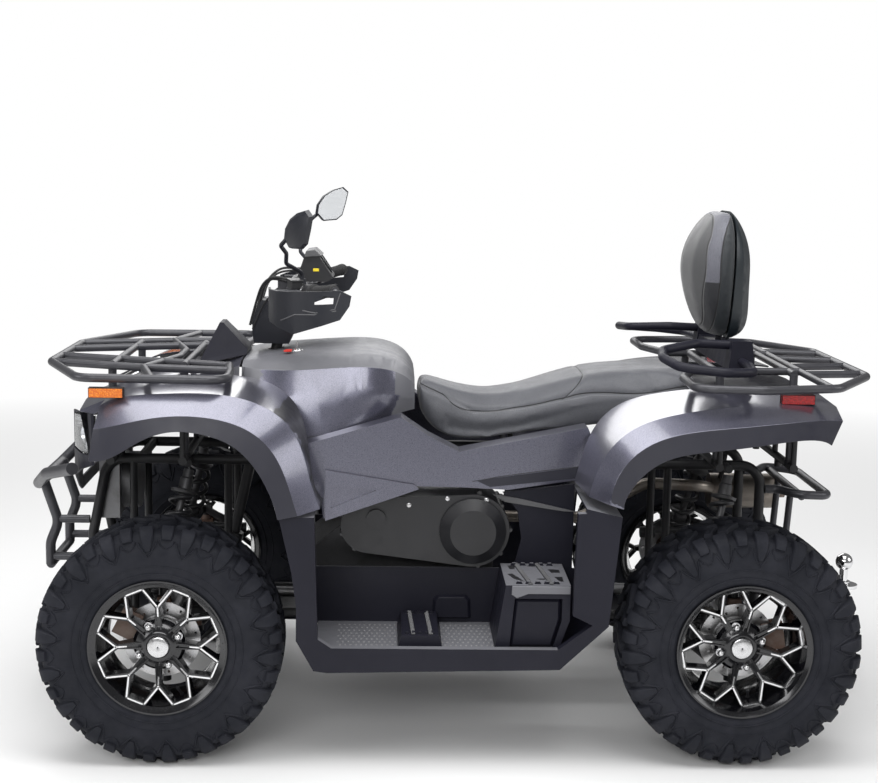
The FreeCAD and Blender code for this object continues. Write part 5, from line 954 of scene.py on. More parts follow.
def lathe(name: str, profile: list[tuple[float, float]], steps: int, closed: bool = True) -> bpy.types.Object:
    """Turn a profile of (radius, across) round the Y axis.

    Args:
        name: the object's name.
        profile: the profile's points in metres.
        steps: how many steps the turn has.
        closed: whether the profile's last point joins its first.

    Returns:
        The turned form about the origin.
    """
    form = bmesh.new()
    rings = []
    for index in range(steps):
        angle = 2 * math.pi * index / steps
        ring = [form.verts.new((radius * math.sin(angle), across, radius * math.cos(angle)))
                for radius, across in profile]
        rings.append(ring)
    for index, ring in enumerate(rings):
        following = rings[(index + 1) % steps]
        last = len(profile) if closed else len(profile) - 1
        for point in range(last):
            after = (point + 1) % len(profile)
            form.faces.new((ring[point], following[point], following[after], ring[after]))
    bmesh.ops.remove_doubles(form, verts=form.verts, dist=1e-6)
    bmesh.ops.dissolve_degenerate(form, edges=form.edges, dist=1e-7)
    return from_bmesh(name, form)


@dataclass
class TyreSection:
    """The cross-section of a tyre's casing from the middle of its crown out to the bead."""

    half: float
    crown: float = 0.2995
    shares: tuple = ((0.0, 0.0), (0.42, 0.001), (0.64, 0.005), (0.78, 0.0145), (0.870, 0.034),
                     (0.915, 0.0545),
                     (0.930, 0.0735), (0.918, 0.0945), (0.890, 0.1115), (0.868, 0.1195), (0.845, 0.1240))

    def samples(self, count: int = 34) -> list[tuple[float, float]]:
        """Points (radius, across) along a smooth line through the section's places."""
        knots = [Vector((share * self.half, self.crown - fall)) for share, fall in self.shares]
        found = []
        for index in range(count + 1):
            place = index / count * (len(knots) - 1)
            low = min(int(place), len(knots) - 2)
            part = place - low
            before, after = knots[max(low - 1, 0)], knots[min(low + 2, len(knots) - 1)]
            first, second = knots[low], knots[low + 1]
            if low == 0:
                before = Vector((-second.x, second.y))
            point = 0.5 * ((2 * first) + (second - before) * part
                           + (2 * before - 5 * first + 4 * second - after) * part ** 2
                           + (3 * first - before - 3 * second + after) * part ** 3)
            found.append((point.y, point.x))
        return found

    def at(self, length: float) -> tuple[Vector, Vector]:
        """The place (across, radius) and the outward normal at a length from the crown's middle."""
        line = self.samples(60)
        sign = -1.0 if length < 0 else 1.0
        left = abs(length)
        for first, second in zip(line, line[1:]):
            run = Vector((second[1] - first[1], second[0] - first[0]))
            if left <= run.length or second is line[-1]:
                share = left / run.length
                place = Vector((first[1], first[0])) + run * share
                normal = Vector((-run.y, run.x)).normalized()
                return Vector((place.x * sign, place.y)), Vector((normal.x * sign, normal.y))
            left -= run.length
        raise ValueError("the length lies beyond the bead")


@dataclass
class Wheel:
    """One wheel: lugged tyre, forked alloy rim with machined edges, cap, nuts and drilled brake disc."""

    end: str
    side: Side
    centre: tuple[float, float, float]
    width: float
    body: str
    pitches: int = 18
    lug_height: float = 0.013
    face: float = 0.080
    spokes: int = 8
    fork: float = 0.104
    arm_end: float = 0.1545
    arm_turn: float = 13.8
    stub: float = 0.078
    turn: float = 0.0
    lugs: tuple = (
        ((0.003, -0.25, 0.0125, 1.0), (0.020, -0.10, 0.0150, 1.0), (0.036, 0.06, 0.0150, 1.0),
         (0.050, 0.13, 0.0120, 1.0)),
        ((0.018, 0.30, 0.0095, 1.0), (0.034, 0.42, 0.0110, 1.0), (0.047, 0.47, 0.0105, 1.0)),
        ((0.060, 0.26, 0.0165, 1.0), (0.072, 0.25, 0.0170, 0.98), (0.084, 0.24, 0.0165, 0.92),
         (0.094, 0.24, 0.0150, 0.75),
         (0.108, 0.24, 0.0120, 0.40), (0.120, 0.24, 0.0085, 0.22)),
        ((0.056, 0.755, 0.0150, 1.0), (0.070, 0.75, 0.0150, 0.98), (0.081, 0.745, 0.0145, 0.88),
         (0.091, 0.745, 0.0130, 0.58)))
    wings: tuple = (
        (0.24, ((0.096, 0.25, 0.0030, 0.0030), (0.108, 0.20, 0.0032, 0.0034), (0.122, 0.10, 0.0032, 0.0030),
                (0.133, 0.015, 0.0030, 0.0024))),
        (0.745, ((0.093, 0.20, 0.0026, 0.0026), (0.104, 0.15, 0.0028, 0.0030),
                 (0.113, 0.03, 0.0028, 0.0022))))

    def build(self) -> None:
        """Build every piece of the wheel and put it on the wheel's body."""
        stem = f"{self.end}_{self.side.word}"
        self._place(self._tyre(), f"{stem}_tread_tyre", "tyre_rubber", "tyre_rubber", (f"{stem}_tyre",))
        self._place(self._rim(), f"{stem}_alloy_rim", "wheel_paint", "wheel_paint", (f"{stem}_rim",))
        self._place(self._edges(), f"{stem}_machined_edges", "machined_metal", "wheel_paint")
        self._place(self._cap_and_nuts(), f"{stem}_cap_and_nuts", "hub_metal", "hub_metal")
        self._place(self._disc(), f"{stem}_brake_disc", "disc_metal", "hub_metal", (f"{stem}_hub",))
        self._place(self._dark_details(), f"{stem}_wheel_details", "trim_plastic", "wheel_paint")

    def _place(self, piece: bpy.types.Object, name: str, finish: str, slot: str,
               replaced: tuple[str, ...] = ()) -> None:
        """Move a form from the wheel's own centre to its place, and finish it."""
        piece.name = name
        piece.data.name = name
        half_turn = Matrix.Rotation(math.pi, 4, "Z") if self.side is Side.RIGHT else Matrix.Identity(4)
        piece.data.transform(Matrix.Translation(self.centre) @ half_turn @ Matrix.Rotation(self.turn, 4, "Y"))
        finished(piece, self.body, finish, slot, replaced)
        LOG.info("%s is on %s", name, self.body)

    def _lug(self, form: bmesh.types.BMesh, section: TyreSection,
             rows: list[tuple[float, float, float, float]]) -> None:
        """Add one closed lug that follows the casing.

        Args:
            form: the mesh to add it to.
            section: the casing's section.
            rows: (length along the section, place along the tread, half width, height), inner end first.
        """
        chamfer, splay, sunk = 0.0022, 0.0028, 0.004
        half = self.width / 2 - 0.0006

        def point(length: float, along: float, height: float) -> bmesh.types.BMVert:
            """One vertex over the casing."""
            place, normal = section.at(length)
            place = place + normal * height
            across = max(-half, min(half, place.x))
            radius = min(place.y, WHEEL_RADIUS)
            angle = along / section.crown
            return form.verts.new((radius * math.sin(angle), across, radius * math.cos(angle)))

        rings = []
        sign = 1.0 if rows[-1][0] > rows[0][0] else -1.0
        full = [((rows[0][0] - sign * splay, rows[0][1], rows[0][2] * 0.98, None))] + rows + [
            (rows[-1][0] + sign * splay, rows[-1][1], rows[-1][2] * 0.98, None)]
        for length, along, wide, height in full:
            if height is None:
                ring = [point(length, along + side * wide, -sunk) for side in (-1, -0.9, -0.8, 0.8, 0.9, 1)]
            else:
                low = height - chamfer
                ring = [point(length, along - wide - splay, -sunk), point(length, along - wide, low),
                        point(length, along - wide + chamfer, height),
                        point(length, along + wide - chamfer, height),
                        point(length, along + wide, low), point(length, along + wide + splay, -sunk)]
            rings.append(ring)
        for first, second in zip(rings, rings[1:]):
            for index in range(6):
                after = (index + 1) % 6
                form.faces.new((first[index], first[after], second[after], second[index]))
        form.faces.new(rings[0])
        form.faces.new(rings[-1][::-1])

    def _tyre(self) -> bpy.types.Object:
        """The casing turned from its section, and one tread step repeated round it."""
        section = TyreSection(self.width / 2)
        line = section.samples(38)
        inner = [(0.166, section.half * 0.80), (0.164, section.half * 0.4)]
        profile = inner[::-1] + line[::-1] + [(radius, -across) for radius, across in line[1:] + inner]
        casing = soften(lathe("casing", profile, 144), 60.0)
        spread = self.width / 0.205
        form = bmesh.new()
        pitch = 2 * math.pi * section.crown / self.pitches
        for sign in (1, -1):
            shift = 0.0 if sign > 0 else pitch * 0.5
            for rows in self.lugs:
                self._lug(form, section, [
                    (sign * length * spread, shift + along * pitch, wide, share * self.lug_height)
                    for length, along, wide, share in rows])
            for wing in (-1, 1):
                for middle, rows in self.wings:
                    self._lug(form, section, [
                        (sign * length * spread, shift + (middle + wing * along) * pitch, wide, high)
                        for length, along, wide, high in rows])
        step = from_bmesh("tread_step", form)
        step = soften(AROUND.apply(step, self.pitches), 34.0)
        rings = []
        for share, rise in ((0.905, 0.0022), (0.80, 0.0012)):
            place, normal = section.at(share * self._section_length(section))
            for sign in (1, -1):
                middle = (place.y + normal.y * rise * 0.2, sign * (place.x + normal.x * rise * 0.2))
                loop = [(middle[0] + rise * math.cos(a), middle[1] + rise * math.sin(a))
                        for a in (2 * math.pi * k / 8 for k in range(8))]
                rings.append(soften(lathe("bead_ring", loop, 144), 60.0))
        return joined([casing, step] + rings, "tyre_form")

    @staticmethod
    def _section_length(section: TyreSection) -> float:
        """The section's length from the crown's middle to the bead."""
        line = section.samples(60)
        return sum(math.hypot(b[0] - a[0], b[1] - a[1]) for a, b in zip(line, line[1:]))

    def _rib(self, form: bmesh.types.BMesh, start: tuple, end: tuple, wide: tuple, front: tuple, back: tuple,
             draft: float = 1.45) -> None:
        """Add one straight tapered rib in the wheel's plane.

        Args:
            form: the mesh to add it to.
            start: its first end (x, z).
            end: its second end (x, z).
            wide: its front face's width at both ends.
            front: how far out its front face lies at both ends.
            back: how far out its back lies at both ends.
            draft: how much wider its back is.
        """
        first, second = Vector(start), Vector(end)
        run = (second - first).normalized()
        side = Vector((-run.y, run.x))
        corners = []
        for place, width, high, low in ((first, wide[0], front[0], back[0]),
                                        (second, wide[1], front[1], back[1])):
            for depth, factor in ((high, 0.5), (low, 0.5 * draft)):
                for sign in (1, -1):
                    spot = place + side * (sign * width * factor)
                    corners.append(form.verts.new((spot.x, depth, spot.y)))
        for face in ((0, 1, 5, 4), (2, 6, 7, 3), (0, 4, 6, 2), (1, 3, 7, 5), (0, 2, 3, 1), (4, 5, 7, 6)):
            form.faces.new([corners[index] for index in face])

    def _spot(self, radius: float, degrees: float) -> tuple[float, float]:
        """A place in the wheel's plane by radius and turn from the top."""
        angle = math.radians(degrees)
        return radius * math.sin(angle), radius * math.cos(angle)

    def _rim(self) -> bpy.types.Object:
        """Barrel, forked spokes, hub pad and ridges along the spokes."""
        lip = self.width / 2 * 0.9
        half = self.width / 2
        inner = 0.154
        profile = [(0.1742, lip - 0.0005), (0.1745, lip - 0.003), (0.1735, lip - 0.006),
                   (0.1650, lip - 0.0075),
                   (0.1600, lip - 0.013), (0.1595, half * 0.52), (0.1460, half * 0.36),
                   (0.1460, -half * 0.36),
                   (0.1595, -half * 0.52), (0.1600, -lip + 0.013), (0.1735, -lip + 0.006),
                   (0.1742, -lip + 0.0005),
                   (0.1700, -lip), (0.1545, -lip + 0.009), (0.1400, -half * 0.36), (0.1400, half * 0.36),
                   (inner, self.face - 0.012), (inner + 0.0015, self.face + 0.001), (0.1600, lip - 0.008),
                   (0.1665, lip - 0.0035), (0.1700, lip - 0.0005)]
        barrel = soften(lathe("barrel", profile, 120), 38.0)
        form = bmesh.new()
        front, back = self.face, self.face - 0.025
        hub_front = self.face - 0.013
        for number in range(self.spokes):
            middle = 360.0 / self.spokes * number
            fork = self._spot(self.fork, middle)
            self._rib(form, self._spot(0.050, middle), fork, (0.0200, 0.0115), (hub_front - 0.001, front),
                      (0.030, back), 1.3)
            for sign in (-1, 1):
                tip = self._spot(self.arm_end, middle + sign * self.arm_turn)
                self._rib(form, self._spot(self.fork - 0.004, middle), tip, (0.0095, 0.0100), (front, front),
                          (back, back - 0.004))
                beyond = self._spot(0.160, middle + sign * (self.arm_turn + 0.4))
                self._rib(form, tip, beyond, (0.0110, 0.0120), (front - 0.0005, front - 0.0015),
                          (back, back - 0.004))
            first = self._spot(self.arm_end, middle + self.arm_turn)
            second = self._spot(self.arm_end, middle + 360.0 / self.spokes - self.arm_turn)
            self._rib(form, first, second, (0.0100, 0.0100), (front, front), (back, back))
        spokes = from_bmesh("spokes", form)
        bevel(soften(spokes, 30.0), 0.0011, 2)
        spokes = fixed(spokes)
        pad = soften(lathe("hub_pad", [(0.0, hub_front - 0.004), (0.0, 0.022), (0.060, 0.022), (0.066, 0.032),
                                       (0.066, hub_front - 0.014), (0.058, hub_front - 0.004),
                                       (0.045, hub_front),
                                       (0.040, hub_front + 0.006), (0.034, hub_front + 0.0085),
                                       (0.030, hub_front + 0.0085),
                                       (0.0285, hub_front + 0.004), (0.0, hub_front + 0.004)], 96, False),
                                       34.0)
        ridges = bmesh.new()
        for number in range(self.spokes):
            middle = 360.0 / self.spokes * number
            for sign in (-1, 1):
                self._rib(ridges, self._spot(0.040, middle + sign * 9),
                          self._spot(self.fork - 0.010, middle + sign * 2.4),
                          (0.0042, 0.0030), (hub_front + 0.002, front + 0.0004), (0.040, back), 1.2)
        ridge = from_bmesh("ridges", ridges)
        bevel(soften(ridge, 30.0), 0.0008, 2)
        return joined([barrel, spokes, pad, fixed(ridge)], "rim_form")

    def _edges(self) -> bpy.types.Object:
        """The bright machined lines along the front of each fork and between neighbouring forks."""
        form = bmesh.new()
        front = self.face + 0.0007
        wide = 0.0040
        for number in range(self.spokes):
            middle = 360.0 / self.spokes * number
            fork = self._spot(self.fork, middle)
            self._rib(form, self._spot(self.stub, middle), fork, (0.0032, wide * 1.1),
                      (front - 0.0060, front), (front - 0.0072, front - 0.0015), 1.0)
            tips = [self._spot(self.arm_end, middle + sign * self.arm_turn) for sign in (-1, 1)]
            for tip in tips:
                self._rib(form, fork, tip, (wide, wide), (front, front), (front - 0.0015, front - 0.0015),
                          1.0)
            after = self._spot(self.arm_end, middle + 360.0 / self.spokes - self.arm_turn)
            self._rib(form, tips[1], after, (wide * 0.95, wide * 0.95), (front, front),
                      (front - 0.0015, front - 0.0015), 1.0)
            for spot, radius in [(fork, wide * 0.78)] + [(tip, wide * 0.52) for tip in tips]:
                bmesh.ops.create_cone(form, cap_ends=True, segments=16, radius1=radius, radius2=radius,
                                      depth=0.0015,
                                      matrix=Matrix.Translation((spot[0], front - 0.00075, spot[1]))
                                      @ Matrix.Rotation(math.pi / 2, 4, "X"))
        piece = from_bmesh("edges", form)
        return soften(piece, 30.0)

    def _cap_and_nuts(self) -> bpy.types.Object:
        """The bright cap with its centre hole, and the domed wheel nuts."""
        base = self.face - 0.013 + 0.004
        top = base + 0.012
        cap = soften(lathe("cap",
                           [(0.0022, top - 0.004), (0.0022, top - 0.0004), (0.0032, top), (0.0235, top),
                                   (0.0262, top - 0.0016), (0.0266, top - 0.0030), (0.0266, base),
                                   (0.0022, base)], 72), 34.0)
        form = bmesh.new()
        for number in range(4):
            x, z = self._spot(0.055, 27 + 90 * number)
            turn = Matrix.Rotation(-math.pi / 2, 4, "X")
            foot = self.face - 0.016
            for sides, low, high, depth, shift in ((6, 0.0098, 0.0092, 0.009, 0.0045),
                                                   (24, 0.0112, 0.0112, 0.002, 0.0)):
                bmesh.ops.create_cone(form, cap_ends=True, segments=sides, radius1=low, radius2=high,
                                      depth=depth,
                                      matrix=Matrix.Translation((x, foot + shift, z)) @ turn)
            bmesh.ops.create_uvsphere(form, u_segments=20, v_segments=10, radius=0.0084,
                                      matrix=Matrix.Translation((x, foot + 0.0085, z)) @ turn)
        nuts = fixed(bevel(soften(from_bmesh("nuts", form), 35.0), 0.0006, 2))
        return joined([cap, nuts], "cap_form")

    def _disc(self) -> bpy.types.Object:
        """The drilled brake disc with its carrier and the stub shaft."""
        steps, low, high = 16, 0.066, 0.098
        back, front = 0.0100, 0.0140
        form = bmesh.new()
        hole = 0.0040
        turn = 2 * math.pi / steps
        for number in range(steps):
            middle = turn * (number + 0.5)
            radius = 0.0775 if number % 2 else 0.0872
            centre = Vector((radius * math.sin(middle), radius * math.cos(middle)))
            outline = []
            for index in range(5):
                angle = turn * (number + index / 4)
                outline.append(Vector((high * math.sin(angle), high * math.cos(angle))))
            for index in range(5):
                angle = turn * (number + 1 - index / 4)
                outline.append(Vector((low * math.sin(angle), low * math.cos(angle))))
            inner = [centre + (point - centre).normalized() * hole for point in outline]
            for depth, flip in ((front, False), (back, True)):
                outer_verts = [form.verts.new((p.x, depth, p.y)) for p in outline]
                inner_verts = [form.verts.new((p.x, depth, p.y)) for p in inner]
                for index in range(10):
                    after = (index + 1) % 10
                    quad = (outer_verts[index], outer_verts[after], inner_verts[after], inner_verts[index])
                    form.faces.new(quad if flip else quad[::-1])
            for index in range(10):
                after = (index + 1) % 10
                quad = [form.verts.new((p.x, d, p.y))
                        for p, d in ((inner[index], front), (inner[after], front),
                                                                 (inner[after], back), (inner[index], back))]
                form.faces.new(quad)
            for index in list(range(4)) + list(range(5, 9)):
                after = index + 1
                quad = [form.verts.new((p.x, d, p.y))
                        for p, d in ((outline[index], front), (outline[index], back),
                                                                 (outline[after], back),
                                                                 (outline[after], front))]
                form.faces.new(quad)
        disc = soften(from_bmesh("disc", form), 30.0)
        carrier = soften(lathe("carrier",
                               [(0.0, -0.008), (0.021, -0.008), (0.021, 0.009), (0.060, 0.009),
                                (0.0665, 0.0105),
                                           (0.0665, 0.0135), (0.056, 0.0155), (0.056, 0.0218), (0.0, 0.0218)],
                                           64, False), 34.0)
        return joined([disc, carrier], "disc_form")

    def _dark_details(self) -> bpy.types.Object:
        """The cap's centre hole and the valve on the barrel."""
        base = self.face - 0.013
        hole = soften(lathe("hole",
                            [(0.0, base + 0.0125), (0.0021, base + 0.0125), (0.0021, base + 0.006),
                             (0.0, base + 0.006)],
                            20, False), 34.0)
        form = bmesh.new()
        x, z = self._spot(0.146, 202.5)
        direction = Vector((-x, 0.10, -z)).normalized()
        turn = direction.to_track_quat("Z", "Y").to_matrix().to_4x4()
        place = Vector((x, self.face - 0.034, z))
        for radius, depth, shift in ((0.0052, 0.010, 0.002), (0.0032, 0.026, 0.016), (0.0040, 0.010, 0.030)):
            bmesh.ops.create_cone(form, cap_ends=True, segments=16, radius1=radius, radius2=radius * 0.94,
                                  depth=depth,
                                  matrix=Matrix.Translation(place + direction * shift) @ turn)
        valve = soften(from_bmesh("valve", form), 34.0)
        return joined([hole, valve], "details_form")


CAMERA = PhotoCamera()


class NodeSurface:
    """The skin of some of the frame's nodes, for setting pieces on it."""

    def __init__(self, *nodes: str) -> None:
        """Gather the nodes' faces.

        Args:
            nodes: the nodes' names.
        """
        points, faces = [], []
        for node in nodes:
            mesh = frame["nodes"][node].data
            start = len(points)
            points += [vertex.co.copy() for vertex in mesh.vertices]
            faces += [[start + index for index in polygon.vertices] for polygon in mesh.polygons]
        self.tree = BVHTree.FromPolygons(points, faces)

    def seen_at(self, across: float, down: float) -> tuple[Vector, Vector]:
        """The place and normal of the skin that the photograph shows at a pixel."""
        start, direction = CAMERA.ray(across, down)
        place, normal = self.tree.ray_cast(start, direction)[:2]
        if place is None:
            raise ValueError(f"no skin at pixel {across}, {down}")
        return place, normal if normal.dot(direction) < 0 else -normal

    def toward(self, start: tuple, direction: tuple) -> tuple[Vector, Vector]:
        """The place and normal where a line from a point first meets the skin."""
        heading = Vector(direction).normalized()
        place, normal = self.tree.ray_cast(Vector(start), heading)[:2]
        if place is None:
            raise ValueError(f"no skin from {start} along {direction}")
        return place, normal if normal.dot(heading) < 0 else -normal


def mirrored(place: Vector, normal: Vector) -> tuple[Vector, Vector]:
    """The same place and normal on the other side of the vehicle."""
    return Vector((place.x, -place.y, place.z)), Vector((normal.x, -normal.y, normal.z))


class SetOnPoints:
    """Geometry nodes that set a form on each point, its +Z along the point's facing."""

    def __init__(self) -> None:
        """Build the tree with the form, its size and its finish as named inputs."""
        tree = geometry_tree("set_on_points", {"Form": "Object", "Size": "Float", "Finish": "Material"})
        nodes, link = tree.nodes, tree.links.new
        source, result = nodes.new("NodeGroupInput"), nodes.new("NodeGroupOutput")
        picked = nodes.new("GeometryNodeObjectInfo")
        link(source.outputs["Form"], picked.inputs["Object"])
        facing, heading = (nodes.new("GeometryNodeInputNamedAttribute") for _ in range(2))
        for node, name in ((facing, "facing"), (heading, "heading")):
            node.data_type = "FLOAT_VECTOR"
            node.inputs["Name"].default_value = name
        upright = nodes.new("FunctionNodeAlignRotationToVector")
        upright.axis = "Z"
        link(facing.outputs["Attribute"], upright.inputs["Vector"])
        along = nodes.new("FunctionNodeAlignRotationToVector")
        along.axis = "X"
        along.pivot_axis = "Z"
        link(upright.outputs[0], along.inputs["Rotation"])
        link(heading.outputs["Attribute"], along.inputs["Vector"])
        copies = nodes.new("GeometryNodeInstanceOnPoints")
        link(source.outputs["Geometry"], copies.inputs["Points"])
        link(picked.outputs["Geometry"], copies.inputs["Instance"])
        link(along.outputs[0], copies.inputs["Rotation"])
        link(source.outputs["Size"], copies.inputs["Scale"])
        realize(tree, copies, source, result)
        self.tree = tree

    def place(self, name: str, form: bpy.types.Object, spots: list[tuple[Vector, Vector]], finish: str,
              size: float = 1.0, heading: tuple = (1.0, 0.0, 0.0)) -> bpy.types.Object:
        """Set a form on every spot and make the result a plain mesh.

        Args:
            name: the new piece's name.
            form: the form, its foot at the origin and its top along +Z; it is kept.
            spots: the places and the directions that the form faces there.
            finish: the finish's name.
            size: the form's scale.
            heading: where the form's +X points.

        Returns:
            The piece with every copy in its mesh.
        """
        piece = add_mesh(name, [spot[0] for spot in spots], [])
        for key, values in (("facing", [spot[1] for spot in spots]),
                            ("heading", [Vector(heading)] * len(spots))):
            layer = piece.data.attributes.new(key, "FLOAT_VECTOR", "POINT")
            layer.data.foreach_set("vector", [number for value in values for number in value])
        return baked(piece, self.tree, Form=form, Size=size, Finish=PALETTE.materials[finish])


ON_POINTS = SetOnPoints()


class Fastener(Enum):
    """The kinds of small heads used on the vehicle."""

    HEX = "hex"
    DOME = "dome"
    DOT = "dot"
    STITCH = "stitch"


def fastener_form(kind: Fastener) -> bpy.types.Object:
    """Build one small head with its foot at the origin.

    Args:
        kind: which head.

    Returns:
        The form, to be removed after use.
    """
    form = bmesh.new()
    rows = {
        Fastener.HEX: [(20, 0.0078, 0.0078, 0.0, 0.0016), (6, 0.0062, 0.0062, 0.0016, 0.0058)],
        Fastener.DOME: [(20, 0.0066, 0.0066, -0.001, 0.0012), (20, 0.0064, 0.0052, 0.0012, 0.0030),
                        (20, 0.0052, 0.0026, 0.0030, 0.0038)],
        Fastener.DOT: [(10, 0.0035, 0.0028, -0.001, 0.0016)],
        Fastener.STITCH: [(6, 0.00055, 0.00055, -0.0018, 0.0018)],
    }[kind]
    for sides, low, high, start, end in rows:
        bmesh.ops.create_cone(form, cap_ends=True, segments=sides, radius1=low, radius2=high,
                              depth=end - start,
                              matrix=Matrix.Translation((0, 0, (start + end) / 2)))
    if kind is Fastener.HEX:
        bmesh.ops.create_cone(form, cap_ends=True, segments=12, radius1=0.0030, radius2=0.0030, depth=0.0004,
                              matrix=Matrix.Translation((0, 0, 0.0060)))
    if kind is Fastener.STITCH:
        bmesh.ops.rotate(form, cent=(0, 0, 0), matrix=Matrix.Rotation(math.pi / 2, 3, "Y"), verts=form.verts)
    piece = soften(from_bmesh(kind.value + "_head", form), 35.0)
    return piece


@dataclass
class FastenerSet:
    """Heads of one kind on one body, each at a pixel of the photograph or facing a place."""

    name: str
    kind: Fastener
    finish: str
    slot: str
    body: str
    surface: tuple[str, ...]
    pixels: tuple[tuple[float, float], ...] = ()
    faced: tuple[tuple[tuple, tuple], ...] = ()
    both: bool = True
    size: float = 1.0

    def build(self) -> bpy.types.Object:
        """Find the spots on the surface and set the heads on them."""
        skin = NodeSurface(*self.surface)
        spots = [skin.seen_at(*pixel) for pixel in self.pixels]
        spots += [skin.toward(start, direction) for start, direction in self.faced]
        if self.both:
            spots += [mirrored(*spot) for spot in spots]
        form = fastener_form(self.kind)
        piece = ON_POINTS.place(self.name, form, spots, self.finish, self.size)
        bpy.data.objects.remove(form)
        return finished(soften(piece, 35.0), self.body, self.finish, self.slot)


def smooth_tube(name: str, points: list, radius: float, sides: int = 12, closed: bool = False,
                straight: bool = False) -> bpy.types.Object:
    """Run a round tube along a smooth line through control points.

    Args:
        name: the object's name.
        points: the control points.
        radius: the tube's radius.
        sides: how many sides its section has.
        closed: whether the line joins up.
        straight: whether its corners stay sharp.

    Returns:
        The tube as a plain mesh.
    """
    curve = bpy.data.curves.new(name, "CURVE")
    curve.dimensions = "3D"
    spline = curve.splines.new("POLY" if straight else "NURBS")
    spline.points.add(len(points) - 1)
    for spot, point in zip(spline.points, points):
        spot.co = (*point, 1.0)
    if not straight:
        spline.order_u = 3
        spline.use_endpoint_u = not closed
        spline.resolution_u = 6
    spline.use_cyclic_u = closed
    curve.bevel_depth = radius
    curve.bevel_resolution = max(1, sides // 4)
    curve.use_fill_caps = True
    holder = linked(name, curve)
    mesh = bpy.data.meshes.new_from_object(holder.evaluated_get(bpy.context.evaluated_depsgraph_get()))
    bpy.data.objects.remove(holder)
    return soften(linked(name, mesh), 50.0)


def turned_along(name: str, start: tuple, end: tuple, profile: list[tuple[float, float]],
                 steps: int = 32) -> bpy.types.Object:
    """Turn a profile of (distance, radius) round a line.

    Args:
        name: the object's name.
        start: where the distance is zero.
        end: the line's other end.
        profile: the profile's points in metres.
        steps: how many steps the turn has.

    Returns:
        The turned form.
    """
    first, second = Vector(start), Vector(end)
    turn = (second - first).to_track_quat("Z", "Y").to_matrix()
    form = bmesh.new()
    rings = []
    for distance, radius in profile:
        ring = [form.verts.new(first + turn @ Vector((radius * math.cos(a), radius * math.sin(a), distance)))
                for a in (2 * math.pi * k / steps for k in range(steps))]
        rings.append(ring)
    for before, after in zip(rings, rings[1:]):
        for index in range(steps):
            following = (index + 1) % steps
            form.faces.new((before[index], before[following], after[following], after[index]))
    form.faces.new(rings[0][::-1])
    form.faces.new(rings[-1])
    return soften(from_bmesh(name, form), 35.0)


def sloped_block(name: str, low: list[tuple], high: list[tuple], width: float = 0.0015) -> bpy.types.Object:
    """A closed form between two outlines of equal length, with rounded edges applied.

    Args:
        name: the object's name.
        low: the first outline.
        high: the second outline.
        width: how wide its edges are rounded.

    Returns:
        The form as a plain mesh.
    """
    form = bmesh.new()
    first = [form.verts.new(point) for point in low]
    second = [form.verts.new(point) for point in high]
    count = len(first)
    for index in range(count):
        after = (index + 1) % count
        form.faces.new((first[index], first[after], second[after], second[index]))
    form.faces.new(first[::-1])
    form.faces.new(second)
    piece = soften(from_bmesh(name, form), 30.0)
    return fixed(bevel(piece, width, 2, 25.0)) if width else piece


@dataclass(frozen=True)
class SeamLine:
    """A seam on upholstery, drawn as a line in the side view.

    The line gives one coordinate from another: its height along the length, or its station over the height.
    """

    points: tuple[tuple[float, float], ...]
    over_height: bool = False
    start: float | None = None


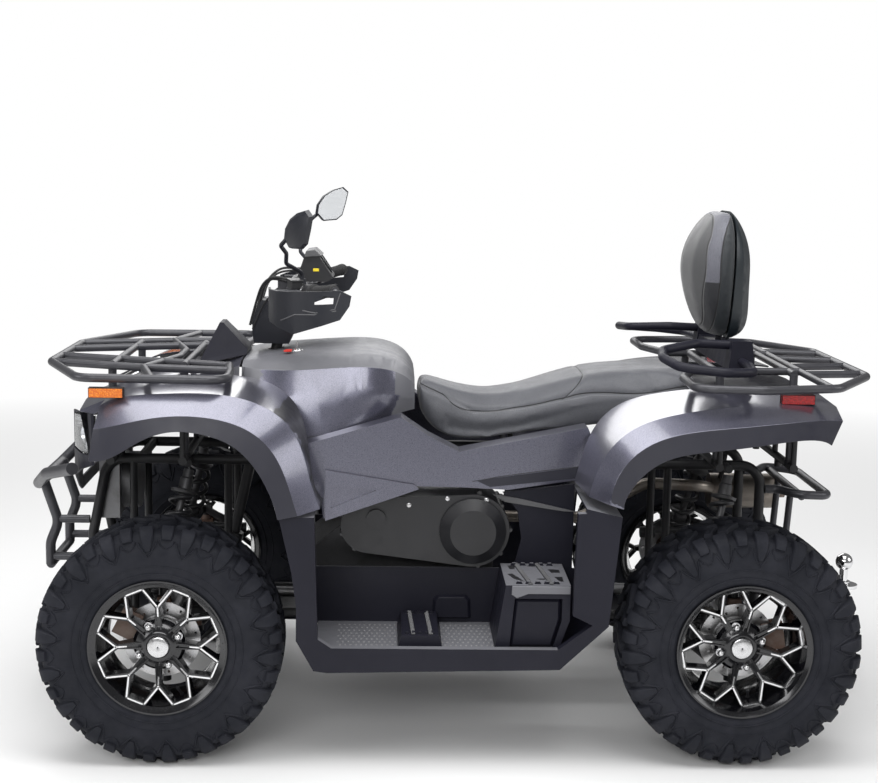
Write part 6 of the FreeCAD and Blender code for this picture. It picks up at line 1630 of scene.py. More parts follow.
@dataclass(frozen=True)
class SewnVinyl:
    """Grained vinyl with sewn seams and, past a line, a second colour, changed below a given height; the backrest uses
    it to paint a highlight on its band.
    """

    name: str
    colour: Colour
    worn: Colour
    seams: tuple[SeamLine, ...]
    # second: the colour past the first seam; on the backrest it is a painted highlight on the band
    second: Colour | None = None
    third: Colour | None = None
    below: tuple[float, Colour] | None = None
    roughness: float = 0.46

    def _offset(self, build: ShaderBuilder, seam: SeamLine) -> bpy.types.NodeSocket:
        """How far a place lies past a seam, as a value in metres."""
        apart = build.nodes.new("ShaderNodeSeparateXYZ")
        build.links.new(build.place, apart.inputs[0])
        source, target = ("Z", "X") if seam.over_height else ("X", "Z")
        firsts = [point[0] for point in seam.points]
        seconds = [point[1] for point in seam.points]
        low, high, bottom, top = min(firsts), max(firsts), min(seconds) - 0.01, max(seconds) + 0.01
        share = build.level(apart.outputs[source], low, high)
        curve = build.nodes.new("ShaderNodeFloatCurve")
        line = curve.mapping.curves[0]
        spots = sorted(((a - low) / (high - low), (b - bottom) / (top - bottom)) for a, b in seam.points)
        line.points[0].location, line.points[1].location = spots[0], spots[-1]
        for spot in spots[1:-1]:
            line.points.new(*spot)
        curve.mapping.update()
        build.links.new(share, curve.inputs["Value"])
        place = build.level(curve.outputs["Value"], 0.0, 1.0, bottom, top)
        offset = build.product(apart.outputs[target], place, "SUBTRACT")
        if seam.start is None:
            return offset
        return build.product(offset,
                             build.level(apart.outputs[source], seam.start, seam.start + 0.001, 1.0, 0.0),
                             "ADD")

    def material(self) -> bpy.types.Material:
        """Build the material."""
        build = ShaderBuilder(self.name)
        tone = build.level(build.noise(5.0, 4.0), 0.38, 0.70, 0.0, 0.8)
        base = build.blend(tone, self.colour, self.worn)
        edges = build.cells(330.0)
        offsets = [self._offset(build, seam) for seam in self.seams]
        if self.second:
            past = build.level(offsets[0], -0.0004, 0.0004)
            band = self.second
            if self.below:
                apart = build.nodes.new("ShaderNodeSeparateXYZ")
                build.links.new(build.place, apart.inputs[0])
                band = build.blend(build.level(apart.outputs["Z"], self.below[0] - 0.001,
                                               self.below[0] + 0.001), self.below[1], band)
            base = build.blend(past, band, base)
        if self.third:
            past = build.level(offsets[1], -0.0004, 0.0004)
            base = build.blend(past, self.third, base)
        darker = tuple(channel * 0.6 for channel in self.colour)
        base = build.blend(build.level(edges, 0.0, 0.10), darker, base)
        groove = None
        for offset in offsets:
            away = build.level(build.product(offset, 0.0, "ABSOLUTE"), 0.0004, 0.0022)
            groove = away if groove is None else build.product(groove, away, "MINIMUM")
        base = build.blend(groove, tuple(channel * 0.22 for channel in self.colour), base)
        build.wire("Base Color", base)
        build.wire("Roughness",
                   build.level(build.noise(24.0, 4.0), 0.3, 0.7, self.roughness - 0.07,
                               self.roughness + 0.08))
        build.plain(Sheen_Weight=0.22, Sheen_Roughness=0.45, Specular_IOR_Level=0.50)
        soft = build.bump(build.level(edges, 0.0, 0.16), 0.00045, 0.45)
        soft = build.bump(build.noise(520.0, 3.0), 0.0002, 0.30, soft)
        soft = build.bump(groove, 0.003, 0.8, soft)
        build.bump(build.noise(11.0, 2.0), 0.004, 0.12, soft)
        return build.material


@dataclass
class Cushion:
    """A padded piece swollen by cloth simulation from its node's own form."""

    node: str
    name: str
    voxel: float
    shrink: float
    cap: float
    pressure: float
    rests: tuple
    steps: int = 20

    def swollen(self) -> bpy.types.Object:
        """Shrink, remesh and swell the form, then smooth it once.

        Returns:
            The padded form, its simulation applied.
        """
        form = bmesh.new()
        form.from_mesh(frame["nodes"][self.node].data)
        bmesh.ops.remove_doubles(form, verts=form.verts, dist=1e-5)
        piece = from_bmesh(self.name, form)
        remesh = piece.modifiers.new("even", "REMESH")
        remesh.mode = "VOXEL"
        remesh.voxel_size = self.voxel
        remesh.use_smooth_shade = True
        fixed(piece)
        relax = piece.modifiers.new("relax", "SMOOTH")
        relax.factor = 0.5
        relax.iterations = 12
        fixed(piece)
        normals = [vertex.normal.copy() for vertex in piece.data.vertices]
        pinned = piece.vertex_groups.new(name="pinned")
        resting = Vector(self.rests).normalized()
        for vertex, normal in zip(piece.data.vertices, normals):
            vertex.co -= normal * self.shrink
            if normal.dot(resting) > 0.72:
                pinned.add([vertex.index], 1.0, "REPLACE")
        start = [vertex.co.copy() for vertex in piece.data.vertices]
        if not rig.quick():
            self._swell(piece)
        else:
            for vertex, normal in zip(piece.data.vertices, normals):
                vertex.co += normal * self.shrink
        for vertex, home in zip(piece.data.vertices, start):
            moved = vertex.co - home
            if moved.length > self.cap:
                vertex.co = home + moved.normalized() * self.cap
        piece.vertex_groups.clear()
        low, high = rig.box(self.node)
        for vertex in piece.data.vertices:
            for axis in range(3):
                vertex.co[axis] = max(low[axis] - 0.002, min(high[axis] + 0.002, vertex.co[axis]))
        relax = piece.modifiers.new("relax", "SMOOTH")
        relax.factor = 0.5
        relax.iterations = 3
        finer = piece.modifiers.new("finer", "SUBSURF")
        finer.levels = finer.render_levels = 1
        fixed(piece)
        return soften(piece, 180.0)

    def _swell(self, piece: bpy.types.Object) -> None:
        """Run the cloth with inner pressure and keep its last shape."""
        scene = bpy.context.scene
        cloth = piece.modifiers.new("swell", "CLOTH")
        settings = cloth.settings
        settings.quality = 6
        settings.mass = 0.3
        settings.tension_stiffness = settings.compression_stiffness = 18.0
        settings.shear_stiffness = 8.0
        settings.bending_stiffness = 2.0
        settings.use_pressure = True
        settings.uniform_pressure_force = self.pressure
        settings.effector_weights.gravity = 0.0
        settings.vertex_group_mass = "pinned"
        cloth.collision_settings.use_collision = False
        cloth.point_cache.frame_start, cloth.point_cache.frame_end = 1, self.steps
        for number in range(1, self.steps + 1):
            scene.frame_set(number)
        graph = bpy.context.evaluated_depsgraph_get()
        after = piece.evaluated_get(graph).to_mesh()
        places = [vertex.co.copy() for vertex in after.vertices]
        piece.modifiers.clear()
        scene.frame_set(1)
        for vertex, place in zip(piece.data.vertices, places):
            vertex.co = place


@dataclass
class Saddle:
    """The long two-level seat with its sewn seams and stitches."""

    side_seam: tuple = ((0.123, 0.918), (0.053, 0.889), (-0.034, 0.849), (-0.156, 0.863), (-0.272, 0.890),
                        (-0.356, 0.908), (-0.481, 0.909), (-0.606, 0.932), (-0.640, 0.934))
    step_seam: tuple = ((0.882, -0.268), (0.914, -0.305), (0.936, -0.326), (0.953, -0.337), (0.990, -0.339))

    def build(self) -> None:
        """Build the cushion, draw it in along its seams and sew it."""
        vinyl = SewnVinyl("seat_cover_vinyl", (0.064, 0.066, 0.078), (0.098, 0.101, 0.114),
                          (SeamLine(self.side_seam), SeamLine(self.step_seam, True, 0.885)))
        PALETTE.materials["seat_cover_vinyl"] = vinyl.material()
        cushion = Cushion("seat", "seat_cushion", 0.008, 0.004, 0.012, 4.0, (0, 0, -1)).swollen()
        self._sink(cushion)
        finished(cushion, "chassis", "seat_cover_vinyl", "seat_vinyl", ("seat",))
        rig.padded(cushion, fill=0.8)
        LOG.info("%s has %d faces", cushion.name, len(cushion.data.polygons))
        self._sew(cushion)

    def _height(self, station: float) -> float:
        """The side seam's height at a station."""
        line = sorted(self.side_seam)
        for first, second in zip(line, line[1:]):
            if station <= second[0]:
                share = (station - first[0]) / (second[0] - first[0])
                return first[1] + (second[1] - first[1]) * max(0.0, share)
        return line[-1][1]

    def _station(self, height: float) -> float:
        """The step seam's station at a height."""
        for first, second in zip(self.step_seam, self.step_seam[1:]):
            if height <= second[0]:
                share = max(0.0, (height - first[0]) / (second[0] - first[0]))
                return first[1] + (second[1] - first[1]) * share
        return self.step_seam[-1][1]

    def _sink(self, cushion: bpy.types.Object) -> None:
        """Draw the cover in along both seams."""
        reach, depth = 0.014, 0.0035
        moves = []
        for vertex in cushion.data.vertices:
            place, normal = vertex.co, vertex.normal
            away = abs(place.z - self._height(place.x))
            pull = depth * max(0.0, 1 - away / reach) ** 2
            if place.z > 0.885:
                away = abs(place.x - self._station(place.z))
                pull = max(pull, depth * 0.8 * max(0.0, 1 - away / reach) ** 2)
            moves.append(normal * pull)
        for vertex, move in zip(cushion.data.vertices, moves):
            vertex.co -= move

    def _sew(self, cushion: bpy.types.Object) -> None:
        """Set a row of stitches under the side seam on both sides."""
        mesh = cushion.data
        tree = BVHTree.FromPolygons([v.co for v in mesh.vertices], [list(p.vertices) for p in mesh.polygons])
        spots = []
        for number in range(120):
            station = 0.105 - number * 0.0060
            for side in Side:
                height = self._height(station) - 0.006
                place, normal = tree.ray_cast(Vector((station, side.value * 0.5, height)),
                                              Vector((0, -side.value, 0)))[:2]
                if place is not None and abs(normal.y) > 0.3:
                    spots.append((place, normal))
        form = fastener_form(Fastener.STITCH)
        stitches = ON_POINTS.place("seat_stitches", form, spots, "thread")
        bpy.data.objects.remove(form)
        finished(stitches, "chassis", "thread", "seat_vinyl")


@dataclass
class Backrest:
    """The egg-shaped backrest: padded front, sewn band painted paler above a height as a painted highlight, and dark
    back.
    """

    front_seam: tuple = ((1.045, -0.668), (1.072, -0.671), (1.188, -0.657), (1.243, -0.658), (1.292, -0.659),
                         (1.340, -0.671), (1.391, -0.688), (1.420, -0.705))
    back_seam: tuple = ((1.045, -0.690), (1.226, -0.694), (1.247, -0.693), (1.296, -0.694), (1.348, -0.704),
                        (1.391, -0.726), (1.420, -0.760))

    def build(self) -> None:
        """Build the pad and its back."""
        vinyl = SewnVinyl("backrest_cover_vinyl", (0.060, 0.061, 0.064), (0.086, 0.087, 0.090),
                          (SeamLine(self.front_seam, True), SeamLine(self.back_seam, True)),
                          # band colour: a painted highlight above 1.215 m, dark below it
                          second=(0.130, 0.132, 0.160), third=(0.010, 0.015, 0.019),
                          below=(1.215, (0.011, 0.012, 0.016)))
        PALETTE.materials["backrest_cover_vinyl"] = vinyl.material()
        pad = Cushion("backrest_pad", "backrest_cushion", 0.006, 0.003, 0.010, 4.0, (-1, 0, 0)).swollen()
        finished(pad, "chassis", "backrest_cover_vinyl", "seat_vinyl", ("backrest_pad",))
        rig.padded(pad, fill=0.85)
        LOG.info("%s has %d faces", pad.name, len(pad.data.polygons))


def place_of(back: float, out: float, up: float) -> Vector:
    """A place from shares of the wheelbase behind the front axle, half the width and the deck height."""
    return Vector((FRONT_AXLE - back * WHEELBASE, out * HALF_WIDTH, up * DECK_HEIGHT))


@dataclass
class Controls:
    """What is small on the handlebar: ribbed grips, switch pods, cylinders, cables, dial and pale guard mouldings that
    paint a highlight.
    """

    body: str = "handlebar_assembly"
    grip_radius: float = 0.0150
    rib_rise: float = 0.0014
    rib_pitch: float = 0.0048
    bar: tuple = ((0.222, 0.290, 1.246), (0.240, 0.455, 1.243), (0.290, 0.655, 1.260))

    def build(self) -> None:
        """Build the pieces of both sides."""
        grips = [self._grip(side) for side in Side]
        finished(joined(grips, "ribbed_grips"), self.body, "grip_rubber", "grip_rubber", ("grips",))
        pods = [piece for side in Side for piece in self._pod(side)]
        finished(joined(pods, "switch_pods"), self.body, "trim_plastic", "boot_plastic")
        metal = [piece for side in Side for piece in self._brackets(side)]
        finished(joined(metal, "lever_pivots"), self.body, "hub_metal", "hub_metal")
        finished(joined(self._cables(), "control_cables"), self.body, "grip_rubber", "grip_rubber")
        self._dial()
        self._guard_mouldings()
        LOG.info("the controls are on %s", self.body)

    def _spot(self, index: int, side: Side) -> Vector:
        """One of the bar's corners on a side."""
        place = place_of(*self.bar[index])
        return Vector((place.x, place.y * side.value, place.z))

    def _grip(self, side: Side) -> bpy.types.Object:
        """A grip with ribs between a thick inner flange and a rounded outer end."""
        inner, outer = self._spot(1, side), self._spot(2, side)
        run = outer - inner
        start, end = inner + run * 0.215, inner + run * 1.0
        length = (end - start).length
        radius = self.grip_radius
        profile = [(0.0, 0.0118), (0.0, radius + 0.0058), (0.0012, radius + 0.0068),
                   (0.0040, radius + 0.0068),
                   (0.0056, radius + 0.0050), (0.0066, radius)]
        station = 0.010
        while station < length - 0.030:
            profile += [(station, radius), (station + 0.0010, radius + self.rib_rise),
                        (station + 0.0026, radius + self.rib_rise), (station + 0.0036, radius)]
            station += self.rib_pitch
        profile += [(length - 0.024, radius), (length - 0.022, radius + 0.0022),
                    (length - 0.010, radius + 0.0026),
                    (length - 0.004, radius + 0.0006), (length - 0.0008, radius - 0.005),
                    (length, radius - 0.009)]
        return turned_along("grip", start, end, profile, 40)

    def _pod(self, side: Side) -> list[bpy.types.Object]:
        """The switch pod and the brake cylinder round the bar inboard of a grip."""
        first, second = self._spot(0, side), self._spot(1, side)
        third = second + (self._spot(2, side) - second) * 0.17
        pieces = [turned_along("pod", second - (second - first) * 0.10, third,
                               [(0.0, 0.013), (0.0, 0.0185), (0.003, 0.0215), (0.034, 0.0215),
                                (0.0375, 0.0190), (0.0375, 0.013)], 12)]
        along = (second - first).normalized()
        forward = Vector((1.0, 0.0, 0.0))
        forward = (forward - along * forward.dot(along)).normalized()
        upward = forward.cross(along) if side is Side.LEFT else along.cross(forward)
        upward = upward if upward.z > 0 else -upward
        base = first + (second - first) * 0.42

        def plate(half: float, near: float, far: float, rise: float) -> list[Vector]:
            """Four corners by half the length along the bar, both reaches forwards and the height."""
            return [base + along * a + forward * f + upward * rise
                    for a, f in ((-half, near), (half, near), (half, far), (-half, far))]

        pieces.append(sloped_block("cylinder", plate(0.030, 0.008, 0.040, 0.006),
                                   plate(0.028, 0.010, 0.038, 0.026), 0.002))
        pieces.append(sloped_block("lid", plate(0.031, 0.006, 0.042, 0.0262),
                                   plate(0.030, 0.007, 0.041, 0.0302), 0.0012))
        switch = second - along * 0.004
        for number, (shift, rise) in enumerate(((-0.010, 0.019), (0.004, 0.019), (0.018, 0.018))):
            spot = switch + along * shift - forward * 0.013
            pieces.append(turned_along("button", spot, spot + (upward - forward * 0.9).normalized() * 0.1,
                                       [(rise - 0.006, 0.0052), (rise, 0.0052), (rise + 0.0016, 0.0040)],
                                       14 if number else 6))
        return pieces

    def _brackets(self, side: Side) -> list[bpy.types.Object]:
        """The lever's pivot plates and bolts, and the bar clamps of the mirrors."""
        first, second = self._spot(0, side), self._spot(1, side)
        along = (second - first).normalized()
        pieces = []
        for share in (0.20, 0.66):
            centre = first + (second - first) * share
            pieces.append(turned_along("clamp", centre - along * 0.008, centre + along * 0.008,
                                       [(0.0, 0.0112), (0.0, 0.0150), (0.0015, 0.0162), (0.0145, 0.0162),
                                        (0.016, 0.0150), (0.016, 0.0112)], 28))
        pivot = place_of(0.222, 0.330 * side.value, 1.232)
        pieces.append(turned_along("pivot", pivot + Vector((0.004, 0, -0.010)),
                                   pivot + Vector((0.004, 0, 0.012)),
                                   [(0.0, 0.0060), (0.002, 0.0075), (0.018, 0.0075), (0.0185, 0.0050),
                                    (0.0225, 0.0046)], 6))
        return pieces

    def _cables(self) -> list[bpy.types.Object]:
        """The fixed cables and hoses from the levers and pods down in front of the column cover."""
        lines = []
        for side in Side:
            s = side.value
            lines += [
                ([(0.452, 0.170 * s, 1.205), (0.505, 0.130 * s, 1.212), (0.545, 0.075 * s, 1.190),
                  (0.560, 0.045 * s, 1.140),
                  (0.572, 0.040 * s, 1.085)], 0.0032),
                ([(0.430, 0.215 * s, 1.196), (0.500, 0.190 * s, 1.222), (0.548, 0.115 * s, 1.195),
                  (0.572, 0.062 * s, 1.130),
                  (0.588, 0.052 * s, 1.070)], 0.0036),
                ([(0.420, 0.262 * s, 1.176), (0.462, 0.215 * s, 1.158), (0.520, 0.140 * s, 1.168),
                  (0.556, 0.080 * s, 1.120),
                  (0.580, 0.060 * s, 1.060)], 0.0026)]
        lines.append(([(0.470, 0.060, 1.188), (0.515, 0.072, 1.205), (0.552, 0.030, 1.190),
                       (0.566, 0.000, 1.130), (0.585, 0.000, 1.065)], 0.0042))
        return [smooth_tube("cable", points, radius, 8) for points, radius in lines]

    def _dial(self) -> None:
        """The display's visor, its round screen with plain ticks and the yellow mark on its side."""
        half = 0.062
        outline = [(0.212, 1.270), (0.228, 1.345), (0.244, 1.349), (0.279, 1.268)]
        points = [place_of(back, 0, up) for back, up in outline]
        edge = -half - 0.004
        visor_low = [Vector((p.x, edge, p.z)) for p in points[1:3]]
        visor_low += [Vector((points[2].x - 0.020, edge, points[2].z - 0.018)),
                      Vector((points[1].x + 0.004, edge, points[1].z - 0.018))]
        visor = sloped_block("visor", [p + Vector((0.0, 0, 0.0004)) for p in visor_low],
                             [Vector((p.x, half + 0.004, p.z + 0.0004)) for p in visor_low], 0.0025)
        finished(visor, self.body, "visor_plastic", "boot_plastic")
        rear_top, rear_low = points[2], points[3]
        slope = (rear_low - rear_top).normalized()
        outward = Vector((slope.z, 0, -slope.x))
        outward = outward if outward.x < 0 else -outward
        middle = (rear_top + rear_low) / 2 + outward * 0.0006
        screen = turned_along("screen", middle, middle + outward * 0.1,
                              [(0.0, 0.036), (0.0030, 0.036), (0.0036, 0.034), (0.0020, 0.0325),
                               (0.0020, 0.0)], 64)
        finished(screen, self.body, "display_glass", "display_glass")
        ticks = []
        for number in range(25):
            angle = math.radians(-130 + 260 * number / 24)
            across = Vector((0, math.sin(angle), 0)) - slope * math.cos(angle)
            long = 0.0042 if number % 4 == 0 else 0.0024
            centre = middle + outward * 0.00225
            side_way = across.cross(outward).normalized() * 0.00045
            inner, outer = centre + across * (0.0300 - long), centre + across * 0.0300
            low = [inner - side_way, inner + side_way, outer + side_way, outer - side_way]
            ticks.append(sloped_block("tick", low, [p + outward * 0.0003 for p in low], 0.0))
        finished(joined(ticks, "dial_ticks"), self.body, "pale_plastic", "display_glass")
        mark_low = [Vector((x, 0.0621, z))
                    for x, z in ((0.414, 1.222), (0.398, 1.222), (0.398, 1.230), (0.414, 1.230))]
        mark = sloped_block("yellow_mark", mark_low, [p + Vector((0, 0.0012, 0)) for p in mark_low], 0.0006)
        finished(mark, self.body, "yellow_mark", "display_glass")

    def _guard_mouldings(self) -> None:
        """The raised line round the slot of each hand guard, in a paler plastic that paints a highlight along its
        crease.
        """
        skin = NodeSurface("hand_guards")
        line = [(302.6, 310.6), (315.3, 313.2), (334.8, 309.4), (340.5, 293.0)]
        low = [(280.8, 320.4), (294.6, 314.6), (314.0, 314.8), (336.0, 311.0), (344.5, 291.5)]
        pieces = []
        for pixels in (line, low):
            spots = []
            for pixel in pixels:
                try:
                    spots.append(skin.seen_at(*pixel))
                except ValueError:
                    LOG.info("the guard has no skin at %s", pixel)
            for side in Side:
                points = [Vector((p.x, p.y * side.value, p.z)) for p, n in spots if p.y > 0.2]
                if len(points) > 1:
                    pieces.append(smooth_tube("moulding", points, 0.0016, 8, straight=True))
        # Paler than the guards: a painted highlight along the slot's crease.
        finished(joined(pieces, "guard_mouldings"), self.body, "visor_plastic", "boot_plastic")


@dataclass
class HeadLamp:
    """One headlamp: a bright bowl with its projector, pale bars and a dark bezel under a clear lens."""

    side: Side
    plan: tuple = ((0.2965, 1.0243), (0.4070, 0.9870), (0.4490, 0.9600))
    low: tuple = (0.7700, 0.7775, 0.7790)
    high: tuple = (0.8605, 0.8760, 0.8830)
    depth: float = 0.034

    def build(self) -> dict[str, list[bpy.types.Object]]:
        """Build the lamp's forms by finish."""
        return {"trim_plastic": self._housing(), "lamp_silver": self._bowl(), "pale_plastic": self._bars(),
                "lamp_lens": self._lens()}

    def _point(self, column: float, share: float, back: float) -> Vector:
        """A place of the lamp's face by its column, its share of the height and how far back it lies."""
        index = min(int(column), 1)
        part = column - index
        y = self.plan[index][0] + (self.plan[index + 1][0] - self.plan[index][0]) * part
        x = self.plan[index][1] + (self.plan[index + 1][1] - self.plan[index][1]) * part
        low = self.low[index] + (self.low[index + 1] - self.low[index]) * part
        high = self.high[index] + (self.high[index + 1] - self.high[index]) * part
        return Vector((x - back, (y - back * 0.10) * self.side.value, low + (high - low) * share))

    def _sheet(self, name: str, inset: float, front: float, wall: float) -> bpy.types.Object:
        """A closed sheet that follows the face, pulled in from its rim."""
        span = [0.0 + inset, 1.0, 2.0 - inset * 1.6]
        form = bmesh.new()
        rings = []
        for back in (front, front + wall):
            rings.append([form.verts.new(self._point(c, inset, back)) for c in span]
                         + [form.verts.new(self._point(c, 1 - inset, back)) for c in reversed(span)])
        for index in range(6):
            after = (index + 1) % 6
            form.faces.new((rings[0][index], rings[0][after], rings[1][after], rings[1][index]))
        for ring in rings:
            form.faces.new((ring[0], ring[1], ring[4], ring[5]))
            form.faces.new((ring[1], ring[2], ring[3], ring[4]))
        return fixed(bevel(soften(from_bmesh(name, form), 25.0), 0.0012, 2, 25.0))

    def _lens(self) -> list[bpy.types.Object]:
        """The clear cover."""
        return [self._sheet("lens", 0.015, 0.000, 0.0025)]

    def _housing(self) -> list[bpy.types.Object]:
        """The dark frame behind the lens: four rails and two dark brows."""
        pieces = []
        for start, end, thick in (((0.0, 0.02), (1.0, 0.02), 0.0045), ((1.0, 0.02), (1.97, 0.03), 0.0045),
                                  ((0.0, 0.98), (1.0, 0.98), 0.0045),
                                  ((1.0, 0.98), (1.97, 0.97), 0.0045), ((0.02, 0.02), (0.02, 0.98), 0.0045),
                                  ((1.96, 0.03), (1.96, 0.97), 0.0040),
                                  ((0.20, 0.64), (1.55, 0.74), 0.0030), ((1.20, 0.10), (1.58, 0.66), 0.0022)):
            pieces.append(smooth_tube("rail", [self._point(*start, 0.007), self._point(*end, 0.007)], thick,
                                      8, straight=True))
        return pieces

    def _bowl(self) -> list[bpy.types.Object]:
        """The bright back sheet, the projector's ring and the round bulb bowl below it."""
        pieces = [self._sheet("bright_back", 0.03, 0.016, 0.010)]
        facing = Vector((0.84, 0.54 * self.side.value, 0.0))
        for column, share, radius in ((0.92, 0.46, 0.021), (1.46, 0.38, 0.015)):
            centre = self._point(column, share, 0.016)
            pieces.append(turned_along("projector", centre - facing * 0.004, centre + facing * 0.1,
                                       [(0.0, radius), (0.0080, radius), (0.0095, radius * 0.94),
                                        (0.0080, radius * 0.80),
                                        (0.0045, radius * 0.62), (0.0060, radius * 0.45),
                                        (0.0078, radius * 0.20), (0.0082, 0.0004)], 32))
        return pieces

    def _bars(self) -> list[bpy.types.Object]:
        """The pale light bar along the top and the pale strip along the outer edge."""
        pieces = []
        for start, end, high in (((0.25, 0.84), (1.90, 0.86), 0.0062), ((1.74, 0.12), (1.80, 0.70), 0.0045)):
            pieces.append(smooth_tube("bar", [self._point(*start, 0.0075), self._point(*end, 0.0075)], high,
                                      8, straight=True))
        return pieces


@dataclass
class Lamps:
    """The lamps of both ends and their rims."""

    def build(self) -> None:
        """Build the headlamps, and frame the tail lamps and the side reflectors."""
        forms: dict[str, list] = {}
        for side in Side:
            for finish, pieces in HeadLamp(side).build().items():
                forms.setdefault(finish, []).extend(pieces)
        names = {"trim_plastic": "headlamp_rails", "lamp_silver": "headlamp_bowls",
                 "pale_plastic": "headlamp_bars",
                 "lamp_lens": "headlamp_lenses"}
        for finish, pieces in forms.items():
            replaced = ("headlamps",) if finish == "lamp_lens" else ()
            finished(joined(pieces, names[finish]), "chassis", finish, "lamp_lens", replaced)
        rims = []
        wall = 0.0030
        for node in ("front_reflectors", "rear_reflectors"):
            low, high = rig.box(node)
            for side in Side:
                s = side.value
                y0, y1 = (high[1] - 0.0190) * s, (high[1] - 0.0040) * s
                x0, x1 = low[0] - wall * 0.4, high[0] + wall * 0.4
                z0, z1 = low[2] - wall * 0.3, high[2] + wall * 0.4
                ring = [(x0, z0), (x1, z0), (x1, z1), (x0, z1)]
                for y in (y1, y0):
                    rims.append(smooth_tube("rim", [(x, y, z) for x, z in ring + ring[:1]], wall * 0.55, 8,
                                            straight=True))
        finished(joined(rims, "reflector_rims"), "chassis", "trim_plastic", "boot_plastic")
        LOG.info("the lamps are on chassis")


def skin_patch(name: str, skin: NodeSurface, corners: tuple, steps: tuple[int, int] = (16, 4),
               lift: float = 0.0007) -> list[bpy.types.Object]:
    """Lay a thin sheet on the skin inside four corners of the photograph, on both sides of the vehicle.

    Args:
        name: the objects' name.
        skin: the skin that carries it.
        corners: four pixels in turn.
        steps: how many cells it has along and across.
        lift: how far its face stands off the skin.

    Returns:
        The left and the right sheet.
    """
    rows = []
    for j in range(steps[1] + 1):
        across = j / steps[1]
        row = []
        for i in range(steps[0] + 1):
            along = i / steps[0]
            low = [corners[0][k] + (corners[1][k] - corners[0][k]) * along for k in range(2)]
            high = [corners[3][k] + (corners[2][k] - corners[3][k]) * along for k in range(2)]
            row.append(skin.seen_at(*(low[k] + (high[k] - low[k]) * across for k in range(2))))
        rows.append(row)
    wide, deep = steps[0] + 1, steps[1] + 1
    pieces = []
    for side in Side:
        flip = Vector((1, side.value, 1))
        points = [Vector(c * f for c, f in zip(place + normal * height, flip)) for height in (lift, -0.0004)
                  for row in rows for place, normal in row]
        count = wide * deep
        faces = [(a, a + 1, a + 1 + wide, a + wide)
                 for j in range(deep - 1) for a in range(j * wide, j * wide + wide - 1)]
        faces += [tuple(index + count for index in face[::-1]) for face in faces]
        rim = list(range(wide)) + [j * wide + wide - 1 for j in range(1, deep)]
        rim += [count - 1 - i for i in range(1, wide)] + [j * wide for j in range(deep - 2, 0, -1)]
        faces += [(b, a, a + count, b + count) for a, b in zip(rim, rim[1:] + rim[:1])]
        form = bmesh.new()
        made = [form.verts.new(point) for point in points]
        for face in faces:
            form.faces.new([made[index] for index in face])
        pieces.append(soften(from_bmesh(name, form), 30.0))
    return pieces


def both_blocks(name: str, low: tuple, high: tuple, width: float) -> list[bpy.types.Object]:
    """A closed form between two outlines, and the same on the other side."""
    return [sloped_block(name, [(x, y * side.value, z) for x, y, z in low],
                         [(x, y * side.value, z) for x, y, z in high], width)
            for side in Side]


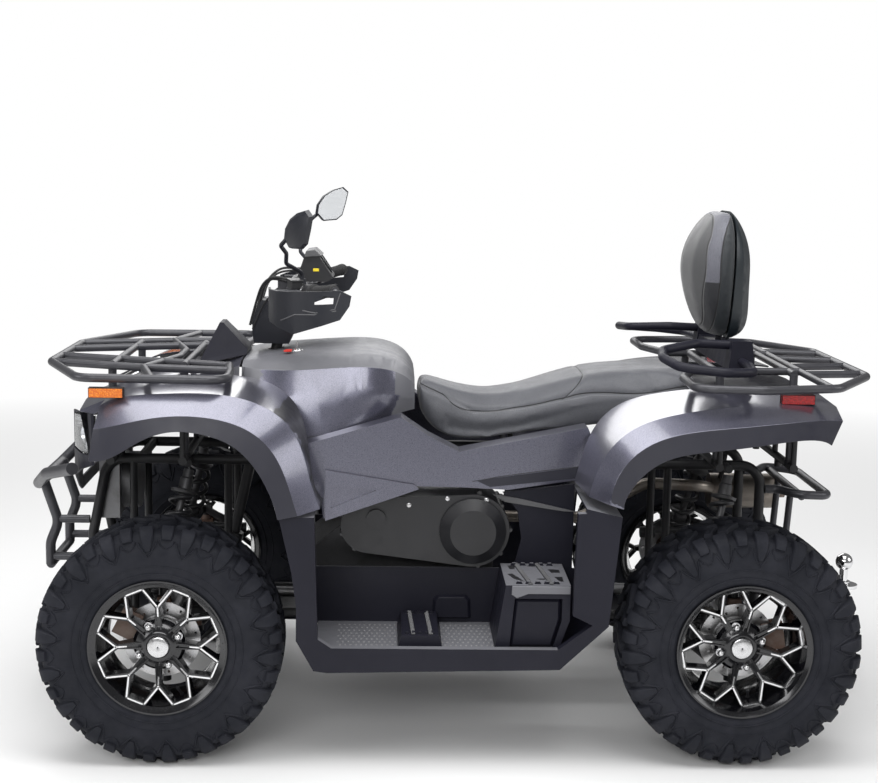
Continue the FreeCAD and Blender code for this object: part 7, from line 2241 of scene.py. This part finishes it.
@dataclass
class Steps:
    """Foot gear of both footwells: floor dots, toothed strips, dark sheets painting shade in the step openings,
    panels, and pale lips and wedges painting highlights.
    """

    step_top: float = 0.4674
    peg_top: float = 0.3325
    strips: tuple = (((-0.142, 0.318), (-0.166, 0.512)), ((-0.199, 0.318), (-0.220, 0.512)))
    peg_strips: tuple = (((0.139, 0.318), (0.131, 0.512)), ((0.094, 0.318), (0.086, 0.512)))
    openings: tuple = (((0.10, 0.10), (0.22, 0.08), (0.20, 0.26), (0.12, 0.26)),
                       ((0.06, 0.50), (0.14, 0.48), (0.30, 0.84), (0.14, 0.72)),
                       ((0.74, 0.26), (0.92, 0.28), (0.92, 0.42), (0.78, 0.42)),
                       ((0.80, 0.62), (0.93, 0.62), (0.92, 0.84), (0.86, 0.82)),
                       ((0.40, 0.10), (0.46, 0.08), (0.54, 0.08), (0.58, 0.10), (0.54, 0.13), (0.46, 0.13)),
                       ((0.50, 0.72), (0.56, 0.70), (0.62, 0.70), (0.66, 0.72), (0.62, 0.75), (0.56, 0.75)))

    def build(self) -> None:
        """Build the pieces of both sides."""
        self._dots()
        self._toothed()
        # Painted shade: dark sheets where the step has openings.
        opening_shades = [piece for outline in self.openings for piece in self._opening(outline)]
        finished(joined(opening_shades, "step_openings"), "chassis", "trim_plastic", "boot_plastic")
        self._panels()

    @staticmethod
    def _dots() -> None:
        """Round studs over the free floor."""
        skin = NodeSurface("footwell_left")
        spots = []
        for row in range(8):
            for column in range(40):
                start = (0.325 - column * 0.0135 - (row % 2) * 0.0067, 0.328 + row * 0.024, 0.36)
                try:
                    place, normal = skin.toward(start, (0, 0, -1))
                except ValueError:
                    continue
                if place.z < 0.325 and normal.z > 0.95:
                    spots.append((place, normal))
        spots += [mirrored(*spot) for spot in spots]
        form = fastener_form(Fastener.DOT)
        dots = ON_POINTS.place("floor_dots", form, spots, "thread")
        bpy.data.objects.remove(form)
        finished(soften(dots, 40.0), "chassis", "thread", "boot_plastic")
        LOG.info("the floors have %d dots", len(spots))

    def _toothed(self) -> None:
        """Two strips with upright teeth across each step and each driver's peg."""
        rails, spots = [], []
        for height, lines in ((self.step_top, self.strips), (self.peg_top, self.peg_strips)):
            for (x0, y0), (x1, y1) in lines:
                low = ((x0 + 0.006, y0, height - 0.0006), (x0 - 0.006, y0, height - 0.0006),
                       (x1 - 0.006, y1, height - 0.0006),
                       (x1 + 0.006, y1, height - 0.0006))
                rails += both_blocks("rail", low, tuple((x, y, z + 0.0026) for x, y, z in low), 0.0006)
                for number in range(15):
                    share = (number + 0.5) / 15
                    place = Vector((x0 + (x1 - x0) * share, y0 + (y1 - y0) * share, height + 0.0018))
                    spots += [(place, Vector((0, 0, 1))), mirrored(place, Vector((0, 0, 1)))]
        finished(joined(rails, "tread_rails"), "chassis", "trim_plastic", "boot_plastic")
        tooth = sloped_block("tooth",
                             [(0.0052, -0.0030, 0), (-0.0052, -0.0030, 0), (-0.0052, 0.0030, 0),
                              (0.0052, 0.0030, 0)],
                             [(0.0044, -0.0012, 0.0040), (-0.0044, -0.0012, 0.0040),
                              (-0.0044, 0.0012, 0.0040), (0.0044, 0.0012, 0.0040)], 0.0)
        teeth = ON_POINTS.place("tread_teeth", tooth, spots, "visor_plastic")
        bpy.data.objects.remove(tooth)
        finished(teeth, "chassis", "visor_plastic", "boot_plastic")

    def _opening(self, outline: tuple) -> list[bpy.types.Object]:
        """A dark sheet drawn on the step by shares of its length and width, painted shade where the step has an
        opening.
        """
        low = tuple((-0.104 - along * 0.162, 0.314 + out * 0.202, self.step_top - 0.0008)
                    for along, out in outline)
        return both_blocks("opening", low, tuple((x, y, z + 0.0013) for x, y, z in low), 0.0)

    @staticmethod
    def _panels() -> None:
        """The panel under each step, its pale lip as a painted highlight, the skirt's raised pad and the pale wedge
        above it as a painted highlight.
        """
        hollow = ((-0.1145, 0.300), (-0.1262, 0.431), (-0.2468, 0.431), (-0.2468, 0.376), (-0.2255, 0.300))
        centre = (-0.183, 0.366)
        inset = [(x + (centre[0] - x) * 0.14, z + (centre[1] - z) * 0.14) for x, z in hollow]
        panels = both_blocks("panel", [(x, 0.502, z) for x, z in hollow], [(x, 0.512, z) for x, z in inset],
                             0.0012)
        pads = ((0.078, 0.310), (0.076, 0.362), (0.066, 0.376), (-0.014, 0.377), (-0.026, 0.364),
                (-0.029, 0.310))
        middle = (0.026, 0.340)
        small = [(x + (middle[0] - x) * 0.16, z + (middle[1] - z) * 0.16) for x, z in pads]
        panels += both_blocks("pad", [(x, 0.2955, z) for x, z in pads], [(x, 0.3075, z) for x, z in small],
                              0.0020)
        finished(joined(panels, "footwell_panels"), "chassis", "boot_plastic", "boot_plastic")
        # Painted highlight: a pale lip where the step's bevelled front catches light.
        lip = ((-0.118, 0.4668), (-0.150, 0.4668), (-0.2675, 0.4668), (-0.2675, 0.4450), (-0.160, 0.4450),
               (-0.131, 0.4330), (-0.117, 0.4430))
        pale = both_blocks("lip", [(x, 0.5195, z) for x, z in lip],
                           [(x * 0.996 - 0.0006, 0.5235, z - (z - 0.455) * 0.12) for x, z in lip], 0.0010)
        finished(joined(pale, "step_lips"), "chassis", "step_plastic", "boot_plastic")
        # Painted highlight: a pale wedge on a lit facet of the inner panel.
        wedge = ((-0.076, 0.6545), (-0.152, 0.6430), (-0.306, 0.6080), (-0.270, 0.6090), (-0.112, 0.6330))
        forms = both_blocks("wedge", [(x, 0.2955, z) for x, z in wedge],
                            [(x, 0.2990 + (0.6545 - z) * 0.06, z) for x, z in wedge], 0.0008)
        finished(joined(forms, "panel_wedges"), "chassis", "visor_plastic", "boot_plastic")


@dataclass
class Springs:
    """The coil springs and their damper rods, in place of the ribbed solids."""

    turns: float = 7.5
    wire: float = 0.0065

    def build(self) -> None:
        """Build all four coil-over shocks."""
        mesh = frame["nodes"]["shock_absorbers"].data
        groups = self._islands(mesh)
        coils, bodies = [], []
        for points in groups:
            low_end, high_end = self._ends(points)
            run = (high_end - low_end).normalized()
            length = (high_end - low_end).length
            bodies.append(turned_along("damper", low_end, high_end, [
                (0.0, 0.014), (0.004, 0.017), (0.030, 0.017), (0.034, 0.010), (0.045, 0.010), (0.048, 0.034),
                (0.056, 0.036),
                (0.060, 0.020), (length * 0.52, 0.020), (length * 0.54, 0.0105), (length - 0.070, 0.0105),
                (length - 0.066, 0.034),
                (length - 0.058, 0.036), (length - 0.054, 0.018), (length - 0.026, 0.018),
                (length - 0.022, 0.014), (length, 0.014)], 28))
            coils.append(self._coil(low_end + run * 0.058, high_end - run * 0.066))
        finished(joined(bodies, "dampers"), "chassis", "engine_metal", "frame_paint", ("shock_absorbers",))
        finished(joined(coils, "coil_springs"), "chassis", "trim_plastic", "frame_paint")
        LOG.info("%d coil springs are on chassis", len(coils))

    @staticmethod
    def _islands(mesh: bpy.types.Mesh) -> list[list[Vector]]:
        """The node's points, parted by wheel."""
        groups: dict[tuple, list] = {}
        for vertex in mesh.vertices:
            groups.setdefault((vertex.co.x > 0, vertex.co.y > 0), []).append(vertex.co.copy())
        return list(groups.values())

    @staticmethod
    def _ends(points: list[Vector]) -> tuple[Vector, Vector]:
        """The middles of the lowest and the highest part of a shock."""
        low = min(point.z for point in points)
        high = max(point.z for point in points)
        ends = []
        for level, near in ((low, 0.035), (high, 0.035)):
            close = [point for point in points if abs(point.z - level) < near]
            ends.append(sum(close, Vector()) / len(close))
        axis = (ends[1] - ends[0]).normalized()
        return ends[0] - axis * 0.012, ends[1] + axis * 0.012

    def _coil(self, low: Vector, high: Vector) -> bpy.types.Object:
        """A coil between two seats."""
        run = high - low
        turn = run.to_track_quat("Z", "Y").to_matrix()
        count = int(self.turns * 14)
        points = []
        for number in range(count + 1):
            share = number / count
            angle = 2 * math.pi * self.turns * share
            flat = 0.02 + 0.96 * share
            points.append(low + turn @ Vector((0.0300 * math.cos(angle), 0.0300 * math.sin(angle),
                                               run.length * flat)))
        return smooth_tube("coil", points, self.wire, 12)


@dataclass
class Trim:
    """Bolts, screws, the key with its tag, joint lines and the side panels' dark strips."""

    def build(self) -> None:
        """Build every set of trim."""
        for group in self._sets():
            try:
                group.build()
            except ValueError as error:
                LOG.info("%s is left out: %s", group.name, error)
        self._key()
        self._seams()
        strips = skin_patch("strip", NodeSurface("side_panels"),
                            ((476.0, 480.4), (580.0, 467.0), (580.0, 478.0), (490.0, 487.0)), (24, 5))
        finished(joined(strips, "side_strips"), "chassis", "arch_plastic", "boot_plastic")

    @staticmethod
    def _sets() -> list[FastenerSet]:
        """The sets of heads."""
        belt = tuple(((x, 0.40, z), (0, -1, 0)) for x, z in (
            (0.288, 0.504), (0.322, 0.544), (0.322, 0.596), (0.288, 0.636), (-0.127, 0.560), (-0.103, 0.495),
            (-0.043, 0.460),
            (-0.103, 0.624), (-0.043, 0.659)))
        return [
            FastenerSet("belt_cover_bolts", Fastener.HEX, "engine_metal", "hub_metal", "chassis",
                        ("belt_cover",), (), belt, False, 0.75),
            FastenerSet("side_panel_screws", Fastener.DOME, "hub_metal", "hub_metal", "chassis",
                        ("side_panels", "frame", "engine", "belt_cover"),
                        ((447.5, 498.5), (486.5, 500.0), (409.0, 505.0))),
        ]

    @staticmethod
    def _key() -> None:
        """The key switch beside the column with its red tag."""
        skin = NodeSurface("console")
        place, normal = skin.toward((0.455, 0.095, 1.2), (0, 0, -1))
        top = place + normal * 0.1
        barrel = turned_along("key_barrel", place - normal * 0.002, top,
                              [(0.0, 0.0165), (0.004, 0.0165), (0.006, 0.0150), (0.006, 0.0120),
                               (0.010, 0.0115), (0.010, 0.0)], 28)
        blade_low = [place + Vector((dx, dy, 0.010))
                     for dx, dy in ((-0.0012, -0.008), (0.0012, -0.008), (0.0012, 0.008), (-0.0012, 0.008))]
        blade = sloped_block("key_head", blade_low, [p + Vector((0, 0, 0.016)) for p in blade_low], 0.0005)
        finished(joined([barrel, blade], "key_switch"), "chassis", "hub_metal", "hub_metal")
        low = [place + Vector((dx, dy, 0.0032))
               for dx, dy in ((0.012, 0.018), (0.030, 0.022), (0.034, 0.050), (0.024, 0.056), (0.012, 0.048))]
        tag = sloped_block("red_key_tag", low, [p + Vector((0, 0, 0.004)) for p in low], 0.0010)
        finished(tag, "chassis", "red_tag", "red_lens")

    @staticmethod
    def _seams() -> None:
        """Thin dark joint lines between neighbouring panels."""
        pieces = []
        for nodes, pixels in ((("front_fenders", "hood", "console"),
                               ((244.5, 367.0), (243.5, 374.0), (243.0, 381.5))),
                              (("side_panels",), ((609.5, 434.5), (609.0, 443.0), (609.0, 452.5))),
                              (("side_panels",),
                               ((472.5, 481.5), (500.0, 476.5), (545.0, 470.5), (590.0, 465.5)))):
            skin = NodeSurface(*nodes)
            spots = []
            for pixel in pixels:
                try:
                    spots.append(skin.seen_at(*pixel))
                except ValueError:
                    LOG.info("no skin for a joint line at %s", pixel)
            for side in Side:
                turn = Matrix.Diagonal((1, side.value, 1))
                points = [turn @ p + turn @ n * -0.0004 for p, n in spots]
                if len(points) > 1:
                    pieces.append(smooth_tube("joint_line", points, 0.0011, 6, straight=True))
        finished(joined(pieces, "joint_lines"), "chassis", "trim_plastic", "boot_plastic")


def sideways(least: float) -> Callable[[Vector, Vector], bool]:
    """A rule that holds where a face looks to the side by more than a share."""
    return lambda centre, normal: abs(normal.y) > least


CARRIED = [
    CarriedForm("hood", Edge.ROUNDED, width=0.003, crease=20.0,
                zones=(Zone("hood_side_plastic", sideways(0.72)),)),
    CarriedForm("front_fenders", Edge.ROUNDED, width=0.003, crease=20.0, zones=(
        Zone("arch_plastic", sideways(0.85)),
        Zone("trim_plastic", lambda centre,
             normal: normal.z < -0.5 or (abs(centre.y) < 0.5 and normal.x < -0.55)))),
    CarriedForm("rear_fenders", Edge.ROUNDED, width=0.003, crease=20.0, zones=(
        Zone("arch_plastic", sideways(0.85)), Zone("trim_plastic", lambda centre, normal: normal.z < -0.5))),
    CarriedForm("console", Edge.ROUNDED, width=0.003, zones=(Zone("body_paint", sideways(0.80)),)),
    CarriedForm("side_panels", Edge.ROUNDED, width=0.002),
    CarriedForm("front_fascia", Edge.ROUNDED, width=0.002),
    CarriedForm("tail_panel", Edge.ROUNDED, width=0.002),
    CarriedForm("tail_corners", Edge.ROUNDED, width=0.002),
    # Upward faces outside the peg band turn pale: pale plastic on the step tops, painted light from above on the
    # footwell floor.
    CarriedForm("footwell_left", Edge.ROUNDED, width=0.002, merge=False, zones=(
        Zone("step_plastic", lambda centre, normal: normal.z > 0.8 and not 0.325 < centre.z < 0.45),)),
    CarriedForm("footwell_right", Edge.ROUNDED, width=0.002, merge=False, zones=(
        Zone("step_plastic", lambda centre, normal: normal.z > 0.8 and not 0.325 < centre.z < 0.45),)),
    CarriedForm("belt_cover", Edge.ROUNDED, finish="trim_plastic", width=0.003),
    CarriedForm("engine", Edge.ROUNDED, width=0.003),
    CarriedForm("driveline", Edge.ROUNDED, width=0.002),
    CarriedForm("exhaust", Edge.SMOOTH),
    CarriedForm("radiator", Edge.ROUNDED, width=0.001),
    CarriedForm("frame", Edge.SMOOTH),
    CarriedForm("skid_plate", Edge.ROUNDED, width=0.001),
    CarriedForm("front_arms", Edge.SMOOTH),
    CarriedForm("rear_arms", Edge.SMOOTH),
    CarriedForm("knuckle_left", Edge.ROUNDED, finish="rusty_iron", width=0.001),
    CarriedForm("knuckle_right", Edge.ROUNDED, finish="rusty_iron", width=0.001),
    CarriedForm("rear_uprights", Edge.ROUNDED, finish="rusty_iron", width=0.001),
    CarriedForm("backrest_shell", Edge.SMOOTH),
    CarriedForm("grab_handles", Edge.ROUNDED, width=0.0015),
    CarriedForm("hand_guards", Edge.ROUNDED, finish="guard_plastic", width=0.001),
    CarriedForm("column_cover", Edge.ROUNDED, finish="guard_plastic", width=0.002),
    CarriedForm("air_intake", Edge.ROUNDED, width=0.002),
    CarriedForm("mirrors", Edge.ROUNDED, finish="guard_plastic", width=0.0015),
    CarriedForm("mirror_glasses", Edge.SMOOTH, swell=0.0006),
    CarriedForm("display", Edge.ROUNDED, finish="trim_plastic", width=0.0015),
]
SOFTENED = {"seat", "backrest_pad", "grips", "headlamps", "shock_absorbers"}


def main() -> None:
    """Build the quad bike, its studio and its camera."""
    logging.basicConfig(level=logging.INFO, format="%(name)s: %(message)s")
    CAMERA.build()
    built = set(SOFTENED)
    for form in CARRIED:
        form.build()
        built.add(form.node)
    for end, reach, width, track, face, turn in (
            ("front", FRONT_AXLE, 0.205, 0.4875, 0.080, 0.0),
            ("rear", REAR_AXLE, 0.254, 0.463, 0.080, math.radians(-11))):
        for side in Side:
            Wheel(end, side, (reach, side.value * track, WHEEL_RADIUS), width, f"{end}_{side.word}_wheel",
                  face=face, turn=turn).build()
            built |= {f"{end}_{side.word}_{part}" for part in ("tyre", "rim", "hub")}
    for group in (Saddle(), Backrest(), Controls(), Lamps(), Steps(), Springs(), Trim()):
        group.build()
    for node, piece in frame["nodes"].items():
        if node not in built:
            PALETTE.dress(piece, NODE_SLOT[node])
            LOG.info("%s keeps its own form", node)
    Studio().build()
    with open(SIZE_FILE, "w", encoding="utf-8") as file:
        json.dump({"cad": CAD_BOX, "visual": [list(corner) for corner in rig.bounds()]}, file)


if __name__ == "__main__":
    main()
